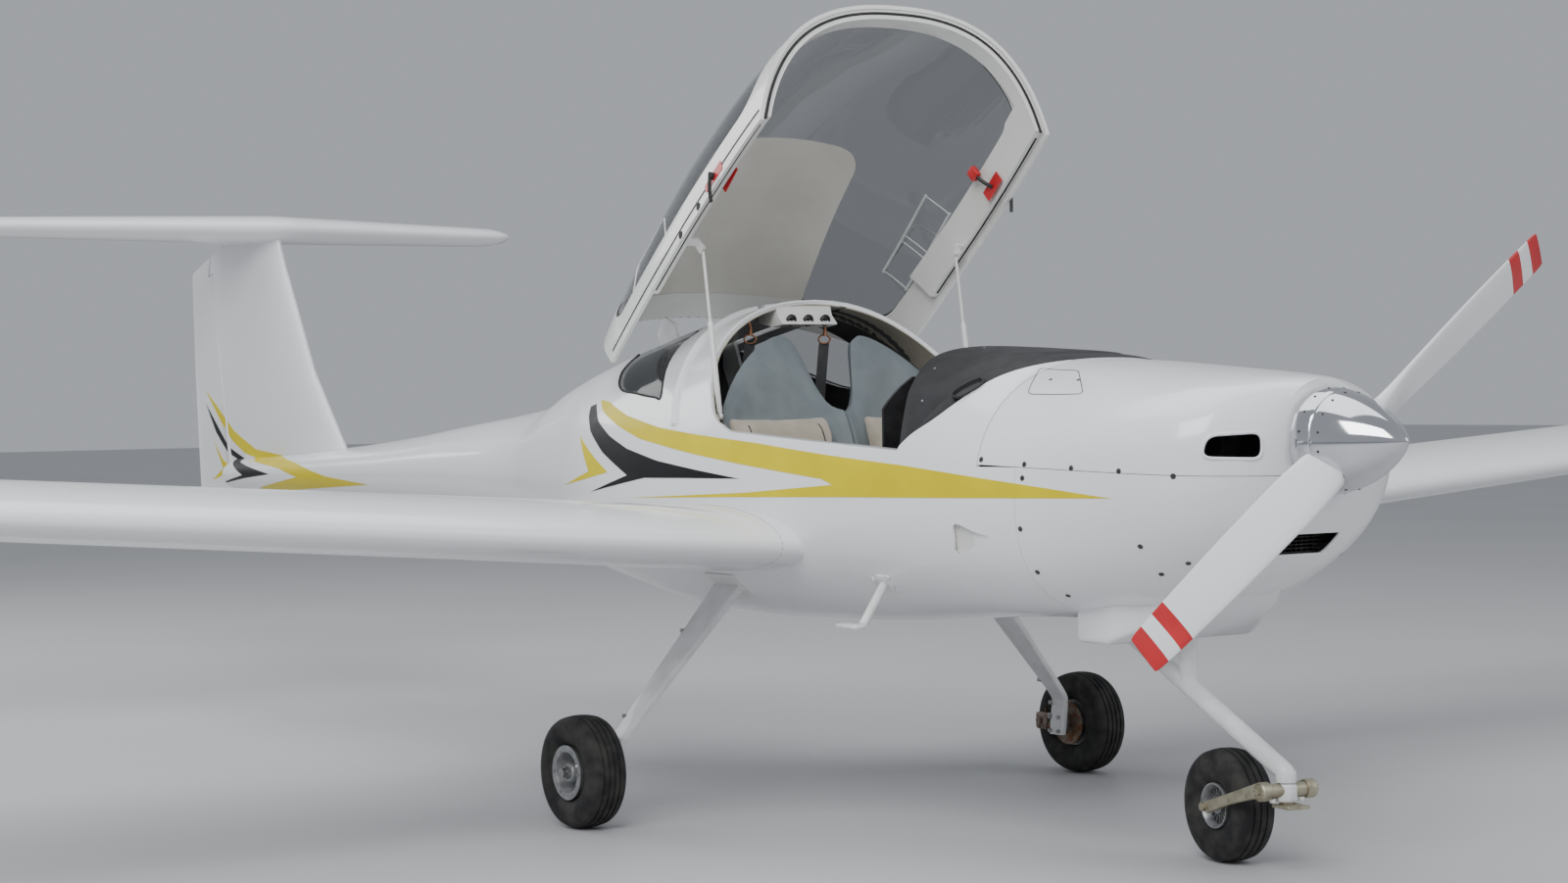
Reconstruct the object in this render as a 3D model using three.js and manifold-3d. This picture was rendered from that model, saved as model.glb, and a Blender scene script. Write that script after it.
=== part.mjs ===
// Two-seat light aircraft, low wing and T-tail, standing on its tricycle gear with the canopy open.
// Millimetres. +X is forward, +Y is to the left side (port), +Z is up.
// The origin is on the floor, below the middle of the aircraft's length.

import * as THREE from 'three';
import { mergeVertices } from 'three/addons/utils/BufferGeometryUtils.js';
import Module from 'manifold-3d';

const wasm = await Module();
wasm.setup();

// Driving dimensions.
const LENGTH = 7160;
const HALF_LENGTH = LENGTH / 2;
const SEAT_GAP = 0.3; // between pieces that touch
const MOVING_GAP = 7; // between pieces that move past each other
const SKIN = 12;
const RING_POINTS = 28;

const SPINNER = { axisZ: 1121, baseX: 3314, radius: 138, bladeX: 3392 };
const PROPELLER = { parkedAngle: 34.9, hubRadius: 52, hubHalf: 40, shankRadius: 40, shankHalf: 100 };

const MAIN_WHEEL = { x: 1253, y: 959.5, radius: 164, width: 118, rimRadius: 79, axleRadius: 15 };
const NOSE_WHEEL = { radius: 151, width: 111, rimRadius: 62, axleRadius: 11 };
const CASTOR = { x: 3150, trail: 262, parkedAngle: -10, crossZ: 220, crossHalf: 84, crossRadius: 22 };

const CANOPY_PIVOT = { x: 732, z: 843 };
const CANOPY_OPEN_ANGLE = 44.5;
const CANOPY = { outset: 18, clear: 6, rimInset: 24, railHeight: 78, archWidth: 88, rearWidth: 96 };

// Side view corners of the closed canopy: rail rear, rail front, front top, rear top.
const RAIL_REAR = [1150, 1165];
const RAIL_FRONT = [2200, 1100];
const WINDSCREEN_TOP = [2425, 1400];
const ROOF_REAR = [965, 1570];
// Side view of the fixed roll arch's front edge.
const ARCH_LOW = [1373, 1171];
const ARCH_HIGH = [1103, 1548];

const FIREWALL_X = 2650;
const COWL_REAR_TOP_X = 2510;
const COWL_SKIN = 8;
const COWL_SPLIT = { rearZ: 1062, frontZ: 1036 };
const ENGINE = { x0: FIREWALL_X + SEAT_GAP, x1: 3120, half: 330, z0: 850, z1: 1235, shaftRadius: 42 };
const NOSE_STRUT = { x: 2791, radius: 24.5, footZ: 461 };

// Heights and widths beyond the body, for solids that cut right through it.
const TOP_Z = 1900;
const LOW_Z = 300;
const WIDE = 700;

// The way each strut takes forwards past the roll arch, in side view.
const STRUT_SWEEP = [[1276, 1218], [1250, 1420], [1420, 1420], [1420, 1218]];
const STRUT = {
  y: 486, footX: 1290, footZ: 1190, eyeX: 1209, eyeZ: 1698, half: 5.5,
  rodRadius: 5, tubeRadius: 9, pinRadius: 4, pinEndY: 534, clear: 6,
};

const WHITE = '#e9eaec';
const COLOURS = {
  white: [WHITE, 0.25, 0],
  cream: ['#dcdad2', 0.5, 0],
  beige: ['#b5ae9e', 0.8, 0],
  black: ['#1c1d20', 0.75, 0],
  rubber: ['#141414', 0.85, 0],
  chrome: ['#c9cbce', 0.08, 1],
  cast: ['#b9b49f', 0.35, 0.9],
  grey: ['#8f9296', 0.5, 0.6],
  seat: ['#7f8d92', 0.6, 0],
  glass: ['#2b2f38', 0.05, 0],
  steel: ['#8a8d90', 0.4, 0.8],
};

const aircraft = new THREE.Group();

function material(key) {
  const [color, roughness, metalness] = COLOURS[key];
  return new THREE.MeshStandardMaterial({ color, roughness, metalness });
}

function ordered(a, b) {
  return a < b ? [a, b] : [b, a];
}

// Solids: a closed geometry becomes a solid that can be cut and joined, and back.
function solid(geometry) {
  const bare = geometry.clone();
  bare.deleteAttribute('normal');
  bare.deleteAttribute('uv');
  const merged = mergeVertices(bare, 1e-3);
  const mesh = new wasm.Mesh({
    numProp: 3,
    vertProperties: new Float32Array(merged.attributes.position.array),
    triVerts: new Uint32Array(merged.index.array),
  });
  const made = new wasm.Manifold(mesh);
  return made.volume() < 0 ? solid(flipped(geometry)) : made;
}

function flipped(geometry) {
  const out = mergeVertices(geometry.clone());
  const index = out.index.array;
  for (let i = 0; i < index.length; i += 3) {
    const keep = index[i];
    index[i] = index[i + 1];
    index[i + 1] = keep;
  }
  return out;
}

function geometryOf(body) {
  const mesh = body.getMesh();
  const geometry = new THREE.BufferGeometry();
  geometry.setAttribute('position', new THREE.BufferAttribute(new Float32Array(mesh.vertProperties), 3));
  geometry.setIndex(new THREE.BufferAttribute(new Uint32Array(mesh.triVerts), 1));
  geometry.computeVertexNormals();
  return geometry;
}

// Keeps the largest piece of a cut solid, so that slivers never stay behind.
function largest(body) {
  let best = null;
  for (const piece of body.decompose()) {
    if (!best || piece.volume() > best.volume()) best = piece;
  }
  return best;
}

function add(name, body, colour) {
  const mesh = new THREE.Mesh(geometryOf(largest(body)), material(colour));
  mesh.name = name;
  aircraft.add(mesh);
  return mesh;
}

// Closed loft through rings of [x, y, z] points, with a fan at each end.
function loft(rings) {
  const count = rings[0].length;
  const positions = rings.flat(2);
  const index = [];
  for (let r = 0; r < rings.length - 1; r++) {
    for (let i = 0; i < count; i++) {
      const a = r * count + i;
      const b = r * count + ((i + 1) % count);
      index.push(a, b, a + count, b, b + count, a + count);
    }
  }
  for (const [ring, first, turn] of [[rings[0], 0, 1], [rings.at(-1), (rings.length - 1) * count, -1]]) {
    const centre = positions.length / 3;
    for (let axis = 0; axis < 3; axis++) {
      positions.push(ring.reduce((sum, point) => sum + point[axis], 0) / count);
    }
    for (let i = 0; i < count; i++) {
      const a = first + i;
      const b = first + ((i + 1) % count);
      index.push(centre, ...(turn > 0 ? [b, a] : [a, b]));
    }
  }
  const geometry = new THREE.BufferGeometry();
  geometry.setAttribute('position', new THREE.Float32BufferAttribute(positions, 3));
  geometry.setIndex(index);
  return solid(geometry);
}

function box(x0, x1, y0, y1, z0, z1) {
  const geometry = new THREE.BoxGeometry(x1 - x0, y1 - y0, z1 - z0);
  geometry.translate((x0 + x1) / 2, (y0 + y1) / 2, (z0 + z1) / 2);
  return solid(geometry);
}

// Round bar between two points, with a radius at each end.
function bar(from, to, radius, endRadius = radius, sides = 16) {
  const a = new THREE.Vector3(...from);
  const b = new THREE.Vector3(...to);
  const geometry = new THREE.CylinderGeometry(endRadius, radius, a.distanceTo(b), sides);
  geometry.applyQuaternion(
    new THREE.Quaternion().setFromUnitVectors(new THREE.Vector3(0, 1, 0), b.clone().sub(a).normalize()),
  );
  geometry.translate((a.x + b.x) / 2, (a.y + b.y) / 2, (a.z + b.z) / 2);
  return solid(geometry);
}

// Turned piece about an axis along Y: profile of [distance along Y, radius], closed on itself.
function turnedY(profile, centre, segments) {
  const points = profile.map(([distance, radius]) => new THREE.Vector2(radius, distance));
  const geometry = new THREE.LatheGeometry([...points, points[0]], segments);
  geometry.translate(...centre);
  return solid(geometry);
}

// Prism across the whole width, from an outline in side view: [x, z] points.
function sidePrism(outline, y0 = -900, y1 = 900) {
  const shape = new THREE.Shape(outline.map(([x, z]) => new THREE.Vector2(x, z)));
  const geometry = new THREE.ExtrudeGeometry(shape, { depth: y1 - y0, bevelEnabled: false });
  geometry.rotateX(Math.PI / 2);
  geometry.translate(0, y1, 0);
  return solid(geometry);
}

// Upright prism from an outline in plan view: [x, y] points.
function planPrism(outline, z0, z1) {
  const shape = new THREE.Shape(outline.map(([x, y]) => new THREE.Vector2(x, y)));
  const geometry = new THREE.ExtrudeGeometry(shape, { depth: z1 - z0, bevelEnabled: false });
  geometry.translate(0, 0, z0);
  return solid(geometry);
}

// Prism along X from an outline in front view: [y, z] points.
function frontPrism(outline, x0, x1) {
  const shape = new THREE.Shape(outline.map(([y, z]) => new THREE.Vector2(y, z)));
  const geometry = new THREE.ExtrudeGeometry(shape, { depth: x1 - x0, bevelEnabled: false });
  geometry.rotateX(Math.PI / 2);
  geometry.rotateZ(Math.PI / 2);
  geometry.translate(x0, 0, 0);
  return solid(geometry);
}

// Outline with its corners rounded: points with a corner radius each.
function rounded(points, radius, steps = 4) {
  const out = [];
  points.forEach((point, i) => {
    const corner = new THREE.Vector2(...point);
    const before = new THREE.Vector2(...points.at(i - 1)).sub(corner);
    const after = new THREE.Vector2(...points[(i + 1) % points.length]).sub(corner);
    const reach = Math.min(radius, before.length() * 0.45, after.length() * 0.45);
    const a = corner.clone().add(before.setLength(reach));
    const b = corner.clone().add(after.setLength(reach));
    const curve = new THREE.QuadraticBezierCurve(a, corner, b);
    for (const p of curve.getPoints(steps)) out.push([p.x, p.y]);
  });
  return out;
}

// Body sections: one smooth shape from the spinner to the rudder, with the closed cabin's top.
const BODY_COLUMNS = ['x', 'top', 'bottom', 'wide', 'half', 'upper', 'lower'];
const BODY = [
  [3300, 1281, 961, 1121, 160, 2.0, 2.0],
  [3262, 1286, 892, 1112, 252, 2.1, 2.1],
  [3200, 1291, 826, 1098, 348, 2.3, 2.2],
  [3100, 1300, 760, 1078, 408, 2.4, 2.3],
  [2950, 1312, 688, 1050, 440, 2.4, 2.4],
  [2800, 1324, 656, 1015, 462, 2.4, 2.5],
  [2650, 1335, 640, 975, 482, 2.4, 2.6],
  [2510, 1343, 632, 960, 502, 2.4, 2.6],
  [2430, 1368, 628, 955, 512, 2.4, 2.6],
  [2300, 1424, 624, 950, 530, 2.3, 2.6],
  [2100, 1490, 610, 950, 552, 2.25, 2.6],
  [1900, 1532, 592, 950, 566, 2.2, 2.6],
  [1700, 1556, 578, 950, 573, 2.2, 2.6],
  [1450, 1566, 570, 950, 575, 2.2, 2.6],
  [1200, 1556, 562, 950, 572, 2.2, 2.5],
  [960, 1528, 564, 950, 560, 2.2, 2.4],
  [700, 1484, 586, 955, 535, 2.2, 2.3],
  [450, 1432, 616, 960, 495, 2.2, 2.2],
  [200, 1380, 655, 965, 440, 2.1, 2.2],
  [0, 1328, 692, 968, 392, 2.1, 2.1],
  [-250, 1238, 728, 972, 336, 2.1, 2.1],
  [-600, 1192, 764, 975, 285, 2.0, 2.0],
  [-1000, 1152, 794, 975, 246, 2.0, 2.0],
  [-1500, 1100, 822, 965, 208, 2.0, 2.0],
  [-2100, 1054, 845, 952, 172, 2.0, 2.0],
  [-2700, 1022, 862, 943, 138, 2.0, 2.0],
  [-3060, 1004, 872, 938, 112, 2.0, 2.0],
].map((row) => Object.fromEntries(BODY_COLUMNS.map((key, i) => [key, row[i]])));

function sectionAt(x) {
  const after = BODY.findIndex((row) => row.x <= x);
  if (after <= 0) return { ...(after === 0 ? BODY[0] : BODY.at(-1)), x };
  const [a, b] = [BODY[after - 1], BODY[after]];
  const t = (x - a.x) / (b.x - a.x);
  return Object.fromEntries(BODY_COLUMNS.map((key) => [key, a[key] + (b[key] - a[key]) * t]));
}

function bodyRing(x, inset) {
  const s = sectionAt(x);
  const ring = [];
  for (let i = 0; i < RING_POINTS; i++) {
    const angle = (2 * Math.PI * (i + 0.5)) / RING_POINTS;
    const [c, n] = [Math.cos(angle), Math.sin(angle)];
    const power = 2 / (n > 0 ? s.upper : s.lower);
    const height = n > 0 ? s.top - inset - s.wide : s.wide - s.bottom - inset;
    const y = (s.half - inset) * Math.sign(c) * Math.abs(c) ** power;
    const z = s.wide + height * Math.sign(n) * Math.abs(n) ** power;
    ring.push([x, y, z]);
  }
  return ring;
}

// The body's shape drawn in by inset, between two stations.
function bodyLoft(x0, x1, inset = 0) {
  const stations = [x1, ...BODY.map((row) => row.x).filter((x) => x < x1 - 1 && x > x0 + 1), x0];
  return loft(stations.map((x) => bodyRing(x, inset)));
}

function shell(x0, x1, outer, inner, ends = 40) {
  return bodyLoft(x0, x1, outer).subtract(bodyLoft(x0 - ends, x1 + ends, inner));
}

function shifted(point, dx, dz) {
  return [point[0] + dx, point[1] + dz];
}

function along(a, b, t) {
  return [a[0] + (b[0] - a[0]) * t, a[1] + (b[1] - a[1]) * t];
}

// The room inside the fuselage's skin, and the space that its outside fills.
const cabinRoom = (rearX = 500) => bodyLoft(rearX, 2600, SKIN + SEAT_GAP);
const fuselageRoom = () => bodyLoft(-100, FIREWALL_X, -SEAT_GAP);

// The canopy's front and rear edges in side view, carried on above the roof.
const CANOPY_FRONT_TOP = along(RAIL_FRONT, WINDSCREEN_TOP, 1.7);
const CANOPY_REAR_TOP = along(RAIL_REAR, ROOF_REAR, 1.5);

// Side view of the canopy, grown by a gap on every side.
function canopyOutline(gap) {
  return [
    shifted(RAIL_REAR, -gap, -gap), shifted(RAIL_FRONT, gap, -gap), shifted(CANOPY_FRONT_TOP, gap, 0),
    [CANOPY_FRONT_TOP[0] + gap, TOP_Z], [CANOPY_REAR_TOP[0] - gap, TOP_Z], shifted(CANOPY_REAR_TOP, -gap, 0),
  ];
}

// Fuselage: thin shell from the firewall to the rudder, with the cockpit opened and a roll arch behind it.
const FUSELAGE_REAR_X = BODY.at(-1).x;
const BOOM_SOLID_X = -2300; // solid behind this station
const SPAR = { x0: 1425, x1: 1550, z0: 560, z1: 640 - SEAT_GAP };

function makeFuselage() {
  const hull = bodyLoft(FUSELAGE_REAR_X, FIREWALL_X).subtract(bodyLoft(BOOM_SOLID_X, FIREWALL_X - SKIN, SKIN));
  const archTop = along(ARCH_LOW, ARCH_HIGH, 1.6);
  const frontTop = shifted(CANOPY_FRONT_TOP, CANOPY.clear, 0);
  const opening = sidePrism([
    shifted(ARCH_LOW, 12, -30), shifted(RAIL_FRONT, CANOPY.clear, -CANOPY.clear), frontTop,
    [frontTop[0], TOP_Z], [archTop[0], TOP_Z], archTop, ARCH_LOW,
  ]);
  const cowlRearX = COWL_REAR_TOP_X - SEAT_GAP;
  const aboveSplit = box(cowlRearX, FIREWALL_X + 50, -WIDE, WIDE, splitZ(FIREWALL_X) - SEAT_GAP, TOP_Z);
  const spar = box(SPAR.x0, SPAR.x1, -WIDE, WIDE, SPAR.z0, SPAR.z1).intersect(bodyLoft(500, 2600, 1));
  let body = hull.subtract(opening).subtract(aboveSplit).add(spar);
  for (const side of [-1, 1]) {
    body = body.subtract(rearWindowPrism(side, 0));
    const [sweepY0, sweepY1] = [STRUT.y - 16, STRUT.y + 16].map((y) => side * y);
    body = body.subtract(bar(strutPoint(-0.02, side), strutPoint(0.5, side), STRUT.tubeRadius + STRUT.clear))
      .subtract(sidePrism(STRUT_SWEEP, ...ordered(sweepY0, sweepY1)));
    const pinEnds = [STRUT.y - 12, STRUT.pinEndY].map((y) => [STRUT.footX, side * y, STRUT.footZ]);
    body = body.add(bar(...pinEnds, STRUT.pinRadius));
    const { y, slotHalf, slotRear, slotFront, slotZ } = HINGE_ARM;
    body = body.subtract(box(slotRear, slotFront, side * y - slotHalf, side * y + slotHalf, slotZ, TOP_Z));
  }
  return body;
}

function splitZ(x) {
  const t = (x - COWL_REAR_TOP_X) / (BODY[0].x - COWL_REAR_TOP_X);
  return COWL_SPLIT.rearZ + (COWL_SPLIT.frontZ - COWL_SPLIT.rearZ) * t;
}

function splitPrism(upper, gap) {
  const far = upper ? TOP_Z : LOW_Z;
  const shift = upper ? gap : -gap;
  const [rearX, frontX] = [COWL_REAR_TOP_X - 200, HALF_LENGTH];
  return sidePrism([
    [rearX, splitZ(rearX) + shift], [frontX, splitZ(frontX) + shift], [frontX, far], [rearX, far],
  ]);
}

// Rear side windows: side view outline, and how far each stays from the centre line.
const REAR_WINDOW = rounded([[905, 1262], [985, 1620], [430, 1620], [380, 1390], [560, 1262]], 60);
const REAR_WINDOW_INNER_Y = 170;
const REAR_WINDOW_MIDDLE = [700, 1420];

function rearWindowPrism(side, shrink) {
  const inward = (value, middle) => value - Math.sign(value - middle) * shrink;
  const outline = REAR_WINDOW.map((point) => point.map((value, i) => inward(value, REAR_WINDOW_MIDDLE[i])));
  return sidePrism(outline, ...ordered(side * (REAR_WINDOW_INNER_Y + shrink), side * WIDE));
}

function makeRearWindow(side) {
  return shell(200, 1100, 1, 6).intersect(rearWindowPrism(side, 0.6));
}

// Hinge of the canopy: a cross tube behind the seats and two arms that swing through slots in the top skin.
const HINGE_ARM = {
  y: 110, half: 6, width: 46, bossRadius: 31, tubeRadius: 14,
  slotHalf: 14, slotRear: 395, slotFront: 1005, slotZ: 1300,
};

function makeHingeTube() {
  const { x, z } = CANOPY_PIVOT;
  return bar([x, -WIDE, z], [x, WIDE, z], HINGE_ARM.tubeRadius).intersect(cabinRoom(-100));
}

function makeHingeArm(side) {
  const { x, z } = CANOPY_PIVOT;
  const w = HINGE_ARM.width / 2;
  const y = side * HINGE_ARM.y;
  const [y0, y1] = [y - HINGE_ARM.half, y + HINGE_ARM.half];
  const plate = sidePrism([[x - w, z], [x + w, z], [1090, 1700], [962, 1700]], y0, y1)
    .add(bar([x, y0, z], [x, y1, z], HINGE_ARM.bossRadius));
  return plate.subtract(bar([x, y0 - 5, z], [x, y1 + 5, z], HINGE_ARM.tubeRadius + SEAT_GAP))
    .intersect(bodyLoft(400, 1400, -CANOPY.outset))
    .subtract(sidePrism(canopyOutline(SEAT_GAP)));
}

// Cowls. Openings and the scoop are outlines in front view [y, z] and in side view [x, z].
const COWL_BOW = { rearX: 3040, frontX: 3400, spinnerHoleRadius: SPINNER.radius - 22 };
const SIDE_INLET = [[204, 1079], [204, 1148], [330, 1141], [343, 1084]];
const CHIN_INLET = [[-88, 828], [88, 828], [112, 888], [-112, 888]];
const SCOOP = { half: 262, innerHalf: 254, rearX: FIREWALL_X - 14, openX: FIREWALL_X - 30 };
const SCOOP_OUTLINE = [[SCOOP.rearX, 585], [SCOOP.rearX, 720], [3060, 760], [2985, 690], [2760, 585]];
const SCOOP_INNER = [[SCOOP.openX, 593], [SCOOP.openX, 728], [3000, 740], [2930, 700], [2757, 593]];

// Plan of the scoop, narrowing forward until it meets the cowl: [x, half width].
const SCOOP_PLAN = [[SCOOP.openX - 1, SCOOP.half + 1], [2780, SCOOP.half + 1], [3080, 90]];

function makeCowls() {
  const frontX = BODY[0].x;
  const bore = COWL_BOW.spinnerHoleRadius;
  const spinnerHole = bar([3100, 0, SPINNER.axisZ], [COWL_BOW.frontX, 0, SPINNER.axisZ], bore, bore, 24);
  const upperShell = shell(COWL_REAR_TOP_X, frontX, 0, COWL_SKIN, -COWL_SKIN)
    .add(bodyLoft(3230, frontX).subtract(bodyLoft(3000, frontX - COWL_SKIN, COWL_SKIN)));
  const lowerShell = upperShell.intersect(box(FIREWALL_X, HALF_LENGTH, -WIDE, WIDE, LOW_Z, TOP_Z));
  const open = (body) => body.subtract(spinnerHole).subtract(
    bodyLoft(COWL_REAR_TOP_X - 100, frontX - COWL_SKIN, COWL_SKIN),
  );
  let upper = open(upperShell.intersect(splitPrism(true, SEAT_GAP / 2)));
  // Cooling air inlets each side of the spinner.
  for (const side of [-1, 1]) {
    const inlet = rounded(SIDE_INLET.map(([y, z]) => [side * y, z]), 26);
    upper = upper.subtract(frontPrism(inlet, COWL_BOW.rearX, COWL_BOW.frontX));
  }
  let lower = open(lowerShell.intersect(splitPrism(false, SEAT_GAP / 2)));
  // Outlet scoop that hangs below the rear of the lower cowl, open at the back.
  const scoopHollow = sidePrism(SCOOP_INNER, -SCOOP.innerHalf, SCOOP.innerHalf);
  const plan = [...SCOOP_PLAN, ...SCOOP_PLAN.toReversed().map(([x, half]) => [x, -half])];
  const scoop = sidePrism(SCOOP_OUTLINE, -SCOOP.half, SCOOP.half).intersect(planPrism(plan, LOW_Z, TOP_Z))
    .subtract(scoopHollow);
  lower = lower.add(scoop.subtract(bodyLoft(FIREWALL_X - 60, frontX, COWL_SKIN))).subtract(scoopHollow);
  lower = lower.subtract(frontPrism(rounded(CHIN_INLET, 16), COWL_BOW.rearX, COWL_BOW.frontX));
  lower = lower.subtract(fuselageRoom());
  lower = lower.subtract(bar([NOSE_STRUT.x, 0, 500], [NOSE_STRUT.x, 0, 900], NOSE_STRUT.radius + 6));
  return { upper, lower };
}

function makeEngine() {
  const block = box(ENGINE.x0, ENGINE.x1, -ENGINE.half, ENGINE.half, ENGINE.z0, ENGINE.z1);
  const inside = block.intersect(bodyLoft(FIREWALL_X - 100, 3200, COWL_SKIN + 14));
  const shaftEnds = [ENGINE.x1 - 10, SPINNER.baseX - SEAT_GAP].map((x) => [x, 0, SPINNER.axisZ]);
  return inside.add(bar(...shaftEnds, ENGINE.shaftRadius));
}

// Propeller and spinner turn together.
function makeSpinner() {
  const profile = [[0, 0]];
  const steps = 7;
  const length = HALF_LENGTH - SPINNER.baseX;
  for (let i = 0; i <= steps; i++) {
    const t = i / steps;
    profile.push([length * t, SPINNER.radius * (1 - t ** 1.75) ** 0.82]);
  }
  const points = profile.map(([distance, radius]) => new THREE.Vector2(radius, distance));
  const geometry = new THREE.LatheGeometry(points, 24);
  geometry.rotateZ(-Math.PI / 2);
  geometry.translate(SPINNER.baseX, 0, SPINNER.axisZ);
  return solid(geometry);
}

const BLADE_POINTS = 16;

// One blade section at its pitch. shape 0 is round, as at the shank, and 1 is thin at the trailing edge.
function bladeRing({ radius, chord, thickness, pitch, shape }) {
  const turn = THREE.MathUtils.degToRad(pitch);
  const points = [];
  for (let i = 0; i < BLADE_POINTS; i++) {
    const angle = (2 * Math.PI * i) / BLADE_POINTS;
    const across = (chord / 2) * Math.cos(angle);
    const thick = (thickness / 2) * Math.sin(angle) * (1 - shape * 0.35 * (1 - Math.cos(angle)));
    const x = thick * Math.cos(turn) + across * Math.sin(turn);
    points.push([x, radius, across * Math.cos(turn) - thick * Math.sin(turn)]);
  }
  return points;
}

const BLADE_COLUMNS = ['radius', 'chord', 'thickness', 'pitch', 'shape'];
const BLADE = [
  [0, 88, 88, 40, 0],
  [98, 80, 76, 40, 0],
  [114, 118, 56, 37, 0.5],
  [150, 124, 48, 36, 0.6],
  [260, 130, 30, 31, 1],
  [450, 128, 22, 25, 1],
  [650, 120, 16, 20, 1],
  [800, 110, 11, 17, 1],
  [852, 103, 8, 15, 1],
  [863, 96, 6, 15, 1],
].map((row) => Object.fromEntries(BLADE_COLUMNS.map((key, i) => [key, row[i]])));

// grow adds to every face, for the hole that the spinner has around the propeller.
function makePropeller(grow = 0) {
  const { bladeX, axisZ } = SPINNER;
  const { parkedAngle, hubRadius, hubHalf, shankRadius, shankHalf } = PROPELLER;
  // A place beside the shaft, turned about it.
  const turned = (angle, x, y, z) => [
    bladeX + x, y * Math.cos(angle) - z * Math.sin(angle), axisZ + y * Math.sin(angle) + z * Math.cos(angle),
  ];
  const parkedTurn = THREE.MathUtils.degToRad(parkedAngle);
  const blades = [0, Math.PI].map((half) => loft(
    BLADE.map(({ chord, thickness, ...station }) => bladeRing({
      ...station, chord: chord + 2 * grow, thickness: thickness + 2 * grow,
    }).map(([x, y, z]) => turned(parkedTurn + half, x, y, z))),
  ));
  const hubEnds = [bladeX - hubHalf - grow, bladeX + hubHalf + grow].map((x) => [x, 0, axisZ]);
  const hub = bar(...hubEnds, hubRadius + grow);
  const shankEnds = [-shankHalf, shankHalf].map((y) => turned(parkedTurn, 0, y, 0));
  const shank = bar(...shankEnds, shankRadius + grow);
  return blades[0].add(blades[1]).add(hub).add(shank);
}

// Half thickness of a plain wing section at a share t of its chord.
function sectionHalf(t, thickness) {
  const share = 0.2969 * Math.sqrt(t) - 0.126 * t - 0.3516 * t ** 2 + 0.2843 * t ** 3 - 0.1015 * t ** 4;
  return 5 * thickness * share;
}

// Lifting surfaces: rings of a cambered or plain section, along a table of stations.
const FOIL_STEPS = 9;
const FOIL_TAIL = 0.0028;
const CAMBER = 0.03;

function foilRing(chord, thickness, camber, place) {
  const upper = [[0, 0]];
  const lower = [];
  for (let i = 1; i <= FOIL_STEPS; i++) {
    const t = (1 - Math.cos((Math.PI * i) / FOIL_STEPS)) / 2;
    const half = Math.max(sectionHalf(t, thickness), FOIL_TAIL) * chord;
    const line = camber * 4 * t * (1 - t) * chord;
    upper.push([t * chord, line + half]);
    lower.push([t * chord, line - half]);
  }
  return [...upper, ...lower.reverse()].map(([a, b]) => place(a, b));
}

const WING_COLUMNS = ['y', 'noseX', 'noseZ', 'chord', 'thickness', 'twist'];
const WING = [
  [300, 1806, 800, 1330, 0.145, 3],
  [620, 1804, 826, 1310, 0.145, 3],
  [3300, 1782, 1012, 1085, 0.135, 2],
  [4900, 1735, 1128, 830, 0.125, 1],
  [5240, 1668, 1168, 690, 0.115, 0],
  [5390, 1585, 1204, 500, 0.095, 0],
  [5435, 1500, 1222, 330, 0.06, 0],
].map((row) => Object.fromEntries(WING_COLUMNS.map((key, i) => [key, row[i]])));

function makeWing(side) {
  const rings = WING.map((w) => {
    const turn = (w.twist * Math.PI) / 180;
    return foilRing(w.chord, w.thickness, CAMBER, (a, b) => [
      w.noseX - a * Math.cos(turn) - b * Math.sin(turn),
      side * w.y,
      w.noseZ - a * Math.sin(turn) + b * Math.cos(turn),
    ]);
  });
  return loft(rings);
}

// A hinged surface: cut from its wing behind a hinge line, with a round nose about the line.
// The ends are square to the hinge line.
function hingeFrame(from, to) {
  const axis = new THREE.Vector3(...to).sub(new THREE.Vector3(...from));
  const length = axis.length();
  axis.normalize();
  const aft = new THREE.Vector3(-1, 0, 0);
  aft.addScaledVector(axis, -aft.dot(axis)).normalize();
  const third = new THREE.Vector3().crossVectors(aft, axis);
  const matrix = new THREE.Matrix4().makeBasis(aft, axis, third).setPosition(...from);
  return { matrix, length };
}

function hingedRegion(from, to, radii, gap, reach) {
  const { matrix, length } = hingeFrame(from, to);
  const block = new THREE.BoxGeometry(reach, length + 2 * gap, 700);
  block.translate(reach / 2, length / 2, 0);
  block.applyMatrix4(matrix);
  const nose = new THREE.CylinderGeometry(radii[1] + gap, radii[0] + gap, length + 2 * gap, 20);
  nose.translate(0, length / 2, 0);
  nose.applyMatrix4(matrix);
  return { block: solid(block), nose: solid(nose) };
}

// Pins at both ends of a hinge line, from the fixed part into holes in the moving part.
const PIN = { radius: 5, root: 12, depth: 14 };
function hingePins(from, to, grow) {
  const a = new THREE.Vector3(...from);
  const b = new THREE.Vector3(...to);
  const axis = b.clone().sub(a).normalize();
  const [outside, inside] = [MOVING_GAP + PIN.root, PIN.depth + grow];
  const at = (point, distance) => point.clone().addScaledVector(axis, distance).toArray();
  return bar(at(a, -outside), at(a, inside), PIN.radius + grow, PIN.radius + grow, 12)
    .add(bar(at(b, -inside), at(b, outside), PIN.radius + grow, PIN.radius + grow, 12));
}

function cutSurface(whole, hinge, lug = null) {
  const { from, to } = hinge;
  const region = hingedRegion(from, to, hinge.radii, 0, hinge.reach);
  const wide = hingedRegion(from, to, hinge.radii, MOVING_GAP, hinge.reach);
  const surface = whole.intersect(region.block).add(region.nose).subtract(hingePins(from, to, SEAT_GAP));
  let rest = whole.subtract(wide.block).subtract(wide.nose);
  if (lug) rest = rest.add(lug);
  return { surface, rest: rest.add(hingePins(from, to, 0)) };
}

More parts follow.
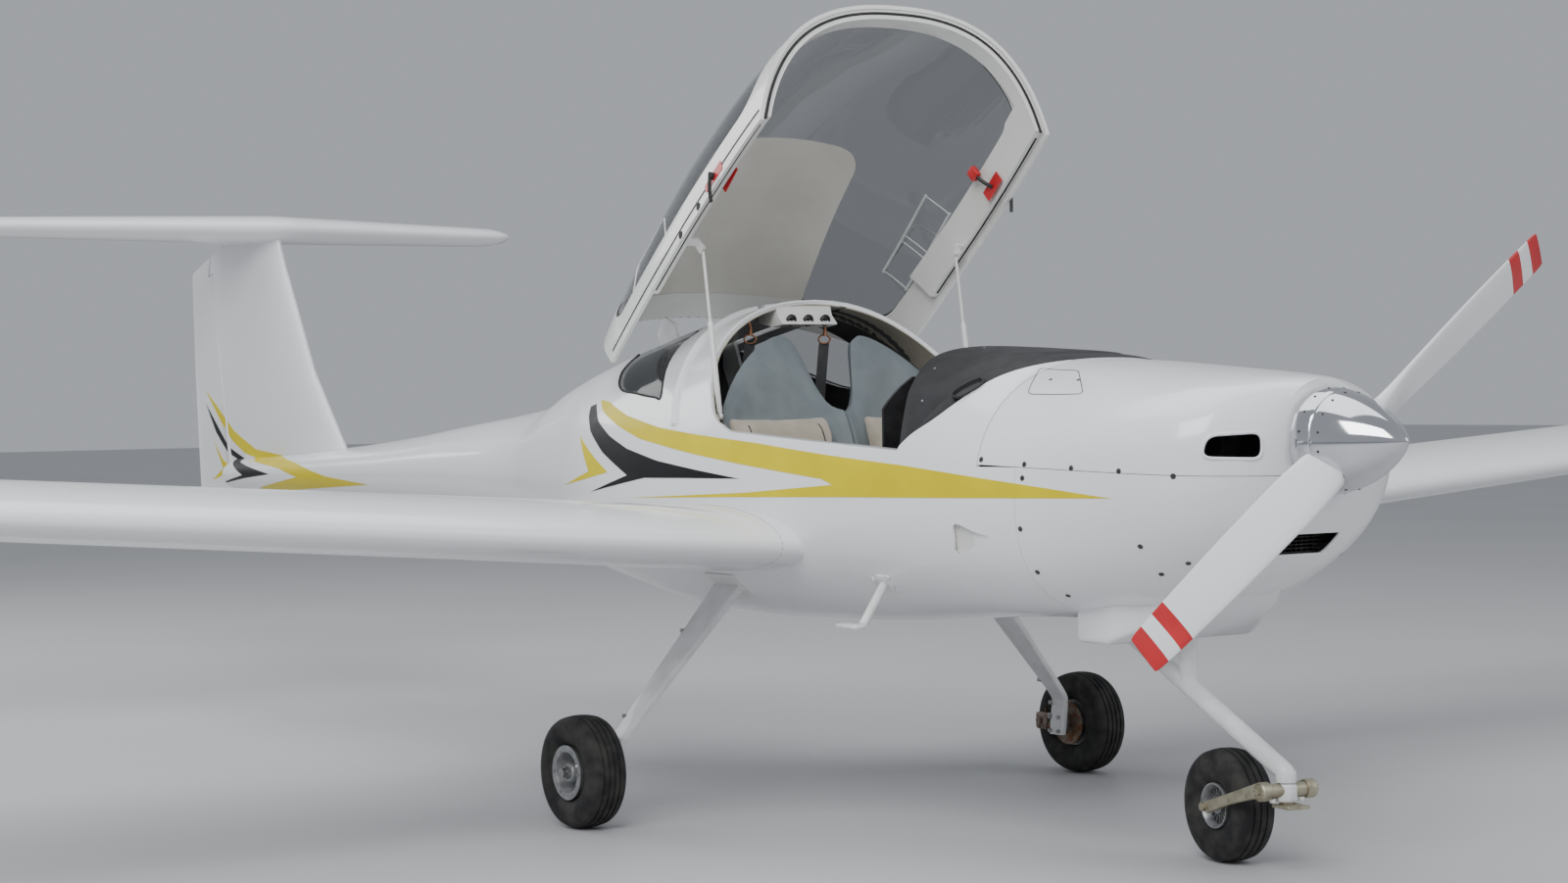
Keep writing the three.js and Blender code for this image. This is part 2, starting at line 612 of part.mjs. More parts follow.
// Height and half thickness of the wing's section at a hinge point, from the wing table.
function wingHinge(y, share, side) {
  const after = WING.findIndex((row) => row.y >= y);
  const [a, b] = [WING[after - 1], WING[after]];
  const t = (y - a.y) / (b.y - a.y);
  const w = Object.fromEntries(WING_COLUMNS.map((key) => [key, a[key] + (b[key] - a[key]) * t]));
  const turn = (w.twist * Math.PI) / 180;
  const line = CAMBER * 4 * share * (1 - share) * w.chord;
  return {
    point: [w.noseX - share * w.chord * Math.cos(turn) - line * Math.sin(turn), side * y,
      w.noseZ - share * w.chord * Math.sin(turn) + line * Math.cos(turn)],
    radius: sectionHalf(share, w.thickness) * w.chord,
  };
}

const FLAP = { y0: 660, y1: 2540, share: 0.74 };
const AILERON = { y0: 2600, y1: 4820, share: 0.76 };

function surfaceHinge({ y0, y1, share }, side) {
  const a = wingHinge(y0, share, side);
  const b = wingHinge(y1, share, side);
  return { from: a.point, to: b.point, radii: [a.radius * 0.97, b.radius * 0.97], reach: 600 };
}

// Fin, rudder, tailplane and elevator.
const FIN_COLUMNS = ['z', 'noseX', 'tailX', 'thickness'];
const FIN = [
  [860, -1900, -3515, 0.06],
  [1040, -2115, -3532, 0.085],
  [1364, -2401, -3560, 0.1],
  [1812, -2662, -3580, 0.11],
  [1900, -2700, -3480, 0.11],
  [1950, -2708, -3400, 0.11],
].map((row) => Object.fromEntries(FIN_COLUMNS.map((key, i) => [key, row[i]])));

function makeFinWhole() {
  return loft(FIN.map((f) => foilRing(f.noseX - f.tailX, f.thickness, 0, (a, b) => [f.noseX - a, b, f.z])));
}

const RUDDER = { bottom: [-3125, 0, 868], top: [-3325, 0, 1795], radii: [36, 30], reach: 700 };
// The rudder's top runs up behind the end of its hinge, and its front edge there swings clear of the fin.
const RUDDER_TOP = { frontX: -3362, rearX: -3620, clear: 21, lowZ: 1740, highZ: 2000 };
const TAILPLANE_COLUMNS = ['y', 'noseX', 'chord', 'z', 'thickness'];
const TAILPLANE = [
  [-1278, -3010, 390, 1970, 0.07],
  [-1250, -2955, 460, 1970, 0.13],
  [-1170, -2910, 505, 1970, 0.16],
  [0, -2625, 790, 1970, 0.148],
  [1170, -2910, 505, 1970, 0.16],
  [1250, -2955, 460, 1970, 0.13],
  [1278, -3010, 390, 1970, 0.07],
].map((row) => Object.fromEntries(TAILPLANE_COLUMNS.map((key, i) => [key, row[i]])));
const ELEVATOR = { x: -3205, half: 1175, z: 1970, radius: 31, reach: 400 };
// Room above the fin for the elevator's travel, in side view.
const ELEVATOR_SWEEP = [[-3161, 2040], [-3161, 1926], [-3205, 1922], [-3600, 1806], [-3600, 2040]];

function makeTailplaneWhole() {
  return loft(TAILPLANE.map((s) => foilRing(s.chord, s.thickness, 0, (a, b) => [s.noseX - a, s.y, s.z + b])));
}

// The gas strut's upper eye in side view, with the canopy closed.
function strutEyeClosed() {
  const turn = THREE.MathUtils.degToRad(CANOPY_OPEN_ANGLE);
  const [dx, dz] = [STRUT.eyeX - CANOPY_PIVOT.x, STRUT.eyeZ - CANOPY_PIVOT.z];
  return [
    CANOPY_PIVOT.x + dx * Math.cos(turn) + dz * Math.sin(turn),
    CANOPY_PIVOT.z - dx * Math.sin(turn) + dz * Math.cos(turn),
  ];
}

// Canopy, shaped closed and then turned open about its hinge.
function openCanopy(body) {
  const turn = new THREE.Matrix4()
    .makeTranslation(CANOPY_PIVOT.x, 0, CANOPY_PIVOT.z)
    .multiply(new THREE.Matrix4().makeRotationY(THREE.MathUtils.degToRad(-CANOPY_OPEN_ANGLE)))
    .multiply(new THREE.Matrix4().makeTranslation(-CANOPY_PIVOT.x, 0, -CANOPY_PIVOT.z));
  const geometry = geometryOf(body);
  geometry.applyMatrix4(turn);
  return solid(geometry);
}

const ROOF_PANEL = rounded([[1745, -330], [1745, 330], [1040, 330], [1040, -330]], 90);
const ROOF_MIDDLE_X = 1400;
const ROOF_LOW_Z = 1300;
const PANE_GAP = 1.2;

// Tabs on the canopy's rails that carry the gas struts' upper eyes.
const TAB = { half: 14, thick: 5, below: 12, above: 30, footY: 545 };

function makeTab(side) {
  const [x, z] = strutEyeClosed();
  const face = side * (STRUT.y + STRUT.half + SEAT_GAP);
  const [x0, x1] = [x - TAB.half, x + TAB.half];
  const plate = box(x0, x1, ...ordered(face, face + side * TAB.thick), z - TAB.below, z + TAB.above);
  return plate.add(box(x0, x1, ...ordered(face, side * TAB.footY), z + TAB.above - 8, z + TAB.above));
}

function makeCanopy() {
  const { outset, clear, rimInset, railHeight, archWidth, rearWidth } = CANOPY;
  const region = sidePrism(canopyOutline(0));
  const outer = bodyLoft(800, 2600, -outset);
  const thin = outer.subtract(bodyLoft(760, 2640, -clear)).intersect(region);
  const thick = outer.subtract(bodyLoft(760, 2640, rimInset)).intersect(region);
  const rails = sidePrism([
    shifted(ARCH_LOW, 30, -60), shifted(RAIL_FRONT, 30, -60), shifted(RAIL_FRONT, 60, railHeight),
    [ARCH_LOW[0] + 30, RAIL_REAR[1] + railHeight],
  ]);
  const arch = sidePrism([
    shifted(RAIL_FRONT, -archWidth, -60), shifted(RAIL_FRONT, 60, -60), shifted(CANOPY_FRONT_TOP, 80, 0),
    shifted(CANOPY_FRONT_TOP, -archWidth, 0),
  ]);
  // Opening for the glass and the roof panel, in side view.
  const window = sidePrism(rounded([
    shifted(RAIL_REAR, rearWidth - 22, railHeight), shifted(RAIL_FRONT, 58 - archWidth, railHeight),
    shifted(CANOPY_FRONT_TOP, -archWidth, 0), [CANOPY_FRONT_TOP[0] - archWidth, TOP_Z],
    [CANOPY_REAR_TOP[0] + rearWidth, TOP_Z], shifted(CANOPY_REAR_TOP, rearWidth, 0),
  ], 70));
  let frame = thick.intersect(rails.add(arch)).add(thin).subtract(window);
  for (const side of [-1, 1]) frame = frame.add(makeTab(side));

  const pane = bodyLoft(800, 2600, 3 - outset).subtract(bodyLoft(760, 2640, -clear - 3)).intersect(window);
  // The pane is trimmed by the frame moved a little each way, so that a gap stays between them.
  let trimmed = pane.subtract(frame);
  for (const shift of [[0, 0, PANE_GAP], [0, 0, -PANE_GAP], [PANE_GAP, 0, 0], [-PANE_GAP, 0, 0]]) {
    trimmed = trimmed.subtract(frame.translate(...shift));
  }
  const roofGrown = ROOF_PANEL.map(([x, y]) => [x + Math.sign(x - ROOF_MIDDLE_X), y + Math.sign(y)]);
  const roof = trimmed.intersect(planPrism(ROOF_PANEL, ROOF_LOW_Z, TOP_Z));
  const glass = trimmed.subtract(planPrism(roofGrown, ROOF_LOW_Z, TOP_Z));
  return { frame, glass, roof };
}

// Undercarriage.
const WHEEL_SIDES = 24;
const DISC = { outerY: 60, innerY: 54 }; // the brake disc's faces, from the middle of the wheel

// Both sides of a profile given for one side, as [distance along the axle, radius].
function mirrored(half) {
  return [...half.map(([distance, radius]) => [-distance, radius]), ...half.toReversed()];
}

function makeTyre({ width, radius, rimRadius }, centre) {
  const half = width / 2;
  const depth = radius - rimRadius;
  const side = [
    [half * 0.62, rimRadius], [half * 0.94, rimRadius + depth * 0.3], [half, rimRadius + depth * 0.58],
    [half * 0.86, radius - depth * 0.12], [half * 0.55, radius - 3], [0, radius],
  ];
  return turnedY(mirrored(side).filter((point, i) => i !== side.length), centre, WHEEL_SIDES);
}

// Hub with a dished web, and a brake disc on one side where discSide is -1 or 1.
function makeHub(wheel, centre, dish, discSide = 0) {
  const half = wheel.width / 2;
  const rim = wheel.rimRadius - SEAT_GAP;
  const bore = wheel.axleRadius + 0.2;
  const side = [
    [half * 0.7, bore], [half * 0.7, bore + 16], [dish, bore + 20], [dish, rim - 16], [half * 0.6, rim - 6],
    [half * 0.6, rim],
  ];
  const hub = turnedY(mirrored(side), centre, WHEEL_SIDES);
  if (!discSide) return hub;
  const { outerY, innerY } = DISC;
  const disc = [
    [-outerY, bore], [-outerY, rim - 8], [-innerY, rim - 8], [-innerY, bore + 30], [-half * 0.6, bore + 20],
    [-half * 0.6, bore],
  ];
  return hub.add(turnedY(disc.map(([distance, radius]) => [distance * discSide, radius]), centre, WHEEL_SIDES));
}

// Sprung main leg: a tapered flat bar from the belly, bent down at its foot to carry the axle.
const LEG_COLUMNS = ['x', 'y', 'z', 'width', 'thick', 'lean'];
const LEG = [
  [1310, 400, 762, 146, 28, 33],
  [1306, 470, 684, 138, 28, 33],
  [1300, 552, 590, 122, 25, 33],
  [1288, 712, 410, 90, 22, 33],
  [1280, 832, 272, 66, 22, 30],
  [1270, 852, 235, 62, 22, 12],
  [1262, 856, 198, 62, 24, 0],
  [1254, 856, 130, 60, 24, 0],
].map((row) => Object.fromEntries(LEG_COLUMNS.map((key, i) => [key, row[i]])));

// The leg's section as shares of its half width and half thickness, with its corners cut.
const LEG_CORNERS = [
  [-1, -0.4], [-0.86, -1], [0.86, -1], [1, -0.4], [1, 0.4], [0.86, 1], [-0.86, 1], [-1, 0.4],
];

function makeLeg(side) {
  const rings = LEG.map((leg) => {
    const lean = THREE.MathUtils.degToRad(leg.lean);
    return LEG_CORNERS.map(([a, b]) => [
      leg.x + a * (leg.width / 2),
      side * (leg.y + b * (leg.thick / 2) * Math.cos(lean)),
      leg.z + b * (leg.thick / 2) * Math.sin(lean),
    ]);
  });
  return loft(rings).subtract(fuselageRoom());
}

// Stub axle, brake mounting and caliper on the foot of each leg. Distances are across from the centre line.
const BRAKE = {
  faceY: 868, flangeY: 890, flangeRadius: 38, axleEndY: 1034, nutY0: 1012, nutY1: 1022, nutRadius: 20,
  plateRearX: MAIN_WHEEL.x - 120, plateZ0: MAIN_WHEEL.radius - 18, plateZ1: MAIN_WHEEL.radius + 22,
  caliperRearX: MAIN_WHEEL.x - 124, caliperFrontX: MAIN_WHEEL.x - 40, caliperY: 862,
  caliperZ0: MAIN_WHEEL.radius - 26, caliperZ1: MAIN_WHEEL.radius + 30,
};

function makeBrake(side) {
  const at = (y) => [MAIN_WHEEL.x, side * y, MAIN_WHEEL.radius];
  const across = (y0, y1) => ordered(side * y0, side * y1);
  const axleRadius = MAIN_WHEEL.axleRadius - SEAT_GAP;
  const { faceY, flangeY, plateZ0, plateZ1, caliperZ0, caliperZ1 } = BRAKE;
  const flange = bar(at(faceY + SEAT_GAP), at(flangeY), BRAKE.flangeRadius);
  const axle = bar(at(faceY + 1), at(BRAKE.axleEndY), axleRadius);
  const nut = bar(at(BRAKE.nutY0), at(BRAKE.nutY1), BRAKE.nutRadius, BRAKE.nutRadius, 6);
  const plate = box(BRAKE.plateRearX, MAIN_WHEEL.x, ...across(faceY + 2, flangeY), plateZ0, plateZ1);
  const caliper = box(
    BRAKE.caliperRearX, BRAKE.caliperFrontX, ...across(BRAKE.caliperY, flangeY), caliperZ0, caliperZ1,
  );
  return flange.add(axle).add(nut).add(plate).add(caliper);
}

// Nose leg: a sloping tube under the belly, bent down at the castor, steadied by an upright tube.
const NOSE_LEG = { top: [2470, 0, 641], bend: [3150, 0, 264], footZ: 240, radius: 26, footRadius: 27 };
const NOSE_GUSSET = [[2796, 461], [2796, 575], [2620, 575], [2640, 530]];

function makeNoseLeg() {
  const slope = bar(NOSE_LEG.top, NOSE_LEG.bend, NOSE_LEG.radius);
  const foot = bar([CASTOR.x, 0, NOSE_LEG.footZ], [CASTOR.x, 0, NOSE_LEG.bend[2] + 14], NOSE_LEG.footRadius);
  const bracket = box(2440, 2540, -50, 50, 590, 640);
  return slope.add(foot).add(bracket).subtract(fuselageRoom());
}

function makeNoseStrut(leg) {
  const ends = [NOSE_STRUT.footZ, ENGINE.z0 - SEAT_GAP].map((z) => [NOSE_STRUT.x, 0, z]);
  const upright = bar(...ends, NOSE_STRUT.radius);
  const gusset = sidePrism(NOSE_GUSSET, -5, 5);
  const clear = bar(NOSE_LEG.top, NOSE_LEG.bend, NOSE_LEG.radius + SEAT_GAP);
  return largest(upright.add(gusset).subtract(clear).subtract(leg));
}

// Turned castoring fork, its pieces placed with the wheel straight and then turned to the parked angle.
function parked(body) {
  const geometry = geometryOf(body);
  geometry.translate(-CASTOR.x, 0, 0);
  geometry.rotateZ(THREE.MathUtils.degToRad(CASTOR.parkedAngle));
  geometry.translate(CASTOR.x, 0, 0);
  return solid(geometry);
}

const NOSE_AXLE = [CASTOR.x - CASTOR.trail, 0, NOSE_WHEEL.radius];

const FORK = {
  armY0: 62, armY1: 80, armHalf: 15, axleHalf: 88, pivotRadius: 30, bossLength: 26,
  plate: { x0: -20, x1: 62, half: 36, z0: -44, z1: -36 }, slot: { x0: 24, x1: 46, half: 18 }, stemHalf: 14,
};

function makeFork() {
  const { x, crossHalf, crossRadius, crossZ: z } = CASTOR;
  const [axleX, , axleZ] = NOSE_AXLE;
  const { plate, slot, stemHalf, armHalf, axleHalf } = FORK;
  let fork = bar([x, -crossHalf, z], [x, crossHalf, z], crossRadius - 3)
    .add(bar([x, 0, z - 30], [x, 0, NOSE_LEG.footZ - SEAT_GAP], FORK.pivotRadius))
    .add(bar([axleX, -axleHalf, axleZ], [axleX, axleHalf, axleZ], NOSE_WHEEL.axleRadius - SEAT_GAP));
  for (const side of [-1, 1]) {
    const bossEnds = [crossHalf - FORK.bossLength, crossHalf].map((y) => [x, side * y, z]);
    const arm = sidePrism([
      [x, z + 18], [x, z - 18], [axleX, axleZ - armHalf], [axleX - armHalf, axleZ], [axleX, axleZ + armHalf],
    ], ...ordered(side * FORK.armY0, side * FORK.armY1));
    fork = fork.add(bar(...bossEnds, crossRadius + 3)).add(arm);
  }
  // Plate for the tow bar, with its slot.
  const towPlate = box(x + plate.x0, x + plate.x1, -plate.half, plate.half, z + plate.z0, z + plate.z1)
    .subtract(box(x + slot.x0, x + slot.x1, -slot.half, slot.half, z - 60, z - 20));
  return fork.add(towPlate).add(box(x - stemHalf, x + stemHalf, -stemHalf, stemHalf, z - 40, z));
}

// Cabin furniture.
// A seat or cushion: its outline in side view, and its left shoulder in front view from the foot to the top.
const SEAT_Y = 256;
const SEAT = {
  half: 236, shoulder: [[236, 600], [236, 1180], [170, 1360], [95, 1428], [0, 1440]],
  outline: [
    [1960, 752], [1900, 716], [1560, 640], [1420, 640], [1340, 720], [1075, 1426], [1105, 1436], [1372, 740],
    [1436, 668], [1552, 666], [1890, 744], [1945, 780],
  ],
};
const CUSHION = {
  half: 200, shoulder: [[200, 600], [200, 1100], [150, 1190]],
  outline: rounded([
    [1930, 776], [1890, 730], [1554, 650], [1430, 650], [1350, 742], [1190, 1172], [1262, 1196], [1440, 800],
    [1510, 734], [1890, 812],
  ], 20, 2),
};
const CONSOLE = {
  half: 46,
  outline: [[1990, 592], [1560, 600], [1580, 700], [1900, 800], [1980, 980], [2010, 980], [2010, 592]],
};

function seatShape(side, { half, shoulder, outline }) {
  const y = side * SEAT_Y;
  const right = shoulder.filter(([across]) => across > 0).toReversed().map(([across, z]) => [-across, z]);
  const front = frontPrism([...shoulder, ...right].map(([across, z]) => [y + across, z]), 900, 2200);
  const consoleRoom = box(1500, 2200, -CONSOLE.half - 2, CONSOLE.half + 2, 500, 1000);
  return sidePrism(outline, y - half, y + half).intersect(front).intersect(bodyLoft(500, 2600, SKIN + 2))
    .subtract(consoleRoom);
}

const makeSeat = (side) => seatShape(side, SEAT);

function makeCushion(side) {
  const seat = makeSeat(side);
  return seatShape(side, CUSHION).subtract(seat).subtract(seat.translate(0, 0, SEAT_GAP))
    .subtract(seat.translate(SEAT_GAP, 0, 0));
}

function makeConsole() {
  return sidePrism(rounded(CONSOLE.outline, 20), -CONSOLE.half, CONSOLE.half).intersect(cabinRoom());
}

const STICK = { y: 250, foot: [1994, 560], gripFoot: [1990, 856], gripTop: [1966, 985], radius: 11 };

function makeStick(side) {
  const at = ([x, z]) => [x, side * STICK.y, z];
  return bar(at(STICK.foot), at(STICK.gripFoot), STICK.radius, STICK.radius, 12)
    .add(bar(at(STICK.gripFoot), at(STICK.gripTop), 17, 19, 12)).intersect(cabinRoom());
}

const PANEL = { x0: 2052, x1: 2076, z0: 930, z1: 1300, stepZ: 1092 };
const HOOD = { outer: 38, inner: 50 }; // depth of its two faces below the closed canopy's line

function makePanel() {
  const lower = box(PANEL.x0, PANEL.x1, -WIDE, WIDE, PANEL.z0, PANEL.stepZ).intersect(cabinRoom(1000));
  const upper = box(PANEL.x0, PANEL.x1, -WIDE, WIDE, PANEL.stepZ - 1, PANEL.z1)
    .intersect(bodyLoft(1000, 2600, HOOD.inner + SEAT_GAP));
  return lower.add(upper);
}

// Black glareshield: a hood from the front deck to above the instrument panel.
const HOOD_SIDE = [
  shifted(RAIL_FRONT, -24, -16), shifted(RAIL_FRONT, -2, 40), [2392, 1368], [2392, 1400], [1812, 1400],
  [1812, 1330], [2100, 1090],
];
// Plan view of its rear edge, from the middle to the left side: [x, y].
const HOOD_EDGE = [[1812, 120], [1850, 260], [1960, 400], [2120, 520], [2500, 560]];
const HOOD_TOP_Z = 1386;
// A lip under the front deck's skin carries the hood.
const HOOD_LIP = [[2208, 1100], [2245, 1100], [2485, 1420], [2448, 1420]];

function makeGlareshield() {
  const plan = [...HOOD_EDGE, ...HOOD_EDGE.toReversed().map(([x, y]) => [x, -y])];
  const hood = bodyLoft(1700, 2500, HOOD.outer).intersect(sidePrism(HOOD_SIDE))
    .intersect(planPrism(plan, 900, HOOD_TOP_Z));
  const lip = bodyLoft(1700, 2500, SKIN + SEAT_GAP).intersect(sidePrism(HOOD_LIP));
  return hood.add(lip).subtract(bodyLoft(1600, 2600, HOOD.inner));
}

// Boarding step below each side of the cockpit: a raked tube with a small tread.
const STEP = { top: [2062, 438, 761], foot: [2140, 600, 618], x0: 2054, x1: 2156, y: 616, half: 24, z0: 612, z1: 622 };

function makeStep(side) {
  const [top, foot] = [STEP.top, STEP.foot].map(([x, y, z]) => [x, side * y, z]);
  const [y0, y1] = [side * STEP.y - STEP.half, side * STEP.y + STEP.half];
  const tread = rounded([[STEP.x0, y0], [STEP.x1, y0], [STEP.x1, y1], [STEP.x0, y1]], 18, 3);
  return bar(top, foot, 15, 12, 14).add(planPrism(tread, STEP.z0, STEP.z1)).subtract(fuselageRoom());
}

const VENTRAL_FIN = { half: 11, outline: [[-2480, 880], [-3020, 690], [-3052, 880]] };

function makeVentralFin() {
  const plate = sidePrism(rounded(VENTRAL_FIN.outline, 18, 3), -VENTRAL_FIN.half, VENTRAL_FIN.half);
  return plate.subtract(bodyLoft(FUSELAGE_REAR_X, 0, -SEAT_GAP));
}

const OVERHEAD = {
  y0: -150, y1: 60,
  outline: [[1118, 1500], [1150, 1470], [1090, 1462], [1016, 1478], [1016, 1560], [1118, 1560]],
};

function makeOverhead() {
  return sidePrism(rounded(OVERHEAD.outline, 8, 2), OVERHEAD.y0, OVERHEAD.y1).intersect(cabinRoom(900));
}

// Canopy gas struts: a tube pinned at the sill and a rod up to the canopy rail.
function strutPoint(t, side) {
  const x = STRUT.footX + (STRUT.eyeX - STRUT.footX) * t;
  const z = STRUT.footZ + (STRUT.eyeZ - STRUT.footZ) * t;
  return [x, side * STRUT.y, z];
}

function makeStrutTube(side) {
  const r = STRUT.tubeRadius;
  const bore = STRUT.rodRadius + SEAT_GAP;
  const pinBore = STRUT.pinRadius + SEAT_GAP;
  const [x, y, z] = strutPoint(0, side);
  return bar(strutPoint(0, side), strutPoint(0.56, side), r, r, 12)
    .subtract(bar(strutPoint(0.06, side), strutPoint(0.6, side), bore, bore, 12))
    .add(bar([x, y - STRUT.half, z], [x, y + STRUT.half, z], r + 2, r + 2, 12))
    .subtract(bar([x, y - 20, z], [x, y + 20, z], pinBore, pinBore, 20));
}

function makeStrutRod(side) {
  const r = STRUT.rodRadius;
  const [x, y, z] = strutPoint(1, side);
  return bar(strutPoint(0.32, side), strutPoint(1, side), r, r, 12)
    .add(bar([x, y - STRUT.half, z], [x, y + STRUT.half, z], r + 4, r + 4, 12));
}

// The pieces, one solid each.
const cowls = makeCowls();
add('fuselage', makeFuselage(), 'white');
add('cowl_upper', cowls.upper, 'white');
add('cowl_lower', cowls.lower, 'white');
add('engine', makeEngine(), 'grey');
add('spinner', makeSpinner().subtract(makePropeller(2 * SEAT_GAP)), 'chrome');
add('propeller', makePropeller(), 'white');

const canopy = makeCanopy();
add('canopy_frame', openCanopy(canopy.frame), 'cream');
add('canopy_glass', openCanopy(canopy.glass), 'glass');
add('canopy_roof', openCanopy(canopy.roof), 'white');
add('glareshield', makeGlareshield(), 'black');
add('instrument_panel', makePanel(), 'black');
add('centre_console', makeConsole(), 'beige');
add('overhead_panel', makeOverhead(), 'cream');
add('hinge_tube', makeHingeTube(), 'steel');
add('ventral_fin', makeVentralFin(), 'white');

for (const [label, side] of [['left', 1], ['right', -1]]) {
  const whole = makeWing(side).subtract(fuselageRoom());
  const flap = cutSurface(whole, surfaceHinge(FLAP, side));
  const aileron = cutSurface(flap.rest, surfaceHinge(AILERON, side));
  add(`wing_${label}`, aileron.rest, 'white');
  add(`flap_${label}`, flap.surface, 'white');
  add(`aileron_${label}`, aileron.surface, 'white');

  const wheelCentre = [MAIN_WHEEL.x, side * MAIN_WHEEL.y, MAIN_WHEEL.radius];
  add(`main_leg_${label}`, makeLeg(side), 'white');
  add(`brake_${label}`, makeBrake(side), 'cast');
  add(`main_hub_${label}`, makeHub(MAIN_WHEEL, wheelCentre, 20, side), 'grey');
  add(`main_tyre_${label}`, makeTyre(MAIN_WHEEL, wheelCentre), 'rubber');

  add(`seat_${label}`, makeSeat(side), 'seat');
  add(`cushion_${label}`, makeCushion(side), 'beige');
  add(`stick_${label}`, makeStick(side), 'black');
  add(`rear_window_${label}`, makeRearWindow(side), 'glass');
  add(`hinge_arm_${label}`, openCanopy(makeHingeArm(side)), 'white');
  add(`step_${label}`, makeStep(side), 'white');
  add(`strut_tube_${label}`, makeStrutTube(side), 'white');
  add(`strut_rod_${label}`, makeStrutRod(side), 'white');
}

// A lug behind the fuselage carries the rudder's lower pin.
const LUG = { half: 12, z0: 843, heelZ: 853, z1: 905 };
const rudderLug = box(FUSELAGE_REAR_X - 22, FUSELAGE_REAR_X, -LUG.half, LUG.half, LUG.z0, LUG.z1)
  .add(box(FUSELAGE_REAR_X - 80, FUSELAGE_REAR_X, -LUG.half, LUG.half, LUG.z0, LUG.heelZ));
const tailplaneWhole = makeTailplaneWhole();
const finWhole = makeFinWhole().subtract(tailplaneWhole).subtract(tailplaneWhole.translate(0, 0, -SEAT_GAP))
  .subtract(sidePrism(ELEVATOR_SWEEP));
const tail = cutSurface(
  finWhole, { from: RUDDER.bottom, to: RUDDER.top, radii: RUDDER.radii, reach: RUDDER.reach }, rudderLug,
);
const belowTail = box(FUSELAGE_REAR_X, -1800, -80, 80, 800, 960);
const rudderTop = (frontX) => box(RUDDER_TOP.rearX, frontX, -WIDE, WIDE, RUDDER_TOP.lowZ, RUDDER_TOP.highZ);
const fin = tail.rest.subtract(rudderTop(RUDDER_TOP.frontX + RUDDER_TOP.clear));
add('fin', fin.subtract(bodyLoft(FUSELAGE_REAR_X, 0, -SEAT_GAP)).subtract(belowTail), 'white');
add('rudder', tail.surface.add(finWhole.intersect(rudderTop(RUDDER_TOP.frontX))), 'white');
const plane = cutSurface(tailplaneWhole, {
  from: [ELEVATOR.x, -ELEVATOR.half, ELEVATOR.z], to: [ELEVATOR.x, ELEVATOR.half, ELEVATOR.z],
  radii: [ELEVATOR.radius, ELEVATOR.radius], reach: ELEVATOR.reach,
});
add('tailplane', plane.rest, 'white');
add('elevator', plane.surface, 'white');

const noseLeg = makeNoseLeg();
add('nose_leg', noseLeg, 'white');
add('nose_strut', makeNoseStrut(noseLeg), 'white');
add('castor_fork', parked(makeFork()), 'cast');
add('nose_hub', parked(makeHub(NOSE_WHEEL, NOSE_AXLE, 18)), 'grey');
add('nose_tyre', parked(makeTyre(NOSE_WHEEL, NOSE_AXLE)), 'rubber');

export default aircraft;
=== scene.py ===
import bpy, bmesh, math
from mathutils import Matrix, Vector


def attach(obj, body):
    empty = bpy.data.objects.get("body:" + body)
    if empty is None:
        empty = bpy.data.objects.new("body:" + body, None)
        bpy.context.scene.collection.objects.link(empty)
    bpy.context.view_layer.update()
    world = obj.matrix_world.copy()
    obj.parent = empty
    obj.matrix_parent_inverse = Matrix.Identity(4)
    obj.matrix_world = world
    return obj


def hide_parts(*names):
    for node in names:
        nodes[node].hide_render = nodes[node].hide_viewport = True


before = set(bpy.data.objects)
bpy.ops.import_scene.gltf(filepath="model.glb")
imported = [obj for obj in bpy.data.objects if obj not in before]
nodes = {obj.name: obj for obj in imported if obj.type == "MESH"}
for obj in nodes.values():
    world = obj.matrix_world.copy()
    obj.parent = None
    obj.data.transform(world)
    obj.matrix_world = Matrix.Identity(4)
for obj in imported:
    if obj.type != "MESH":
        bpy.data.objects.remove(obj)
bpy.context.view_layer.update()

# Two-seat light aircraft, parked with its canopy open. Metres, +X forward, +Y to the left wing, +Z up.


# Helpers for modelling with Blender's own operators.

def deselectAll():
    if bpy.context.object and bpy.context.object.mode != "OBJECT":
        bpy.ops.object.mode_set(mode="OBJECT")
    bpy.ops.object.select_all(action="DESELECT")


def pick(*objects):
    deselectAll()
    for obj in objects:
        obj.select_set(True)
    bpy.context.view_layer.objects.active = objects[0]


def named(name):
    obj = bpy.context.object
    obj.name = name
    obj.data.name = name
    return obj


def edit(obj):
    pick(obj)
    bpy.ops.object.mode_set(mode="EDIT")
    bpy.ops.mesh.select_all(action="SELECT")


def leaveEdit():
    bpy.ops.object.mode_set(mode="OBJECT")


def join(name, objects):
    pick(*objects)
    if len(objects) > 1:
        bpy.ops.object.join()
    return named(name)


def copyOf(obj, name):
    new = obj.copy()
    new.data = obj.data.copy()
    new.name = name
    new.data.name = name
    bpy.context.collection.objects.link(new)
    return new


def applyPlace(obj):
    pick(obj)
    bpy.ops.object.transform_apply(location=True, rotation=True, scale=True)


def moved(obj, matrix):
    obj.data.transform(matrix)
    if matrix.determinant() < 0:
        obj.data.flip_normals()
    return obj


def mirrorCopy(obj, name):
    return moved(copyOf(obj, name), Matrix.Scale(-1, 4, (0, 1, 0)))


def boolean(obj, other, operation="DIFFERENCE", keep=False):
    pick(obj)
    modifier = obj.modifiers.new("boolean", "BOOLEAN")
    modifier.operation = operation
    modifier.solver = "MANIFOLD"
    modifier.object = other
    bpy.ops.object.modifier_apply(modifier=modifier.name)
    if not keep:
        bpy.data.objects.remove(other)
    if not obj.data.vertices:
        print("nothing left of", obj.name)
    return obj


def bevel(obj, width, segments=2, angle=40):
    pick(obj)
    modifier = obj.modifiers.new("bevel", "BEVEL")
    modifier.width = width
    modifier.segments = segments
    modifier.limit_method = "ANGLE"
    modifier.angle_limit = math.radians(angle)
    modifier.use_clamp_overlap = True
    bpy.ops.object.modifier_apply(modifier=modifier.name)
    return obj


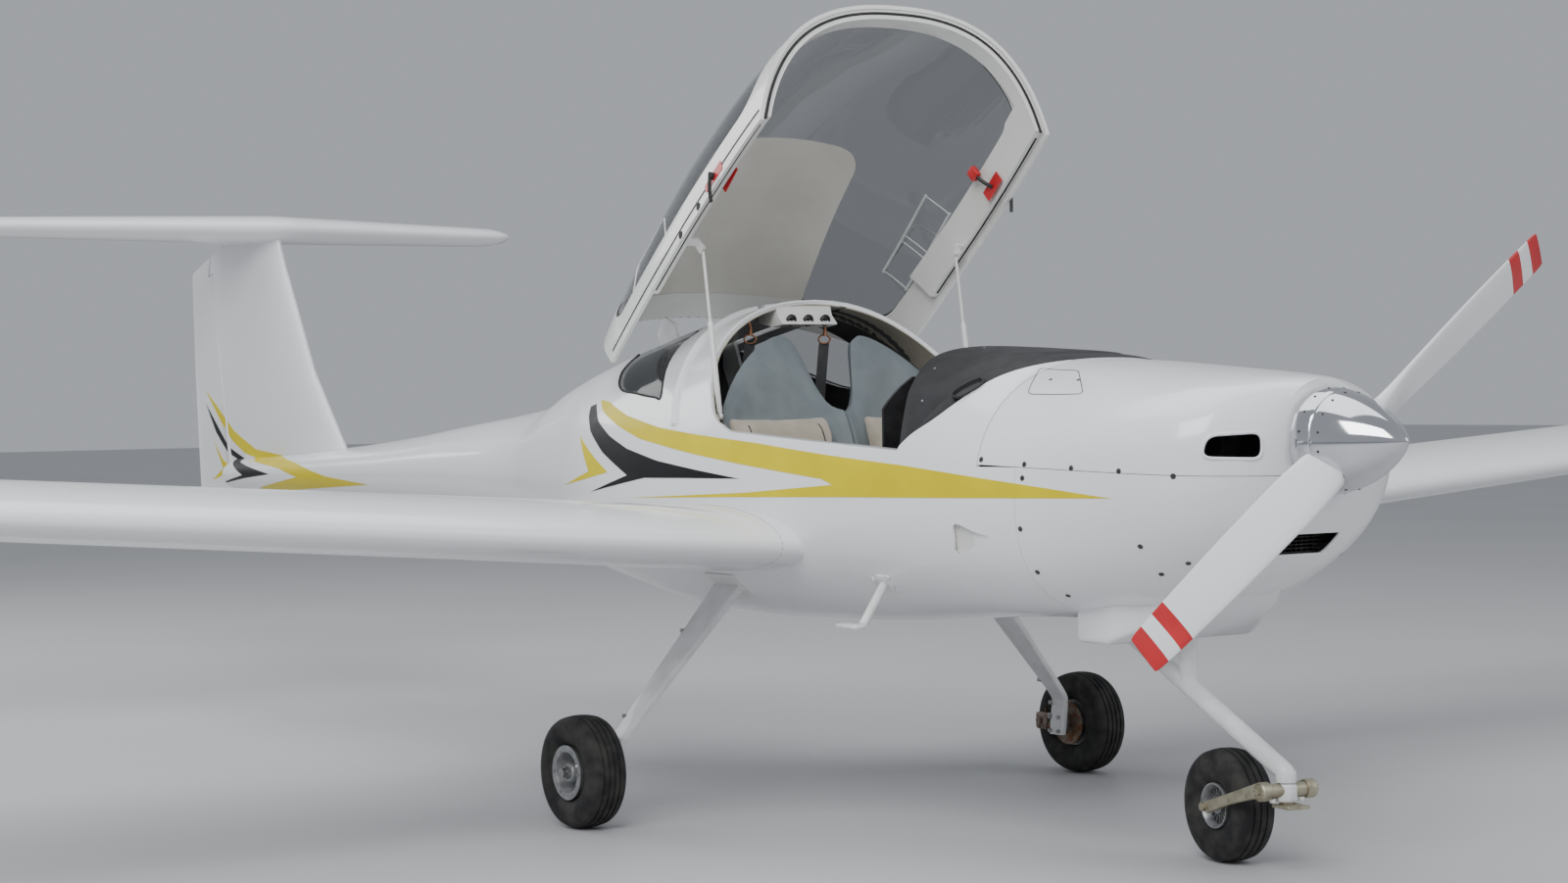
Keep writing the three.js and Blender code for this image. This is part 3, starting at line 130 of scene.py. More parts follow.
# A grid whose rows are wrapped round as the rings of a closed body.
def wrappedGrid(name, rings, capped=True):
    around, rows = len(rings[0]), len(rings)
    deselectAll()
    bpy.ops.mesh.primitive_grid_add(x_subdivisions=around, y_subdivisions=rows - 1, size=1)
    obj = named(name)
    flat = []
    for ring in rings:
        for i in range(around + 1):
            flat.extend(ring[i % around])
    obj.data.vertices.foreach_set("co", flat)
    edit(obj)
    bpy.ops.mesh.remove_doubles(threshold=1e-6)
    if capped:
        bpy.ops.mesh.fill_holes(sides=0)
    bpy.ops.mesh.normals_make_consistent(inside=False)
    leaveEdit()
    return obj


# A closed round pipe along a path: its rings stay square to the path.
def pipe(name, path, radius, sides=24):
    line = [Vector(point) for point in path]
    rings, side = [], None
    for i, point in enumerate(line):
        ahead = (line[min(i + 1, len(line) - 1)] - line[max(i - 1, 0)]).normalized()
        side = ahead.orthogonal() if side is None else side - ahead * side.dot(ahead)
        side.normalize()
        other = ahead.cross(side)
        rings.append([point + (side * math.cos(math.tau * k / sides)
                               + other * math.sin(math.tau * k / sides)) * radius
                      for k in range(sides)])
    return wrappedGrid(name, rings)


# A flat outline, drawn out into a prism along one axis.
def prism(name, outline, axis, low, high):
    deselectAll()
    bpy.ops.mesh.primitive_circle_add(vertices=len(outline), fill_type="NGON")
    obj = named(name)
    for vertex, (a, b) in zip(obj.data.vertices, outline):
        vertex.co = {"X": (low, a, b), "Y": (a, low, b), "Z": (a, b, low)}[axis]
    edit(obj)
    step = {"X": (high - low, 0, 0), "Y": (0, high - low, 0), "Z": (0, 0, high - low)}[axis]
    bpy.ops.mesh.extrude_region_move(TRANSFORM_OT_translate={"value": step})
    bpy.ops.mesh.select_all(action="SELECT")
    bpy.ops.mesh.normals_make_consistent(inside=False)
    leaveEdit()
    return obj


def block(name, x0, x1, y0, y1, z0, z1):
    deselectAll()
    bpy.ops.mesh.primitive_cube_add(size=1, location=((x0 + x1) / 2, (y0 + y1) / 2, (z0 + z1) / 2))
    obj = named(name)
    obj.scale = (abs(x1 - x0), abs(y1 - y0), abs(z1 - z0))
    applyPlace(obj)
    return obj


# A closed profile of (distance along the axis, radius), spun about the axis through centre.
def turned(name, profile, centre, axis, steps=64):
    centre, axis = Vector(centre), Vector(axis).normalized()
    side = axis.orthogonal().normalized()
    deselectAll()
    bpy.ops.mesh.primitive_circle_add(vertices=len(profile), fill_type="NOTHING")
    obj = named(name)
    for vertex, (along, radius) in zip(obj.data.vertices, profile):
        vertex.co = centre + axis * along + side * radius
    edit(obj)
    bpy.ops.mesh.spin(steps=steps, angle=math.tau, center=centre, axis=axis)
    bpy.ops.mesh.select_all(action="SELECT")
    bpy.ops.mesh.remove_doubles(threshold=1e-6)
    bpy.ops.mesh.dissolve_degenerate(threshold=1e-7)
    bpy.ops.mesh.normals_make_consistent(inside=False)
    leaveEdit()
    return obj


def rod(name, start, end, radius, endRadius=None, sides=24):
    start, end = Vector(start), Vector(end)
    length = (end - start).length
    profile = [(0, 0), (0, radius), (length, radius if endRadius is None else endRadius), (length, 0)]
    return turned(name, profile, start, end - start, sides)


# A round tube along a smooth path.
def tube(name, points, radius, sides=3, smooth=True):
    deselectAll()
    curve = bpy.data.curves.new(name, "CURVE")
    curve.dimensions = "3D"
    curve.bevel_depth = radius
    curve.bevel_resolution = sides
    curve.use_fill_caps = True
    curve.resolution_u = 6
    spline = curve.splines.new("NURBS" if smooth else "POLY")
    spline.points.add(len(points) - 1)
    for point, place in zip(spline.points, points):
        point.co = (*place, 1)
    if smooth:
        spline.order_u = 4
        spline.use_endpoint_u = True
    obj = bpy.data.objects.new(name, curve)
    bpy.context.collection.objects.link(obj)
    pick(obj)
    bpy.ops.object.convert(target="MESH")
    return named(name)


# An outline with each corner turned into a short curve.
def rounded(points, radius, steps=5):
    out = []
    for i, point in enumerate(points):
        corner = Vector(point)
        before = Vector(points[i - 1]) - corner
        after = Vector(points[(i + 1) % len(points)]) - corner
        reach = min(radius, before.length * 0.45, after.length * 0.45)
        a, b = corner + before.normalized() * reach, corner + after.normalized() * reach
        for k in range(steps + 1):
            t = k / steps
            out.append(tuple(a * (1 - t) ** 2 + corner * 2 * t * (1 - t) + b * t * t))
    return out


def smoothLine(points, steps=6, closed=False):
    out = []
    count = len(points)
    spans = count if closed else count - 1
    for i in range(spans):
        p0 = Vector(points[i - 1] if closed or i else points[i])
        p1, p2 = Vector(points[i]), Vector(points[(i + 1) % count])
        p3 = Vector(points[(i + 2) % count] if closed else points[min(i + 2, count - 1)])
        for k in range(steps):
            t = k / steps
            out.append(tuple(0.5 * (2 * p1 + (p2 - p0) * t + (2 * p0 - 5 * p1 + 4 * p2 - p3) * t * t
                                    + (3 * p1 - p0 - 3 * p2 + p3) * t ** 3)))
    if not closed:
        out.append(tuple(points[-1]))
    return out


def ordered(a, b):
    return (a, b) if a < b else (b, a)


def finish(obj, body, material, slot, *replaced, angle=35):
    pick(obj)
    bpy.ops.object.shade_smooth_by_angle(angle=math.radians(angle))
    obj.data.materials.clear()
    obj.data.materials.append(material)
    if replaced:
        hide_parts(*replaced)
    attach(obj, body)
    return obj


# Several parts made one piece on the airframe.
def assemble(name, parts, paint, slot, *replaced, body="airframe", angle=35):
    return finish(join(name, parts), body, paints[paint], slot, *replaced, angle=angle)


# The two sides of the aircraft, as the sign of y and the word in the names.
sides = ((-1, "Right"), (1, "Left"))

# Materials, all from Blender's own noise and waves on Object coordinates.

def noiseOn(tree, coord, scale, detail=3, stretch=None):
    source = coord.outputs["Object"]
    if stretch:
        mapping = tree.nodes.new("ShaderNodeMapping")
        mapping.inputs["Scale"].default_value = stretch
        tree.links.new(source, mapping.inputs["Vector"])
        source = mapping.outputs["Vector"]
    noise = tree.nodes.new("ShaderNodeTexNoise")
    noise.inputs["Scale"].default_value = scale
    noise.inputs["Detail"].default_value = detail
    tree.links.new(source, noise.inputs["Vector"])
    return noise.outputs["Fac"]


def makeMaterial(name, look):
    material = bpy.data.materials.new(name)
    material.use_nodes = True
    tree = material.node_tree
    shader = tree.nodes["Principled BSDF"]
    coord = tree.nodes.new("ShaderNodeTexCoord")
    ramp = tree.nodes.new("ShaderNodeValToRGB")
    ramp.color_ramp.elements[0].position, ramp.color_ramp.elements[1].position = look.get("span",
                                                                                          (0.35, 0.65))
    ramp.color_ramp.elements[0].color = (*look["colour"], 1)
    ramp.color_ramp.elements[1].color = (*look.get("second", look["colour"]), 1)
    stretch = look.get("stretch")
    tree.links.new(noiseOn(tree, coord, look.get("mottle", 3), 4, stretch), ramp.inputs["Fac"])
    tree.links.new(ramp.outputs["Color"], shader.inputs["Base Color"])
    low, high = look["rough"]
    span = tree.nodes.new("ShaderNodeMapRange")
    span.inputs["To Min"].default_value, span.inputs["To Max"].default_value = low, high
    tree.links.new(noiseOn(tree, coord, look.get("sheenScale", 14), 5, stretch), span.inputs["Value"])
    tree.links.new(span.outputs["Result"], shader.inputs["Roughness"])
    if look.get("grain"):
        bump = tree.nodes.new("ShaderNodeBump")
        bump.inputs["Strength"].default_value = look.get("grainStrength", 0.3)
        bump.inputs["Distance"].default_value = look.get("grainDepth", 0.0004)
        tree.links.new(noiseOn(tree, coord, look["grain"], 2, stretch), bump.inputs["Height"])
        tree.links.new(bump.outputs["Normal"], shader.inputs["Normal"])
    shader.inputs["Metallic"].default_value = look.get("metallic", 0)
    shader.inputs["Coat Weight"].default_value = look.get("coat", 0)
    shader.inputs["Coat Roughness"].default_value = 0.06
    shader.inputs["Sheen Weight"].default_value = look.get("sheen", 0)
    shader.inputs["Specular IOR Level"].default_value = look.get("specular", 0.5)
    shader.inputs["Transmission Weight"].default_value = look.get("clear", 0)
    shader.inputs["IOR"].default_value = look.get("ior", 1.45)
    if look.get("alpha"):
        shader.inputs["Alpha"].default_value = look["alpha"]
    return material


# Woven cloth: two sets of fine waves across each other give the threads.
def makeCloth(name, look):
    material = makeMaterial(name, look)
    tree = material.node_tree
    shader = tree.nodes["Principled BSDF"]
    coord = tree.nodes.new("ShaderNodeTexCoord")
    waves = []
    for direction in ("X", "Y"):
        wave = tree.nodes.new("ShaderNodeTexWave")
        wave.bands_direction = direction
        wave.inputs["Scale"].default_value = look["thread"]
        wave.inputs["Distortion"].default_value = 1.2
        tree.links.new(coord.outputs["Object"], wave.inputs["Vector"])
        waves.append(wave.outputs["Fac"])
    both = tree.nodes.new("ShaderNodeMath")
    both.operation = "MULTIPLY"
    tree.links.new(waves[0], both.inputs[0])
    tree.links.new(waves[1], both.inputs[1])
    bump = tree.nodes.new("ShaderNodeBump")
    bump.inputs["Strength"].default_value = 0.5
    bump.inputs["Distance"].default_value = 0.0006
    tree.links.new(both.outputs["Value"], bump.inputs["Height"])
    tree.links.new(bump.outputs["Normal"], shader.inputs["Normal"])
    return material


finishes = {
    "whitePaint": {"colour": (0.87, 0.88, 0.90), "second": (0.84, 0.85, 0.87), "mottle": 2.2,
                   "rough": (0.2, 0.3),
                   "grain": 190, "grainStrength": 0.05, "grainDepth": 0.0006, "coat": 0.6},
    "framePaint": {"colour": (0.80, 0.80, 0.78), "second": (0.74, 0.74, 0.71), "mottle": 5,
                   "rough": (0.24, 0.36),
                   "grain": 220, "grainStrength": 0.06, "coat": 0.45},
    "legPaint": {"colour": (0.8, 0.81, 0.82), "second": (0.7, 0.7, 0.69), "mottle": 16, "rough": (0.28, 0.42),
                 "grain": 240, "grainStrength": 0.1, "coat": 0.3},
    "yellowFilm": {"colour": (0.70, 0.58, 0.0), "second": (0.64, 0.52, 0.0), "mottle": 6,
                   "rough": (0.38, 0.5),
                   "grain": 300, "grainStrength": 0.04, "coat": 0.08, "specular": 0.3},
    "blackFilm": {"colour": (0.004, 0.004, 0.005), "second": (0.008, 0.008, 0.010), "mottle": 6,
                  "rough": (0.4, 0.52), "grain": 300, "grainStrength": 0.04, "coat": 0.05, "specular": 0.25},
    "redFilm": {"colour": (0.6, 0.025, 0.03), "second": (0.5, 0.02, 0.025), "mottle": 12,
                "rough": (0.3, 0.42),
                "grain": 300, "grainStrength": 0.05, "coat": 0.2},
    "polished": {"colour": (0.72, 0.73, 0.75), "second": (0.62, 0.63, 0.66), "mottle": 5,
                 "rough": (0.04, 0.12),
                 "metallic": 1, "grain": 700, "grainStrength": 0.03},
    "steel": {"colour": (0.42, 0.42, 0.42), "second": (0.3, 0.29, 0.28), "mottle": 40, "rough": (0.3, 0.5),
              "metallic": 1, "grain": 500, "grainStrength": 0.15},
    "rustySteel": {"colour": (0.3, 0.27, 0.24), "second": (0.22, 0.1, 0.04), "mottle": 45,
                   "rough": (0.45, 0.8),
                   "metallic": 0.7, "grain": 420, "grainStrength": 0.35},
    "wheelAlloy": {"colour": (0.4, 0.41, 0.42), "second": (0.25, 0.25, 0.25), "mottle": 28,
                   "rough": (0.38, 0.6),
                   "metallic": 0.8, "grain": 380, "grainStrength": 0.25},
    "forkAlloy": {"colour": (0.5, 0.47, 0.36), "second": (0.36, 0.33, 0.24), "mottle": 26,
                  "rough": (0.34, 0.55),
                  "metallic": 0.85, "grain": 420, "grainStrength": 0.22},
    "rubber": {"colour": (0.016, 0.016, 0.017), "second": (0.045, 0.043, 0.04), "mottle": 22,
               "rough": (0.6, 0.85),
               "grain": 520, "grainStrength": 0.4, "grainDepth": 0.0005, "specular": 0.35},
    "blackVinyl": {"colour": (0.012, 0.012, 0.014), "second": (0.02, 0.02, 0.023), "mottle": 18,
                   "rough": (0.5, 0.66),
                   "grain": 620, "grainStrength": 0.5, "grainDepth": 0.0005},
    "blackPlastic": {"colour": (0.012, 0.012, 0.013), "second": (0.02, 0.02, 0.021), "mottle": 30,
                     "rough": (0.36, 0.5),
                     "grain": 700, "grainStrength": 0.15},
    "seal": {"colour": (0.014, 0.014, 0.015), "second": (0.03, 0.03, 0.03), "mottle": 40,
             "rough": (0.55, 0.75),
             "grain": 500, "grainStrength": 0.2},
    "seatShell": {"colour": (0.175, 0.205, 0.22), "second": (0.145, 0.172, 0.185), "mottle": 14,
                  "rough": (0.38, 0.55),
                  "grain": 460, "grainStrength": 0.3, "grainDepth": 0.0004},
    # The canopy roof's beige lining, painted lighter than the cabin's other beige lining: painted light on a
    # face that turns down into shade.
    "roofLiningPaintedLight": {"colour": (0.74, 0.72, 0.66), "second": (0.66, 0.64, 0.58), "mottle": 5,
                   "rough": (0.55, 0.75),
                   "grain": 420, "grainStrength": 0.2},
    "beigeLining": {"colour": (0.5, 0.46, 0.38), "second": (0.42, 0.39, 0.32), "mottle": 20,
                    "rough": (0.65, 0.85),
                    "grain": 900, "grainStrength": 0.35, "sheen": 0.2},
    "engineMetal": {"colour": (0.06, 0.06, 0.06), "second": (0.12, 0.11, 0.1), "mottle": 30,
                    "rough": (0.45, 0.7),
                    "metallic": 0.6, "grain": 150, "grainStrength": 0.4},
    "darkLining": {"colour": (0.045, 0.047, 0.05), "second": (0.065, 0.066, 0.07), "mottle": 30,
                   "rough": (0.75, 0.9),
                   "grain": 800, "grainStrength": 0.4, "sheen": 0.15},
    "darkSteel": {"colour": (0.06, 0.06, 0.062), "second": (0.11, 0.11, 0.11), "mottle": 60,
                  "rough": (0.35, 0.5),
                  "metallic": 0.8, "grain": 500, "grainStrength": 0.1},
    "clearPlastic": {"colour": (0.62, 0.63, 0.64), "second": (0.54, 0.55, 0.56), "mottle": 12,
                     "rough": (0.2, 0.35),
                     "grain": 400, "grainStrength": 0.05},
    "copper": {"colour": (0.45, 0.22, 0.12), "second": (0.3, 0.14, 0.08), "mottle": 50, "rough": (0.3, 0.5),
               "metallic": 0.9, "grain": 500, "grainStrength": 0.1},
}
paints = {name: makeMaterial(name, look) for name, look in finishes.items()}
paints["cushionCloth"] = makeCloth("cushionCloth", {
    "colour": (0.46, 0.41, 0.33), "second": (0.38, 0.34, 0.27), "mottle": 14, "rough": (0.75, 0.92),
    "sheen": 0.3,
    "thread": 420})
paints["strapWeb"] = makeCloth("strapWeb", {
    "colour": (0.05, 0.052, 0.055), "second": (0.07, 0.07, 0.075), "mottle": 30, "rough": (0.7, 0.85),
    "sheen": 0.2,
    "thread": 700})


def makeGlass(name, tint, alpha):
    material = makeMaterial(name, {"colour": tint, "rough": (0.015, 0.06), "sheenScale": 5, "coat": 0.5})
    material.node_tree.nodes["Principled BSDF"].inputs["Alpha"].default_value = alpha
    return material


paints["canopyGlass"] = makeGlass("canopyGlass", (0.03, 0.035, 0.045), 0.42)
paints["windowGlass"] = makeGlass("windowGlass", (0.06, 0.065, 0.07), 0.3)
print("materials made")


# Body shape: one smooth form from the spinner to the rudder.

# x, top, bottom, height of the widest line, half width, upper and lower roundness
bodyStations = [
    (3.300, 1.281, 0.961, 1.121, 0.160, 2.0, 2.0), (3.262, 1.286, 0.892, 1.112, 0.252, 2.1, 2.1),
    (3.200, 1.291, 0.826, 1.098, 0.348, 2.3, 2.2), (3.100, 1.300, 0.760, 1.078, 0.408, 2.4, 2.3),
    (2.950, 1.312, 0.688, 1.050, 0.440, 2.4, 2.4), (2.800, 1.324, 0.656, 1.015, 0.462, 2.4, 2.5),
    (2.650, 1.335, 0.640, 0.975, 0.482, 2.4, 2.6), (2.510, 1.343, 0.632, 0.960, 0.502, 2.4, 2.6),
    (2.430, 1.368, 0.628, 0.955, 0.512, 2.4, 2.6), (2.300, 1.424, 0.624, 0.950, 0.530, 2.3, 2.6),
    (2.100, 1.490, 0.610, 0.950, 0.552, 2.25, 2.6), (1.900, 1.532, 0.592, 0.950, 0.566, 2.2, 2.6),
    (1.700, 1.556, 0.578, 0.950, 0.573, 2.2, 2.6), (1.450, 1.566, 0.570, 0.950, 0.575, 2.2, 2.6),
    (1.200, 1.556, 0.562, 0.950, 0.572, 2.2, 2.5), (0.960, 1.528, 0.564, 0.950, 0.560, 2.2, 2.4),
    (0.700, 1.484, 0.586, 0.955, 0.535, 2.2, 2.3), (0.450, 1.432, 0.616, 0.960, 0.495, 2.2, 2.2),
    (0.200, 1.380, 0.655, 0.965, 0.440, 2.1, 2.2), (0.000, 1.328, 0.692, 0.968, 0.392, 2.1, 2.1),
    (-0.250, 1.238, 0.728, 0.972, 0.336, 2.1, 2.1), (-0.600, 1.192, 0.764, 0.975, 0.285, 2.0, 2.0),
    (-1.000, 1.152, 0.794, 0.975, 0.246, 2.0, 2.0), (-1.500, 1.100, 0.822, 0.965, 0.208, 2.0, 2.0),
    (-2.100, 1.054, 0.845, 0.952, 0.172, 2.0, 2.0), (-2.700, 1.022, 0.862, 0.943, 0.138, 2.0, 2.0),
    (-3.060, 1.004, 0.872, 0.938, 0.112, 2.0, 2.0),
]
bodyShape = {"around": 96, "skin": 0.012, "firewallX": 2.65, "cowlRearX": 2.51, "tailX": -3.06, "noseX": 3.3}


# A station's values between the table's rows, on a smooth curve that doesn't overshoot.
def between(table, x):
    rows = table if table[0][0] < table[-1][0] else table[::-1]
    if x <= rows[0][0]:
        return rows[0]
    if x >= rows[-1][0]:
        return rows[-1]
    i = next(k for k in range(len(rows) - 1) if rows[k + 1][0] >= x)
    a, b = rows[i], rows[i + 1]
    span = b[0] - a[0]
    t = (x - a[0]) / span
    values = []
    for k in range(1, len(a)):
        slope = (b[k] - a[k]) / span
        before = (a[k] - rows[i - 1][k]) / (a[0] - rows[i - 1][0]) if i > 0 else slope
        after = (rows[i + 2][k] - b[k]) / (rows[i + 2][0] - b[0]) if i + 2 < len(rows) else slope
        m0 = 0 if before * slope <= 0 else 2 * before * slope / (before + slope)
        m1 = 0 if after * slope <= 0 else 2 * after * slope / (after + slope)
        values.append((2 * t ** 3 - 3 * t * t + 1) * a[k] + (t ** 3 - 2 * t * t + t) * m0 * span
                      + (3 * t * t - 2 * t ** 3) * b[k] + (t ** 3 - t * t) * m1 * span)
    return (x, *values)


def bodyRing(x, inset, around=None):
    _, top, bottom, wide, half, upper, lower = between(bodyStations, x)
    around = around or bodyShape["around"]
    ring = []
    for i in range(around):
        angle = math.tau * (i + 0.5) / around
        c, s = math.cos(angle), math.sin(angle)
        power = 2 / (upper if s > 0 else lower)
        height = top - inset - wide if s > 0 else wide - bottom - inset
        y = (half - inset) * math.copysign(abs(c) ** power, c)
        ring.append((x, y, wide + height * math.copysign(abs(s) ** power, s)))
    return ring


def bodySideY(x, z, inset=0.0):
    _, top, bottom, wide, half, upper, lower = between(bodyStations, x)
    height, power = (top - inset - wide, upper) if z > wide else (wide - bottom - inset, lower)
    share = min(abs(z - wide) / height, 1)
    return (half - inset) * (1 - share ** power) ** (1 / power)


def bodyLoft(name, x0, x1, inset=0.0, step=0.04, around=None):
    count = max(2, round((x1 - x0) / step))
    return wrappedGrid(name, [bodyRing(x0 + (x1 - x0) * i / count, inset, around) for i in range(count + 1)])


# A thin shell of the body between two insets, open at its ends unless the inner form stops short.
def bodyShell(name, x0, x1, outer, inner, ends=0.04, step=0.04, around=None):
    return boolean(bodyLoft(name, x0, x1, outer, step, around),
                   bodyLoft("inner", x0 - ends, x1 + ends, inner, step, around))


def shifted(point, dx, dz):
    return (point[0] + dx, point[1] + dz)


def lineTo(a, b, t):
    return (a[0] + (b[0] - a[0]) * t, a[1] + (b[1] - a[1]) * t)


topZ = 1.9
cabin = {"railRear": (1.150, 1.165), "railFront": (2.200, 1.100), "screenTop": (2.425, 1.400),
         "roofRear": (0.965, 1.570),
         "archLow": (1.373, 1.171),
         "lip": [(1.392, 1.161), (1.352, 1.174), (1.315, 1.202), (1.275, 1.252), (1.225, 1.318),
                 (1.180, 1.380),
                 (1.142, 1.450), (1.115, 1.510), (1.103, 1.550)], "clear": 0.006, "outset": 0.018,
         "windowInnerY": 0.17,
         "window": [(0.985, 1.255), (0.875, 1.40), (0.80, 1.62), (0.43, 1.62), (0.42, 1.43), (0.62, 1.288),
                    (0.80, 1.262), (0.94, 1.25)],
         "slotY": 0.11, "slotHalf": 0.014, "slotX": (0.395, 1.005),
         "strutSweep": [(1.276, 1.218), (1.250, 1.420), (1.420, 1.420), (1.420, 1.218)]}
# The edge between the white side and the black glareshield, in side view.
deckEdge = [(2.212, 1.110), (2.249, 1.143), (2.311, 1.182), (2.360, 1.224), (2.394, 1.262), (2.424, 1.297),
            (2.460, 1.324), (2.505, 1.346)]


def splitZ(x):
    return 1.062 + (1.036 - 1.062) * (x - 2.51) / (3.3 - 2.51)


# The flush cooling inlet in each side: its outline, and a ramp that deepens towards the rear.
flushInlet = {"outline": [(2.422, 0.822), (2.424, 0.864), (2.434, 0.904), (2.500, 0.884), (2.559, 0.868),
                          (2.500, 0.846)], "tip": 2.562, "rear": 2.422, "depth": 0.021,
                          "middle": (2.46, 0.864)}


def flushRing(side, grow, extra, ramp=True):
    ring = []
    for x, z in smoothLine(flushInlet["outline"], 3, closed=True):
        share = (flushInlet["tip"] - x) / (flushInlet["tip"] - flushInlet["rear"])
        depth = flushInlet["depth"] * min(max(share, 0), 1)
        x = flushInlet["middle"][0] + (x - flushInlet["middle"][0]) * grow
        z = flushInlet["middle"][1] + (z - flushInlet["middle"][1]) * grow
        ring.append((x, side * (bodySideY(x, z) - (depth if ramp else 0) - extra), z))
    return ring


def makeFuselage():
    x0, x1 = bodyShape["tailX"], bodyShape["firewallX"]
    hull = boolean(bodyLoft("fuselageSkin", x0, x1), bodyLoft("hollow", -2.3, x1 - bodyShape["skin"],
                                                              bodyShape["skin"]))
    archTop = lineTo(cabin["lip"][-2], cabin["lip"][-1], 8)
    edge = smoothLine(deckEdge, 4)
    outline = [(1.44, 1.146), (1.80, 1.1235), (2.17, 1.1005), (2.2075, 1.098), *edge, (2.514, topZ),
               (archTop[0], topZ), *smoothLine(cabin["lip"], 4)[::-1]]
    boolean(hull, prism("opening", outline, "Y", -0.9, 0.9))
    boolean(hull, block("cowlRoom", bodyShape["cowlRearX"] - 0.0006, 2.8, -0.7, 0.7, splitZ(x1) - 0.0006,
                        topZ))
    for side in (-1, 1):
        boolean(hull, wrappedGrid("wedge", [flushRing(side, 1, -0.02, False), flushRing(side, 1, 0)]))
        boolean(hull, prism("strutSlot", cabin["strutSweep"], "Y", *ordered(side * 0.470, side * 0.502)))
        low, high = ordered(side * cabin["windowInnerY"], side * 0.9)
        boolean(hull, prism("windowHole", smoothLine(cabin["window"], 4, closed=True), "Y", low, high))
        y = side * cabin["slotY"]
        boolean(hull, block("slot", *cabin["slotX"], y - cabin["slotHalf"], y + cabin["slotHalf"], 1.3, topZ))
    return finish(hull, "airframe", paints["whitePaint"], "white_paint", "fuselage")


makeFuselage()
print("fuselage made")


def makeRearWindow(side, label):
    pane = bodyShell(f"rearWindow{label}", 0.2, 1.15, 0.0015, 0.0055)
    outline = smoothLine(cabin["window"], 4, closed=True)
    low, high = ordered(side * (cabin["windowInnerY"] + 0.0005), side * 0.9)
    boolean(pane, prism("windowHole", outline, "Y", low, high), "INTERSECT")
    finish(pane, "airframe", paints["windowGlass"], "tinted_glass", f"rear_window_{label.lower()}")
    # Black seal round the pane, on the skin.
    points = []
    for x, z in outline:
        if z < between(bodyStations, x)[1] - 0.02 and bodySideY(x, z) > cabin["windowInnerY"] + 0.02:
            points.append((x, side * (bodySideY(x, z) + 0.0005), z))
    start = max(range(len(points)), key=lambda i: (Vector(points[i]) - Vector(points[i - 1])).length)
    seal = tube(f"rearWindowSeal{label}", points[start:] + points[:start], 0.0035, 2)
    finish(seal, "airframe", paints["seal"], "black_vinyl")


for side, label in sides:
    makeRearWindow(side, label)


# Cowls.

cowl = {"skin": 0.008, "spinnerHole": 0.116,
        "inlet": [(0.204, 1.079), (0.204, 1.148), (0.330, 1.141), (0.343, 1.084)],
        "chin": [(-0.088, 0.828), (0.088, 0.828), (0.112, 0.888), (-0.112, 0.888)],
        "scoopOuter": [(2.636, 0.585), (2.636, 0.720), (3.060, 0.760), (2.985, 0.690), (2.760, 0.585)],
        "scoopInner": [(2.620, 0.593), (2.620, 0.728), (3.000, 0.740), (2.930, 0.700), (2.757, 0.593)],
        "scoopPlan": [(2.619, 0.263), (2.780, 0.263), (3.080, 0.090), (3.080, -0.090), (2.780, -0.263),
                      (2.619, -0.263)],
        "hollowPlan": [(2.600, 0.254), (2.776, 0.254), (3.060, 0.088), (3.060, -0.088), (2.776, -0.254),
                       (2.600, -0.254)]}


def splitPrism(upper):
    far = topZ if upper else 0.3
    shift = 0.0008 if upper else -0.0008
    outline = [(2.3, splitZ(2.3) + shift), (3.5, splitZ(3.5) + shift), (3.5, far), (2.3, far)]
    return prism("split", outline, "Y", -0.9, 0.9)


def makeCowlShell(name, rearX):
    x1 = bodyShape["noseX"]
    inner = bodyLoft("inner", rearX - 0.1, x1 - cowl["skin"], cowl["skin"], 0.02)
    return boolean(bodyLoft(name, rearX, x1, 0, 0.02), inner)


def makeCowls():
    hole = rod("hole", (3.1, 0, 1.121), (3.4, 0, 1.121), cowl["spinnerHole"], sides=64)
    upper = boolean(makeCowlShell("cowlUpper", bodyShape["cowlRearX"] + 0.0025), splitPrism(True),
                    "INTERSECT")
    boolean(upper, hole, keep=True)
    for side in (-1, 1):
        outline = rounded([(side * y, z) for y, z in cowl["inlet"]], 0.026)
        boolean(upper, prism("inlet", outline, "X", 3.04, 3.4))
    finish(upper, "airframe", paints["whitePaint"], "white_paint", "cowl_upper")

    lower = boolean(makeCowlShell("cowlLower", bodyShape["firewallX"] + 0.002), splitPrism(False),
                    "INTERSECT")
    scoop = prism("scoop", cowl["scoopOuter"], "Y", -0.262, 0.262)
    boolean(scoop, prism("plan", cowl["scoopPlan"], "Z", 0.3, topZ), "INTERSECT")
    bevel(scoop, 0.014, 3)
    hollow = boolean(prism("scoopHollow", cowl["scoopInner"], "Y", -0.3, 0.3),
                     prism("plan", cowl["hollowPlan"], "Z", 0.3, topZ), "INTERSECT")
    boolean(scoop, hollow, keep=True)
    boolean(scoop, bodyLoft("scoopRoom", 2.5, 3.3, 0.004, 0.02))
    boolean(lower, scoop, "UNION")
    boolean(lower, hollow)
    boolean(lower, hole)
    boolean(lower, prism("chin", rounded(cowl["chin"], 0.016), "X", 3.05, 3.4))
    boolean(lower, rod("strutHole", (2.791, 0, 0.5), (2.791, 0, 0.9), 0.032))
    finish(lower, "airframe", paints["whitePaint"], "white_paint", "cowl_lower")


makeCowls()
print("cowls made")


# Spinner and propeller.

spinner = {"baseX": 3.314, "radius": 0.138, "tipX": 3.58, "axisZ": 1.121, "bladeX": 3.392, "steps": 40}


def spinnerRadius(t):
    return spinner["radius"] * (1 - t ** 1.75) ** 0.82


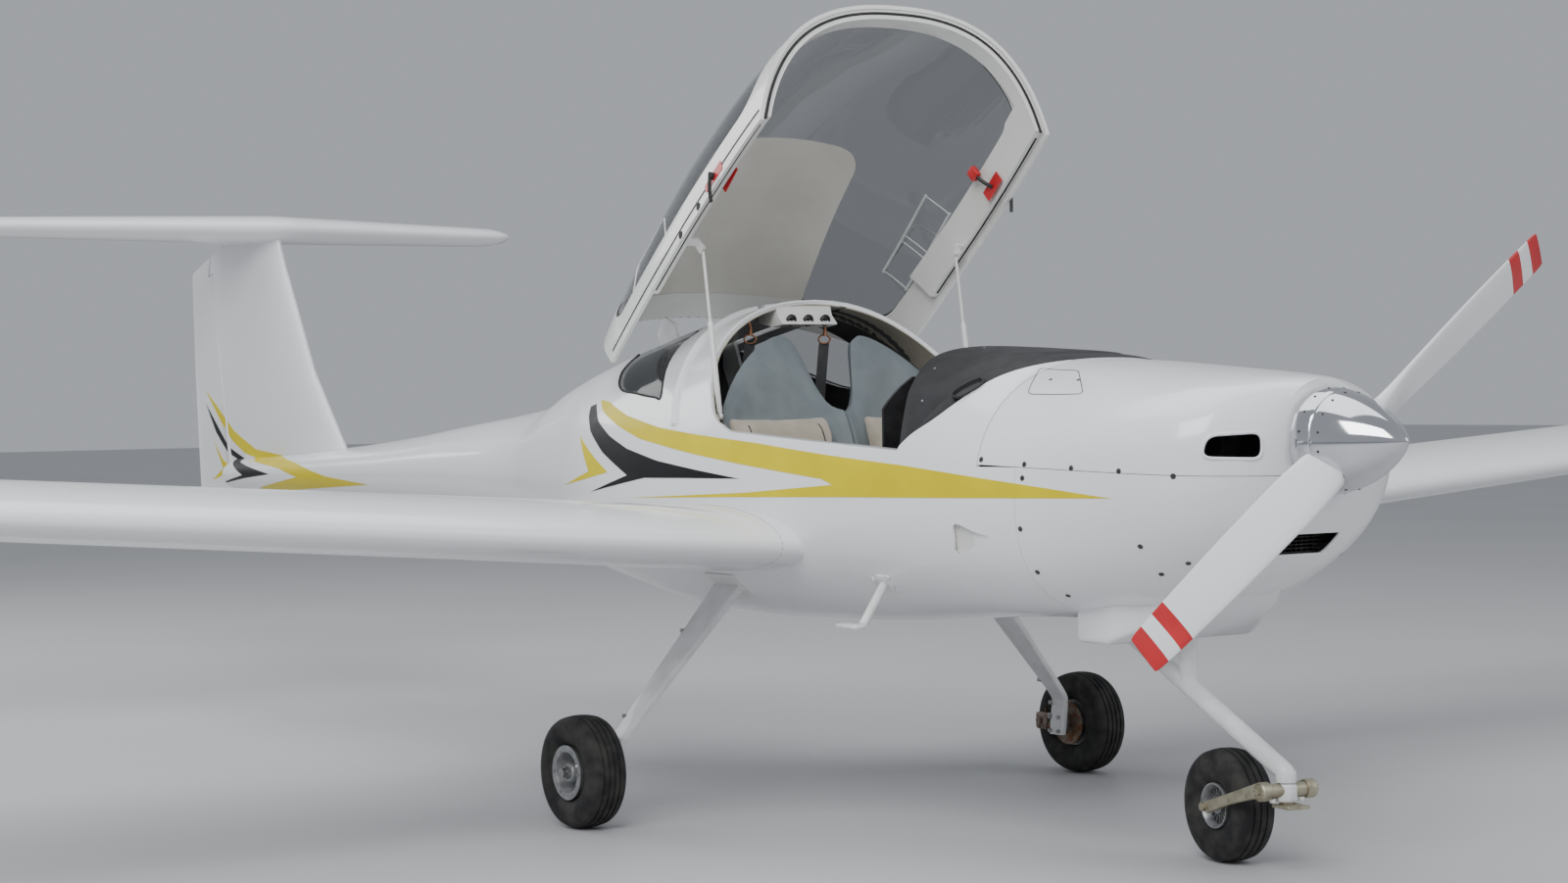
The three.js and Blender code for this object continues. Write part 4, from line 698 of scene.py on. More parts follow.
def makeSpinner():
    length = spinner["tipX"] - spinner["baseX"]
    profile = [(0, 0)]
    for i in range(spinner["steps"] + 1):
        t = i / spinner["steps"]
        radius = spinnerRadius(t)
        if 0.19 < t < 0.215:
            radius -= 0.0025  # the seam between the back plate and the shell
        profile.append((length * t, radius))
    shell = turned("spinnerShell", profile, (spinner["baseX"], 0, spinner["axisZ"]), (1, 0, 0), 96)
    return shell


propeller = {"parked": math.radians(34.9),
             # radius, chord, thickness, pitch in degrees, 0 round to 1 blade
             "stations": [(0.000, 0.088, 0.088, 40, 0), (0.098, 0.080, 0.076, 40, 0),
                          (0.114, 0.118, 0.056, 37, 0.5),
                          (0.150, 0.124, 0.048, 36, 0.6), (0.260, 0.130, 0.030, 31, 1),
                          (0.450, 0.128, 0.022, 25, 1),
                          (0.650, 0.120, 0.016, 20, 1), (0.800, 0.110, 0.011, 17, 1),
                          (0.852, 0.103, 0.008, 15, 1),
                          (0.863, 0.096, 0.006, 15, 1)],
             # inner and outer radius of the tip's red bands
             "bands": [(0.728, 0.773), (0.8185, 0.8635)]}


def bladeRing(radius, grow=0.0, turn=0.0):
    _, chord, thickness, pitch, form = between(propeller["stations"], radius)
    pitch = math.radians(pitch)
    ring = []
    for i in range(40):
        angle = math.tau * i / 40
        c, s = math.cos(angle), math.sin(angle)
        across = (chord / 2 + grow) * c
        thick = (thickness / 2) * s * (1 - form * 0.35 * (1 - c)) + grow * s
        x = thick * math.cos(pitch) + across * math.sin(pitch)
        z = across * math.cos(pitch) - thick * math.sin(pitch)
        ring.append((spinner["bladeX"] + x, radius * math.cos(turn) - z * math.sin(turn),
                     spinner["axisZ"] + radius * math.sin(turn) + z * math.cos(turn)))
    return ring


def makePropeller():
    blades = []
    for turn in (propeller["parked"], propeller["parked"] + math.pi):
        radii = [0.002 + 0.861 * (i / 70) for i in range(71)]
        blades.append(wrappedGrid("blade", [bladeRing(r, 0, turn) for r in radii]))
    shell = makeSpinner()
    for turn in (propeller["parked"], propeller["parked"] + math.pi):
        rings = [bladeRing(r, 0.0015, turn) for r in (0.02, 0.08, 0.098, 0.106, 0.114, 0.13, 0.16, 0.2)]
        boolean(shell, wrappedGrid("bladeHole", rings))
    finish(shell, "propeller_group", paints["polished"], "polished_metal", "spinner")
    finish(join("propellerBlades", blades), "propeller_group", paints["whitePaint"], "blade_paint",
           "propeller")
    bands = []
    for turn in (propeller["parked"], propeller["parked"] + math.pi):
        for inner, outer in propeller["bands"]:
            count = 8
            radii = [inner + (outer - inner) * i / count for i in range(count + 1)]
            bands.append(wrappedGrid("band", [bladeRing(r, 0.0004, turn) for r in radii]))
    finish(join("propellerBands", bands), "propeller_group", paints["redFilm"], "blade_paint")


makePropeller()
print("propeller made")


# Wings and tail: one section shape along a table of stations.

def foilRing(chord, thickness, camber, place, count=26, tail=0.0028):
    upper, lower = [], []
    for i in range(count + 1):
        t = (1 - math.cos(math.pi * i / count)) / 2
        form = 5 * thickness * (0.2969 * math.sqrt(t) - 0.126 * t - 0.3516 * t ** 2
                                + 0.2843 * t ** 3 - 0.1015 * t ** 4)
        half = max(form, tail * min(1, 12 * t)) * chord
        line = camber * 4 * t * (1 - t) * chord
        upper.append((t * chord, line + half))
        lower.append((t * chord, line - half))
    return [place(a, b) for a, b in upper + lower[:0:-1]]


wing = {"camber": 0.03, "gap": 0.007,
        # y, nose x, nose z, chord, thickness share, twist in degrees
        "stations": [(0.300, 1.806, 0.800, 1.330, 0.145, 3), (0.620, 1.804, 0.826, 1.310, 0.145, 3),
                     (3.300, 1.782, 1.012, 1.085, 0.135, 2), (4.900, 1.735, 1.128, 0.830, 0.125, 1),
                     (5.240, 1.668, 1.168, 0.690, 0.115, 0), (5.390, 1.585, 1.204, 0.500, 0.095, 0),
                     (5.435, 1.500, 1.222, 0.330, 0.060, 0)],
        "flap": {"y0": 0.660, "y1": 2.540, "share": 0.74}, "aileron": {"y0": 2.600, "y1": 4.820,
                                                                       "share": 0.76}}


def rowAt(rows, y):
    i = next(k for k in range(len(rows) - 1) if rows[k + 1][0] >= y - 1e-9)
    t = (y - rows[i][0]) / (rows[i + 1][0] - rows[i][0])
    return [a + (b - a) * t for a, b in zip(rows[i], rows[i + 1])]


def wingRing(y, side):
    _, noseX, noseZ, chord, thickness, twist = rowAt(wing["stations"], y)
    turn = math.radians(twist)
    c, s = math.cos(turn), math.sin(turn)
    return foilRing(chord, thickness, wing["camber"],
                    lambda a, b: (noseX - a * c - b * s, side * y, noseZ - a * s + b * c))


def wingHinge(y, share, side):
    _, noseX, noseZ, chord, thickness, twist = rowAt(wing["stations"], y)
    turn = math.radians(twist)
    form = 5 * thickness * (0.2969 * math.sqrt(share) - 0.126 * share - 0.3516 * share ** 2
                            + 0.2843 * share ** 3 - 0.1015 * share ** 4)
    line = wing["camber"] * 4 * share * (1 - share) * chord
    point = (noseX - share * chord * math.cos(turn) - line * math.sin(turn), side * y,
             noseZ - share * chord * math.sin(turn) + line * math.cos(turn))
    return point, form * chord


# The region behind a hinge line: a block, and a round nose about the line.
def hingedRegion(start, end, radii, gap, reach):
    start, end = Vector(start), Vector(end)
    axis = (end - start).normalized()
    aft = Vector((-1, 0, 0))
    aft = (aft - axis * aft.dot(axis)).normalized()
    up = aft.cross(axis)
    length = (end - start).length
    body = block("region", 0, reach, -gap, length + gap, -0.35, 0.35)
    matrix = Matrix((aft, axis, up)).transposed().to_4x4()
    matrix.translation = start
    moved(body, matrix)
    nose = rod("nose", start - axis * gap, end + axis * gap, radii[0] + gap, radii[1] + gap, 40)
    return body, nose


def cutSurface(whole, name, start, end, radii, reach):
    body, nose = hingedRegion(start, end, radii, 0, reach)
    surface = boolean(copyOf(whole, name), body, "INTERSECT")
    boolean(surface, nose, "UNION")
    body, nose = hingedRegion(start, end, radii, wing["gap"], reach)
    boolean(whole, body)
    boolean(whole, nose)
    return surface


def makeWing(side, label):
    ys = [0.40 + 0.06 * i for i in range(int((5.2 - 0.40) / 0.06) + 1)]
    ys += [5.24, 5.28, 5.31, 5.34, 5.365, 5.39, 5.41, 5.425, 5.435]
    whole = wrappedGrid(f"wing{label}", [wingRing(y, side) for y in ys])
    boolean(whole, bodyLoft("bodyRoom", -0.1, 2.6, -0.0003))
    for part in ("flap", "aileron"):
        spec = wing[part]
        (start, r0), (end, r1) = wingHinge(spec["y0"], spec["share"], side), wingHinge(spec["y1"],
                                                                                       spec["share"], side)
        surface = cutSurface(whole, f"{part}{label}", start, end, (r0 * 0.97, r1 * 0.97), 0.6)
        finish(surface, f"{part}_{label[0].lower()}", paints["whitePaint"], "white_paint",
               f"{part}_{label.lower()}")
    finish(whole, "airframe", paints["whitePaint"], "white_paint", f"wing_{label.lower()}")
    # The fine joint where the wing's root fairing ends.
    ring = wingRing(0.625, side)
    joint = tube(f"rootJoint{label}", ring[17::-1] + ring[:-18:-1], 0.0010, 2)
    finish(joint, "airframe", paints["steel"], "white_paint")


for side, label in sides:
    makeWing(side, label)
print("wings made")

tail = {# z, nose x, tail x, thickness share
        "fin": [(0.860, -1.900, -3.515, 0.06), (1.040, -2.115, -3.532, 0.085), (1.364, -2.401, -3.560, 0.1),
                (1.812, -2.662, -3.580, 0.11), (1.900, -2.700, -3.480, 0.11), (1.950, -2.708, -3.400, 0.11)],
        "rudder": {"low": (-3.125, 0, 0.868), "high": (-3.325, 0, 1.795), "radii": (0.036, 0.030)},
        "rudderTop": {"frontX": -3.362, "rearX": -3.620, "clear": 0.021, "lowZ": 1.740, "highZ": 2.000},
        # y, nose x, chord, thickness share
        "plane": [(-1.278, -3.010, 0.390, 0.07), (-1.250, -2.955, 0.460, 0.13), (-1.170, -2.910, 0.505, 0.16),
                  (0.000, -2.625, 0.790, 0.148), (1.170, -2.910, 0.505, 0.16), (1.250, -2.955, 0.460, 0.13),
                  (1.278, -3.010, 0.390, 0.07)],
        "planeZ": 1.970, "elevator": {"x": -3.205, "half": 1.175, "radius": 0.031},
        "sweep": [(-3.161, 2.040), (-3.161, 1.926), (-3.205, 1.922), (-3.600, 1.806), (-3.600, 2.040)]}


def makePlaneWhole(name):
    ys = [-1.278, -1.273, -1.266, -1.25, -1.21] + [-1.17 + 0.09 * i for i in range(27)]
    ys += [1.21, 1.25, 1.266, 1.273, 1.278]
    rings = []
    for y in ys:
        _, noseX, chord, thickness = rowAt(tail["plane"], y)
        rings.append(foilRing(chord, thickness, 0, lambda a, b: (noseX - a, y, tail["planeZ"] + b)))
    return wrappedGrid(name, rings)


def rudderTop(frontX):
    spec = tail["rudderTop"]
    return block("rudderTop", spec["rearX"], frontX, -0.3, 0.3, spec["lowZ"], spec["highZ"])


def makeTail():
    rings = []
    for i in range(37):
        z = 0.86 + (1.95 - 0.86) * i / 36
        _, noseX, tailX, thickness = rowAt(tail["fin"], z)
        rings.append(foilRing(noseX - tailX, thickness, 0, lambda a, b: (noseX - a, b, z)))
    fin = wrappedGrid("finSkin", rings)
    boolean(fin, makePlaneWhole("planeRoom"))
    boolean(fin, prism("sweep", tail["sweep"], "Y", -0.3, 0.3))
    spec = tail["rudder"]
    top = boolean(copyOf(fin, "rudderUpper"), rudderTop(tail["rudderTop"]["frontX"]), "INTERSECT")
    # The parts of the fin that lie inside the body.
    boolean(fin, bodyLoft("bodyRoom", bodyShape["tailX"] + 0.0002, 0, -0.0003))
    boolean(fin, block("belowTail", bodyShape["tailX"] + 0.0001, -1.8, -0.08, 0.08, 0.8, 0.955))
    rudder = cutSurface(fin, "rudderSkin", spec["low"], spec["high"], spec["radii"], 0.7)
    boolean(fin, rudderTop(tail["rudderTop"]["frontX"] + tail["rudderTop"]["clear"]))
    boolean(rudder, top, "UNION")
    finish(fin, "airframe", paints["whitePaint"], "white_paint", "fin")
    finish(rudder, "rudder_body", paints["whitePaint"], "white_paint", "rudder")
    plane = makePlaneWhole("tailplaneSkin")
    spec = tail["elevator"]
    elevator = cutSurface(plane, "elevatorSkin", (spec["x"], -spec["half"], tail["planeZ"]),
                          (spec["x"], spec["half"], tail["planeZ"]), (spec["radius"], spec["radius"]), 0.4)
    finish(plane, "airframe", paints["whitePaint"], "white_paint", "tailplane")
    finish(elevator, "elevator_body", paints["whitePaint"], "white_paint", "elevator")


makeTail()
print("tail made")

# Yellow and black stripes: thin films on the skin.

stripes = {"lift": 0.0009, "sink": 0.004,
           "yellow": [(2.974, 0.981), (2.531, 0.974), (1.960, 0.966), (1.443, 0.955), (0.895, 0.940),
                      (1.544, 0.970), (1.955, 1.000), (1.907, 1.016), (1.519, 1.052), (1.253, 1.080),
                      (0.927, 1.122), (0.748, 1.163), (0.602, 1.206), (0.535, 1.243), (0.615, 1.237),
                      (0.797, 1.194), (1.030, 1.158), (1.237, 1.139), (1.576, 1.115), (1.911, 1.084),
                      (2.234, 1.058), (2.529, 1.027), (2.771, 1.003)],
           "black": [(1.513, 1.010), (1.230, 1.007), (0.979, 1.003), (0.768, 0.974), (0.604, 0.951),
                     (0.868, 1.009), (0.682, 1.077), (0.550, 1.143), (0.491, 1.190), (0.469, 1.221),
                     (0.509, 1.230), (0.591, 1.175), (0.712, 1.129), (0.851, 1.091), (1.050, 1.057),
                     (1.293, 1.031)],
           "chevron": [(0.469, 1.127), (0.587, 1.075), (0.731, 1.016), (0.579, 0.994), (0.382, 0.968),
                       (0.585, 1.016)]}


def makeStripe(name, outline, paint):
    x0, x1 = min(x for x, z in outline) - 0.05, max(x for x, z in outline) + 0.05
    films = []
    for side in (-1, 1):
        film = bodyShell(name, x0, x1, -stripes["lift"], stripes["sink"])
        films.append(boolean(film, prism("outline", outline, "Y", *ordered(side * 0.04, side * 0.9)),
                             "INTERSECT"))
    finish(join(name, films), "airframe", paints[paint], "white_paint")


tailStripes = {
    "yellow": [(-3.434, 1.300), (-3.293, 1.229), (-3.089, 1.120), (-2.854, 1.045), (-2.283, 0.995),
               (-1.949, 0.948),
               (-1.553, 0.923), (-1.984, 0.902), (-2.407, 0.882), (-2.756, 0.881), (-2.464, 0.914),
               (-2.242, 0.940),
               (-2.442, 0.973), (-2.760, 0.995), (-2.973, 1.026), (-3.115, 1.079), (-3.246, 1.161)],
    "black": [(-3.430, 1.237), (-3.296, 1.145), (-3.164, 1.053), (-2.936, 0.990), (-2.529, 0.947),
              (-2.818, 0.924),
              (-3.202, 0.886), (-2.823, 0.938), (-2.947, 0.970), (-3.177, 1.029), (-3.310, 1.114)],
    "chevron": [(-3.342, 1.077), (-3.241, 0.995), (-3.120, 0.957), (-3.255, 0.927), (-3.380, 0.904),
                (-3.242, 0.958)]}


# The fin's own section, made a little thicker, gives the films on the fin and the rudder.
def finFilm(outline, side):
    def skin(name, grow):
        rings = []
        for i in range(13):
            z = 0.862 + (1.36 - 0.862) * i / 12
            _, noseX, tailX, thickness = rowAt(tail["fin"], z)
            ring = foilRing(noseX - tailX, thickness, 0, lambda a, b: (noseX - a, b
                                                                       + grow * math.copysign(1, b), z))
            rings.append(ring)
        return wrappedGrid(name, rings)
    film = boolean(skin("finFilm", stripes["lift"]), skin("inner", -0.001))
    return boolean(film, prism("outline", outline, "Y", *ordered(side * 0.0015, side * 0.4)), "INTERSECT")


def makeTailStripe(name, outline, paint):
    fixed, turning = [], []
    low, high = tail["rudder"]["low"], tail["rudder"]["high"]
    for side in (-1, 1):
        film = finFilm(outline, side)
        body, nose = hingedRegion(low, high, (0.03, 0.03), 0, 0.7)
        bpy.data.objects.remove(nose)
        turning.append(boolean(copyOf(film, name), body, "INTERSECT"))
        body, nose = hingedRegion(low, high, tail["rudder"]["radii"], wing["gap"], 0.7)
        boolean(film, body)
        boolean(film, nose)
        boolean(film, bodyLoft("bodyRoom", bodyShape["tailX"], 0, 0.0))
        x0, x1 = bodyShape["tailX"], max(x for x, z in outline) + 0.05
        boom = bodyShell(name, x0, x1, -stripes["lift"], stripes["sink"])
        boolean(boom, prism("outline", outline, "Y", *ordered(side * 0.02, side * 0.4)), "INTERSECT")
        fixed += [film, boom]
    for pieces, ending, body in ((fixed, "Fin", "airframe"), (turning, "Rudder", "rudder_body")):
        kept = [piece for piece in pieces if piece.data.vertices]
        for piece in pieces:
            if piece not in kept:
                bpy.data.objects.remove(piece)
        if kept:
            finish(join(name + ending, kept), body, paints[paint], "white_paint")


makeTailStripe("tailYellow", tailStripes["yellow"], "yellowFilm")
makeTailStripe("tailBlack", tailStripes["black"], "blackFilm")
makeTailStripe("tailChevron", tailStripes["chevron"], "yellowFilm")
makeStripe("stripeYellow", stripes["yellow"], "yellowFilm")
makeStripe("stripeBlack", stripes["black"], "blackFilm")
makeStripe("stripeChevron", stripes["chevron"], "yellowFilm")
print("stripes made")


# Roll arch: bright lip round the cabin opening, raised bead outside it, beige lining inside.

arch = {"lipRadius": 0.005, "beadRadius": 0.013, "beadBack": 0.022, "liningWidth": 0.13}


def archPath(bottom, top, back, inset, steps=48):
    line = lambda z: bottom[0] + (top[0] - bottom[0]) * (z - bottom[1]) / (top[1] - bottom[1]) - back
    highest = top[1]
    for _ in range(12):
        highest = between(bodyStations, line(highest))[1] - inset
    path = []
    for i in range(steps + 1):
        turn = math.pi * i / steps
        z = bottom[1] + (highest - bottom[1]) * math.sin(turn) ** 0.75
        x = line(z)
        path.append((x, math.copysign(bodySideY(x, min(z, highest), inset), math.cos(turn)), z))
    return path


# Canopy: shaped closed, then turned open about its hinge tube.

canopy = {"pivot": Vector((0.732, 0, 0.843)), "open": math.radians(44.5), "outset": 0.018, "clear": 0.006,
          "rimInset": 0.024, "railHeight": 0.096, "railDrop": 0.010, "archWidth": 0.088, "rearWidth": 0.096,
          "roof": [(1.745, -0.285), (1.745, 0.285), (1.040, 0.340), (1.040, -0.340)]}
canopyTurn = (Matrix.Translation(canopy["pivot"]) @ Matrix.Rotation(-canopy["open"], 4, "Y")
              @ Matrix.Translation(-canopy["pivot"]))
frontTop = lineTo(cabin["railFront"], cabin["screenTop"], 1.7)
rearTop = lineTo(cabin["railRear"], cabin["roofRear"], 1.5)


def openCanopy(obj, material, slot, *replaced, angle=35):
    return finish(moved(obj, canopyTurn), "canopy", material, slot, *replaced, angle=angle)


def canopyLoft(name, inset):
    return bodyLoft(name, 0.8, 2.62, inset, 0.03, 128)


def canopyWindow(name):
    rearX, archX = canopy["rearWidth"] - 0.022, 0.052 - canopy["archWidth"]
    outline = [shifted(cabin["railRear"], rearX, canopy["railHeight"]),
               shifted(cabin["railFront"], archX, canopy["railHeight"]),
               shifted(frontTop, -canopy["archWidth"], 0), (frontTop[0] - canopy["archWidth"], topZ),
               (rearTop[0] + canopy["rearWidth"], topZ), shifted(rearTop, canopy["rearWidth"], 0)]
    return prism(name, rounded(outline, 0.07, 8), "Y", -0.9, 0.9)


def canopyRegion(name, grow=0.0, drop=0.0):
    outline = [shifted(cabin["railRear"], -grow, -grow - drop), shifted(cabin["railFront"], grow,
                                                                        -grow - drop),
               shifted(frontTop, grow, 0), (frontTop[0] + grow, topZ), (rearTop[0] - grow, topZ),
               shifted(rearTop, -grow, 0)]
    return prism(name, outline, "Y", -0.9, 0.9)


def makeCanopyFrame():
    rail, front = cabin["railRear"], cabin["railFront"]
    low = cabin["archLow"]
    skin = boolean(canopyLoft("canopyFrameSkin", -canopy["outset"]), canopyLoft("inner", -canopy["clear"]))
    boolean(skin, canopyRegion("region", 0, canopy["railDrop"]), "INTERSECT")
    deep = boolean(canopyLoft("canopyFrameRim", -canopy["outset"]), canopyLoft("inner", canopy["rimInset"]))
    boolean(deep, canopyRegion("region", 0, -canopy["clear"]), "INTERSECT")
    rails = [shifted(low, 0.075, -0.06), shifted(front, 0.03, -0.06), shifted(front, 0.06,
                                                                              canopy["railHeight"]),
             (low[0] + 0.075, rail[1] + canopy["railHeight"])]
    width = canopy["archWidth"]
    bow = [shifted(front, -width, -0.06), shifted(front, 0.06, -0.06), shifted(frontTop, 0.08, 0),
           shifted(frontTop, -width, 0)]
    keep = boolean(prism("rails", rails, "Y", -0.9, 0.9), prism("bow", bow, "Y", -0.91, 0.91), "UNION")
    boolean(deep, keep, "INTERSECT")
    boolean(skin, deep, "UNION")
    boolean(skin, canopyWindow("window"))
    # Tabs that carry the upper ends of the gas struts.
    eye = canopyTurn.inverted() @ Vector((1.209, 0.486, 1.698))
    for side in (-1, 1):
        tab = block("tab", eye.x - 0.014, eye.x + 0.014, *ordered(side * 0.4918, side * 0.4968),
                    eye.z - 0.012,
                    eye.z + 0.030)
        foot = block("tabFoot", eye.x - 0.014, eye.x + 0.014, *ordered(side * 0.4918, side * 0.545),
                     eye.z + 0.022, eye.z + 0.030)
        boolean(skin, boolean(tab, foot, "UNION"), "UNION")
    bevel(skin, 0.003, 2, 50)
    openCanopy(skin, paints["framePaint"], "frame_paint", "canopy_frame")


def makeCanopyPanes():
    def pane(name, outer, inner):
        shell = boolean(canopyLoft(name, -outer), canopyLoft("inner", -inner))
        boolean(shell, canopyWindow("window"), "INTERSECT")
        return shell
    plan = rounded(canopy["roof"], 0.09, 8)
    glass = boolean(pane("canopyGlass", 0.0148, 0.0095), prism("roof", plan, "Z", 1.3, topZ))
    openCanopy(glass, paints["canopyGlass"], "tinted_glass", "canopy_glass")
    small = [(x - 0.001 * math.copysign(1, x - 1.4), y - 0.001 * math.copysign(1, y)) for x, y in plan]
    roof = boolean(pane("canopyRoof", 0.0152, 0.0105), prism("roof", small, "Z", 1.3, topZ), "INTERSECT")
    openCanopy(roof, paints["whitePaint"], "white_paint", "canopy_roof")
    # The lining's beige is painted lighter than the real lining, as painted light on its shaded, downward
    # face.
    lining = boolean(pane("canopyLining", 0.0102, 0.0080), prism("roof", small, "Z", 1.3, topZ), "INTERSECT")
    openCanopy(lining, paints["roofLiningPaintedLight"], "beige_trim")


# A point on the closed canopy's side, a little outside the body's own surface.
def canopySide(x, z, side, out):
    return Vector((x, side * bodySideY(x, z, -out), z))


def makeCanopyTrim():
    seals, lines = [], []
    rail, front = cabin["railRear"], cabin["railFront"]
    for side in (-1, 1):
        # Rubber along the rail's closing face, and the thin black line on its outside.
        line = [lineTo(rail, front, 0.30 + 0.67 * i / 30) for i in range(31)]
        seals.append(tube("railSeal", [canopySide(x, z + 0.007, side, -0.006) for x, z in line], 0.004, 3))
        lines.append(boolean(
            boolean(canopyLoft("railLine", -0.0188), canopyLoft("inner", -0.017)),
            prism("line", [shifted(rail, 0.02, 0.018), shifted(front, 0.01, 0.018),
                           shifted(front, 0.01, 0.026),
                           shifted(rail, 0.02, 0.026)], "Y", *ordered(side * 0.1, side * 0.9)), "INTERSECT"))
    seals.append(tube("frontSeal", archPath(cabin["railFront"], cabin["screenTop"], 0.003, 0.006), 0.0045, 3))
    seals.append(tube("rearSeal", archPath(cabin["railRear"], cabin["roofRear"], -0.002, -0.010), 0.004, 3))
    openCanopy(join("canopySeals", seals), paints["seal"], "black_vinyl")
    openCanopy(join("canopyLines", lines), paints["blackFilm"], "frame_paint")
    # Dark bonding line round the glass.
    window = canopyWindow("window")
    border = boolean(boolean(canopyLoft("glassBorder", -0.0162), canopyLoft("inner", -0.0140)), window,
                     "INTERSECT", keep=True)
    edit(window)
    bpy.ops.transform.resize(value=(0.982, 1, 0.975), center_override=(1.65, 0, 1.50))
    leaveEdit()
    boolean(border, window)
    openCanopy(border, paints["seal"], "black_vinyl")


# Red latch plates with their black handles, near the middle of both rails. The numbers in the
# lever and knob lists are steps from the latch's middle, in x, outwards and up.
latch = {"x": 1.935, "z": 1.112, "half": 0.0525, "low": 0.00675, "lowRear": 0.01325,
         "high": 0.04175, "hubUp": 0.030,
         "hub": [(0, 0), (0, 0.012), (0.008, 0.011), (0.011, 0.008), (0.012, 0)],
         "lever": [(0.008, 0.010, 0.008), (-0.006, 0.014, -0.008), (-0.030, 0.016, -0.034),
                   (-0.050, 0.011, -0.060)],
         "innerLever": [(0, -0.006, 0.03), (-0.002, -0.028, 0.05), (-0.004, -0.036, 0.08)],
         "innerInset": 0.0265, "innerHalf": 0.045, "innerLow": 0.012, "innerHigh": 0.052,
         "knob": (-0.005, -0.038, 0.092)}


def makeLatches():
    plates, handles = [], []
    x, z = latch["x"], latch["z"]
    for side in (-1, 1):
        outline = [(x - latch["half"], z + latch["high"]), (x + latch["half"], z + latch["high"]),
                   (x + latch["half"], z + latch["low"]), (x - latch["half"], z + latch["lowRear"])]
        plate = boolean(canopyLoft("latchPlate", -0.0200), canopyLoft("inner", -0.0170))
        cutter = prism("plate", rounded(outline, 0.006), "Y", *ordered(side * 0.1, side * 0.9))
        plates.append(boolean(plate, cutter, "INTERSECT"))
        hub = Vector((x, side * bodySideY(x, z + latch["hubUp"], -0.020), z + latch["hubUp"]))
        handles.append(turned("latchHub", latch["hub"], hub, (0, side, 0.1), 24))
        lever = [hub + Vector((dx, side * out, dz)) for dx, out, dz in latch["lever"]]
        handles.append(tube("latchLever", lever, 0.0055, 4))
        inner = side * bodySideY(x + 0.01, z + 0.05, latch["innerInset"])
        plates.append(block("innerPlate", x - latch["innerHalf"], x + latch["innerHalf"],
                            *ordered(inner, inner - side * 0.004), z + latch["innerLow"],
                            z + latch["innerHigh"]))
        lever = [Vector((x + dx, inner + side * out, z + dz)) for dx, out, dz in latch["innerLever"]]
        handles.append(tube("innerLever", lever, 0.006, 4))
        dx, out, dz = latch["knob"]
        knob = Vector((x + dx, inner + side * out, z + dz))
        plates.append(bevel(block("knob", knob.x - 0.017, knob.x + 0.017, knob.y - 0.011, knob.y + 0.011,
                                  knob.z - 0.016, knob.z + 0.024), 0.004))
    openCanopy(join("latchPlates", plates), paints["redFilm"], "frame_paint")
    openCanopy(join("latchHandles", handles), paints["blackPlastic"], "black_vinyl")


makeCanopyFrame()
makeCanopyPanes()
makeCanopyTrim()
makeLatches()
print("canopy made")


def cutArmSlots(obj):
    for side in (-1, 1):
        y = side * cabin["slotY"]
        boolean(obj, block("armSlot", 0.7, 1.45, y - cabin["slotHalf"], y + cabin["slotHalf"], 1.3, topZ))


def makeArch():
    half = []
    for x, z in smoothLine(cabin["lip"], 6):
        top = between(bodyStations, x)[1] - 0.004
        half.append((x, -bodySideY(x, min(z, top), 0.004), min(z, top)))
    lip = tube("archLip", half + [(x, -y, z) for x, y, z in half[:-1][::-1]], arch["lipRadius"], 3, False)
    finish(lip, "airframe", paints["whitePaint"], "white_paint")
    path = archPath(cabin["railRear"], cabin["roofRear"], arch["beadBack"], 0.0)
    bead = pipe("archBead", path, arch["beadRadius"], 16)
    cutArmSlots(bead)
    finish(bead, "airframe", paints["whitePaint"], "white_paint")
    width = arch["liningWidth"]
    lining = bodyShell("archLining", 0.7, 1.6, 0.0125, 0.0165)
    boolean(lining, prism("band", [*cabin["lip"], (1.09, topZ), (1.09 - width, topZ), (1.10 - width, 1.50),
                                   (1.25 - width, 1.25), (1.37 - width, 1.10)], "Y", -0.9, 0.9), "INTERSECT")
    cutArmSlots(lining)
    finish(lining, "airframe", paints["beigeLining"], "beige_trim")
    # The ledge along each side of the opening, and the lining below it.
    sills = []
    for side in (-1, 1):
        outline = [(1.36, 1.150), (1.44, 1.145), (1.80, 1.1225), (2.17, 1.0995), (2.17, 1.078), (1.36, 1.128)]
        sill = bodyShell("sill", 1.3, 2.25, 0.010, 0.058)
        boolean(sill, block("strutRoom", 1.2, 1.95, -0.5005, 0.5005, 1, 1.3))
        sills.append(boolean(sill, prism("band", outline, "Y", *ordered(side * 0.2, side * 0.9)),
                             "INTERSECT"))
    assemble("sills", sills, "whitePaint", "white_paint")
    trims = []
    for side in (-1, 1):
        outline = [(0.98, 1.20), (1.36, 1.128), (2.17, 1.078), (2.17, 0.70), (0.98, 0.70)]
        trim = bodyShell("sideTrim", 0.9, 2.25, 0.0125, 0.020)
        trims.append(boolean(trim, prism("band", outline, "Y", *ordered(side * 0.2, side * 0.9)),
                             "INTERSECT"))
    assemble("sideTrims", trims, "beigeLining", "beige_trim")
    # Dark lining of the baggage space behind the seats, its bulkhead, and the floor.
    rear = bodyShell("rearLining", 0.44, 1.075, 0.0125, 0.0165)
    cutArmSlots(rear)
    window = prism("window", smoothLine(cabin["window"], 4, closed=True), "Y", -0.9, 0.9)
    boolean(rear, window)
    bulkhead = bodyLoft("bulkhead", 0.430, 0.440, 0.0125)
    floor = boolean(block("cabinFloor", 0.44, 2.35, -0.6, 0.6, 0.625, 0.632),
                    bodyLoft("room", 0.4, 2.4, 0.0125), "INTERSECT")
    assemble("rearLining", [rear, bulkhead, floor], "darkLining", "beige_trim")


makeArch()
print("arch made")


# Glareshield: a black moulded hood with an oval outlet in each side and small screws round its edge.

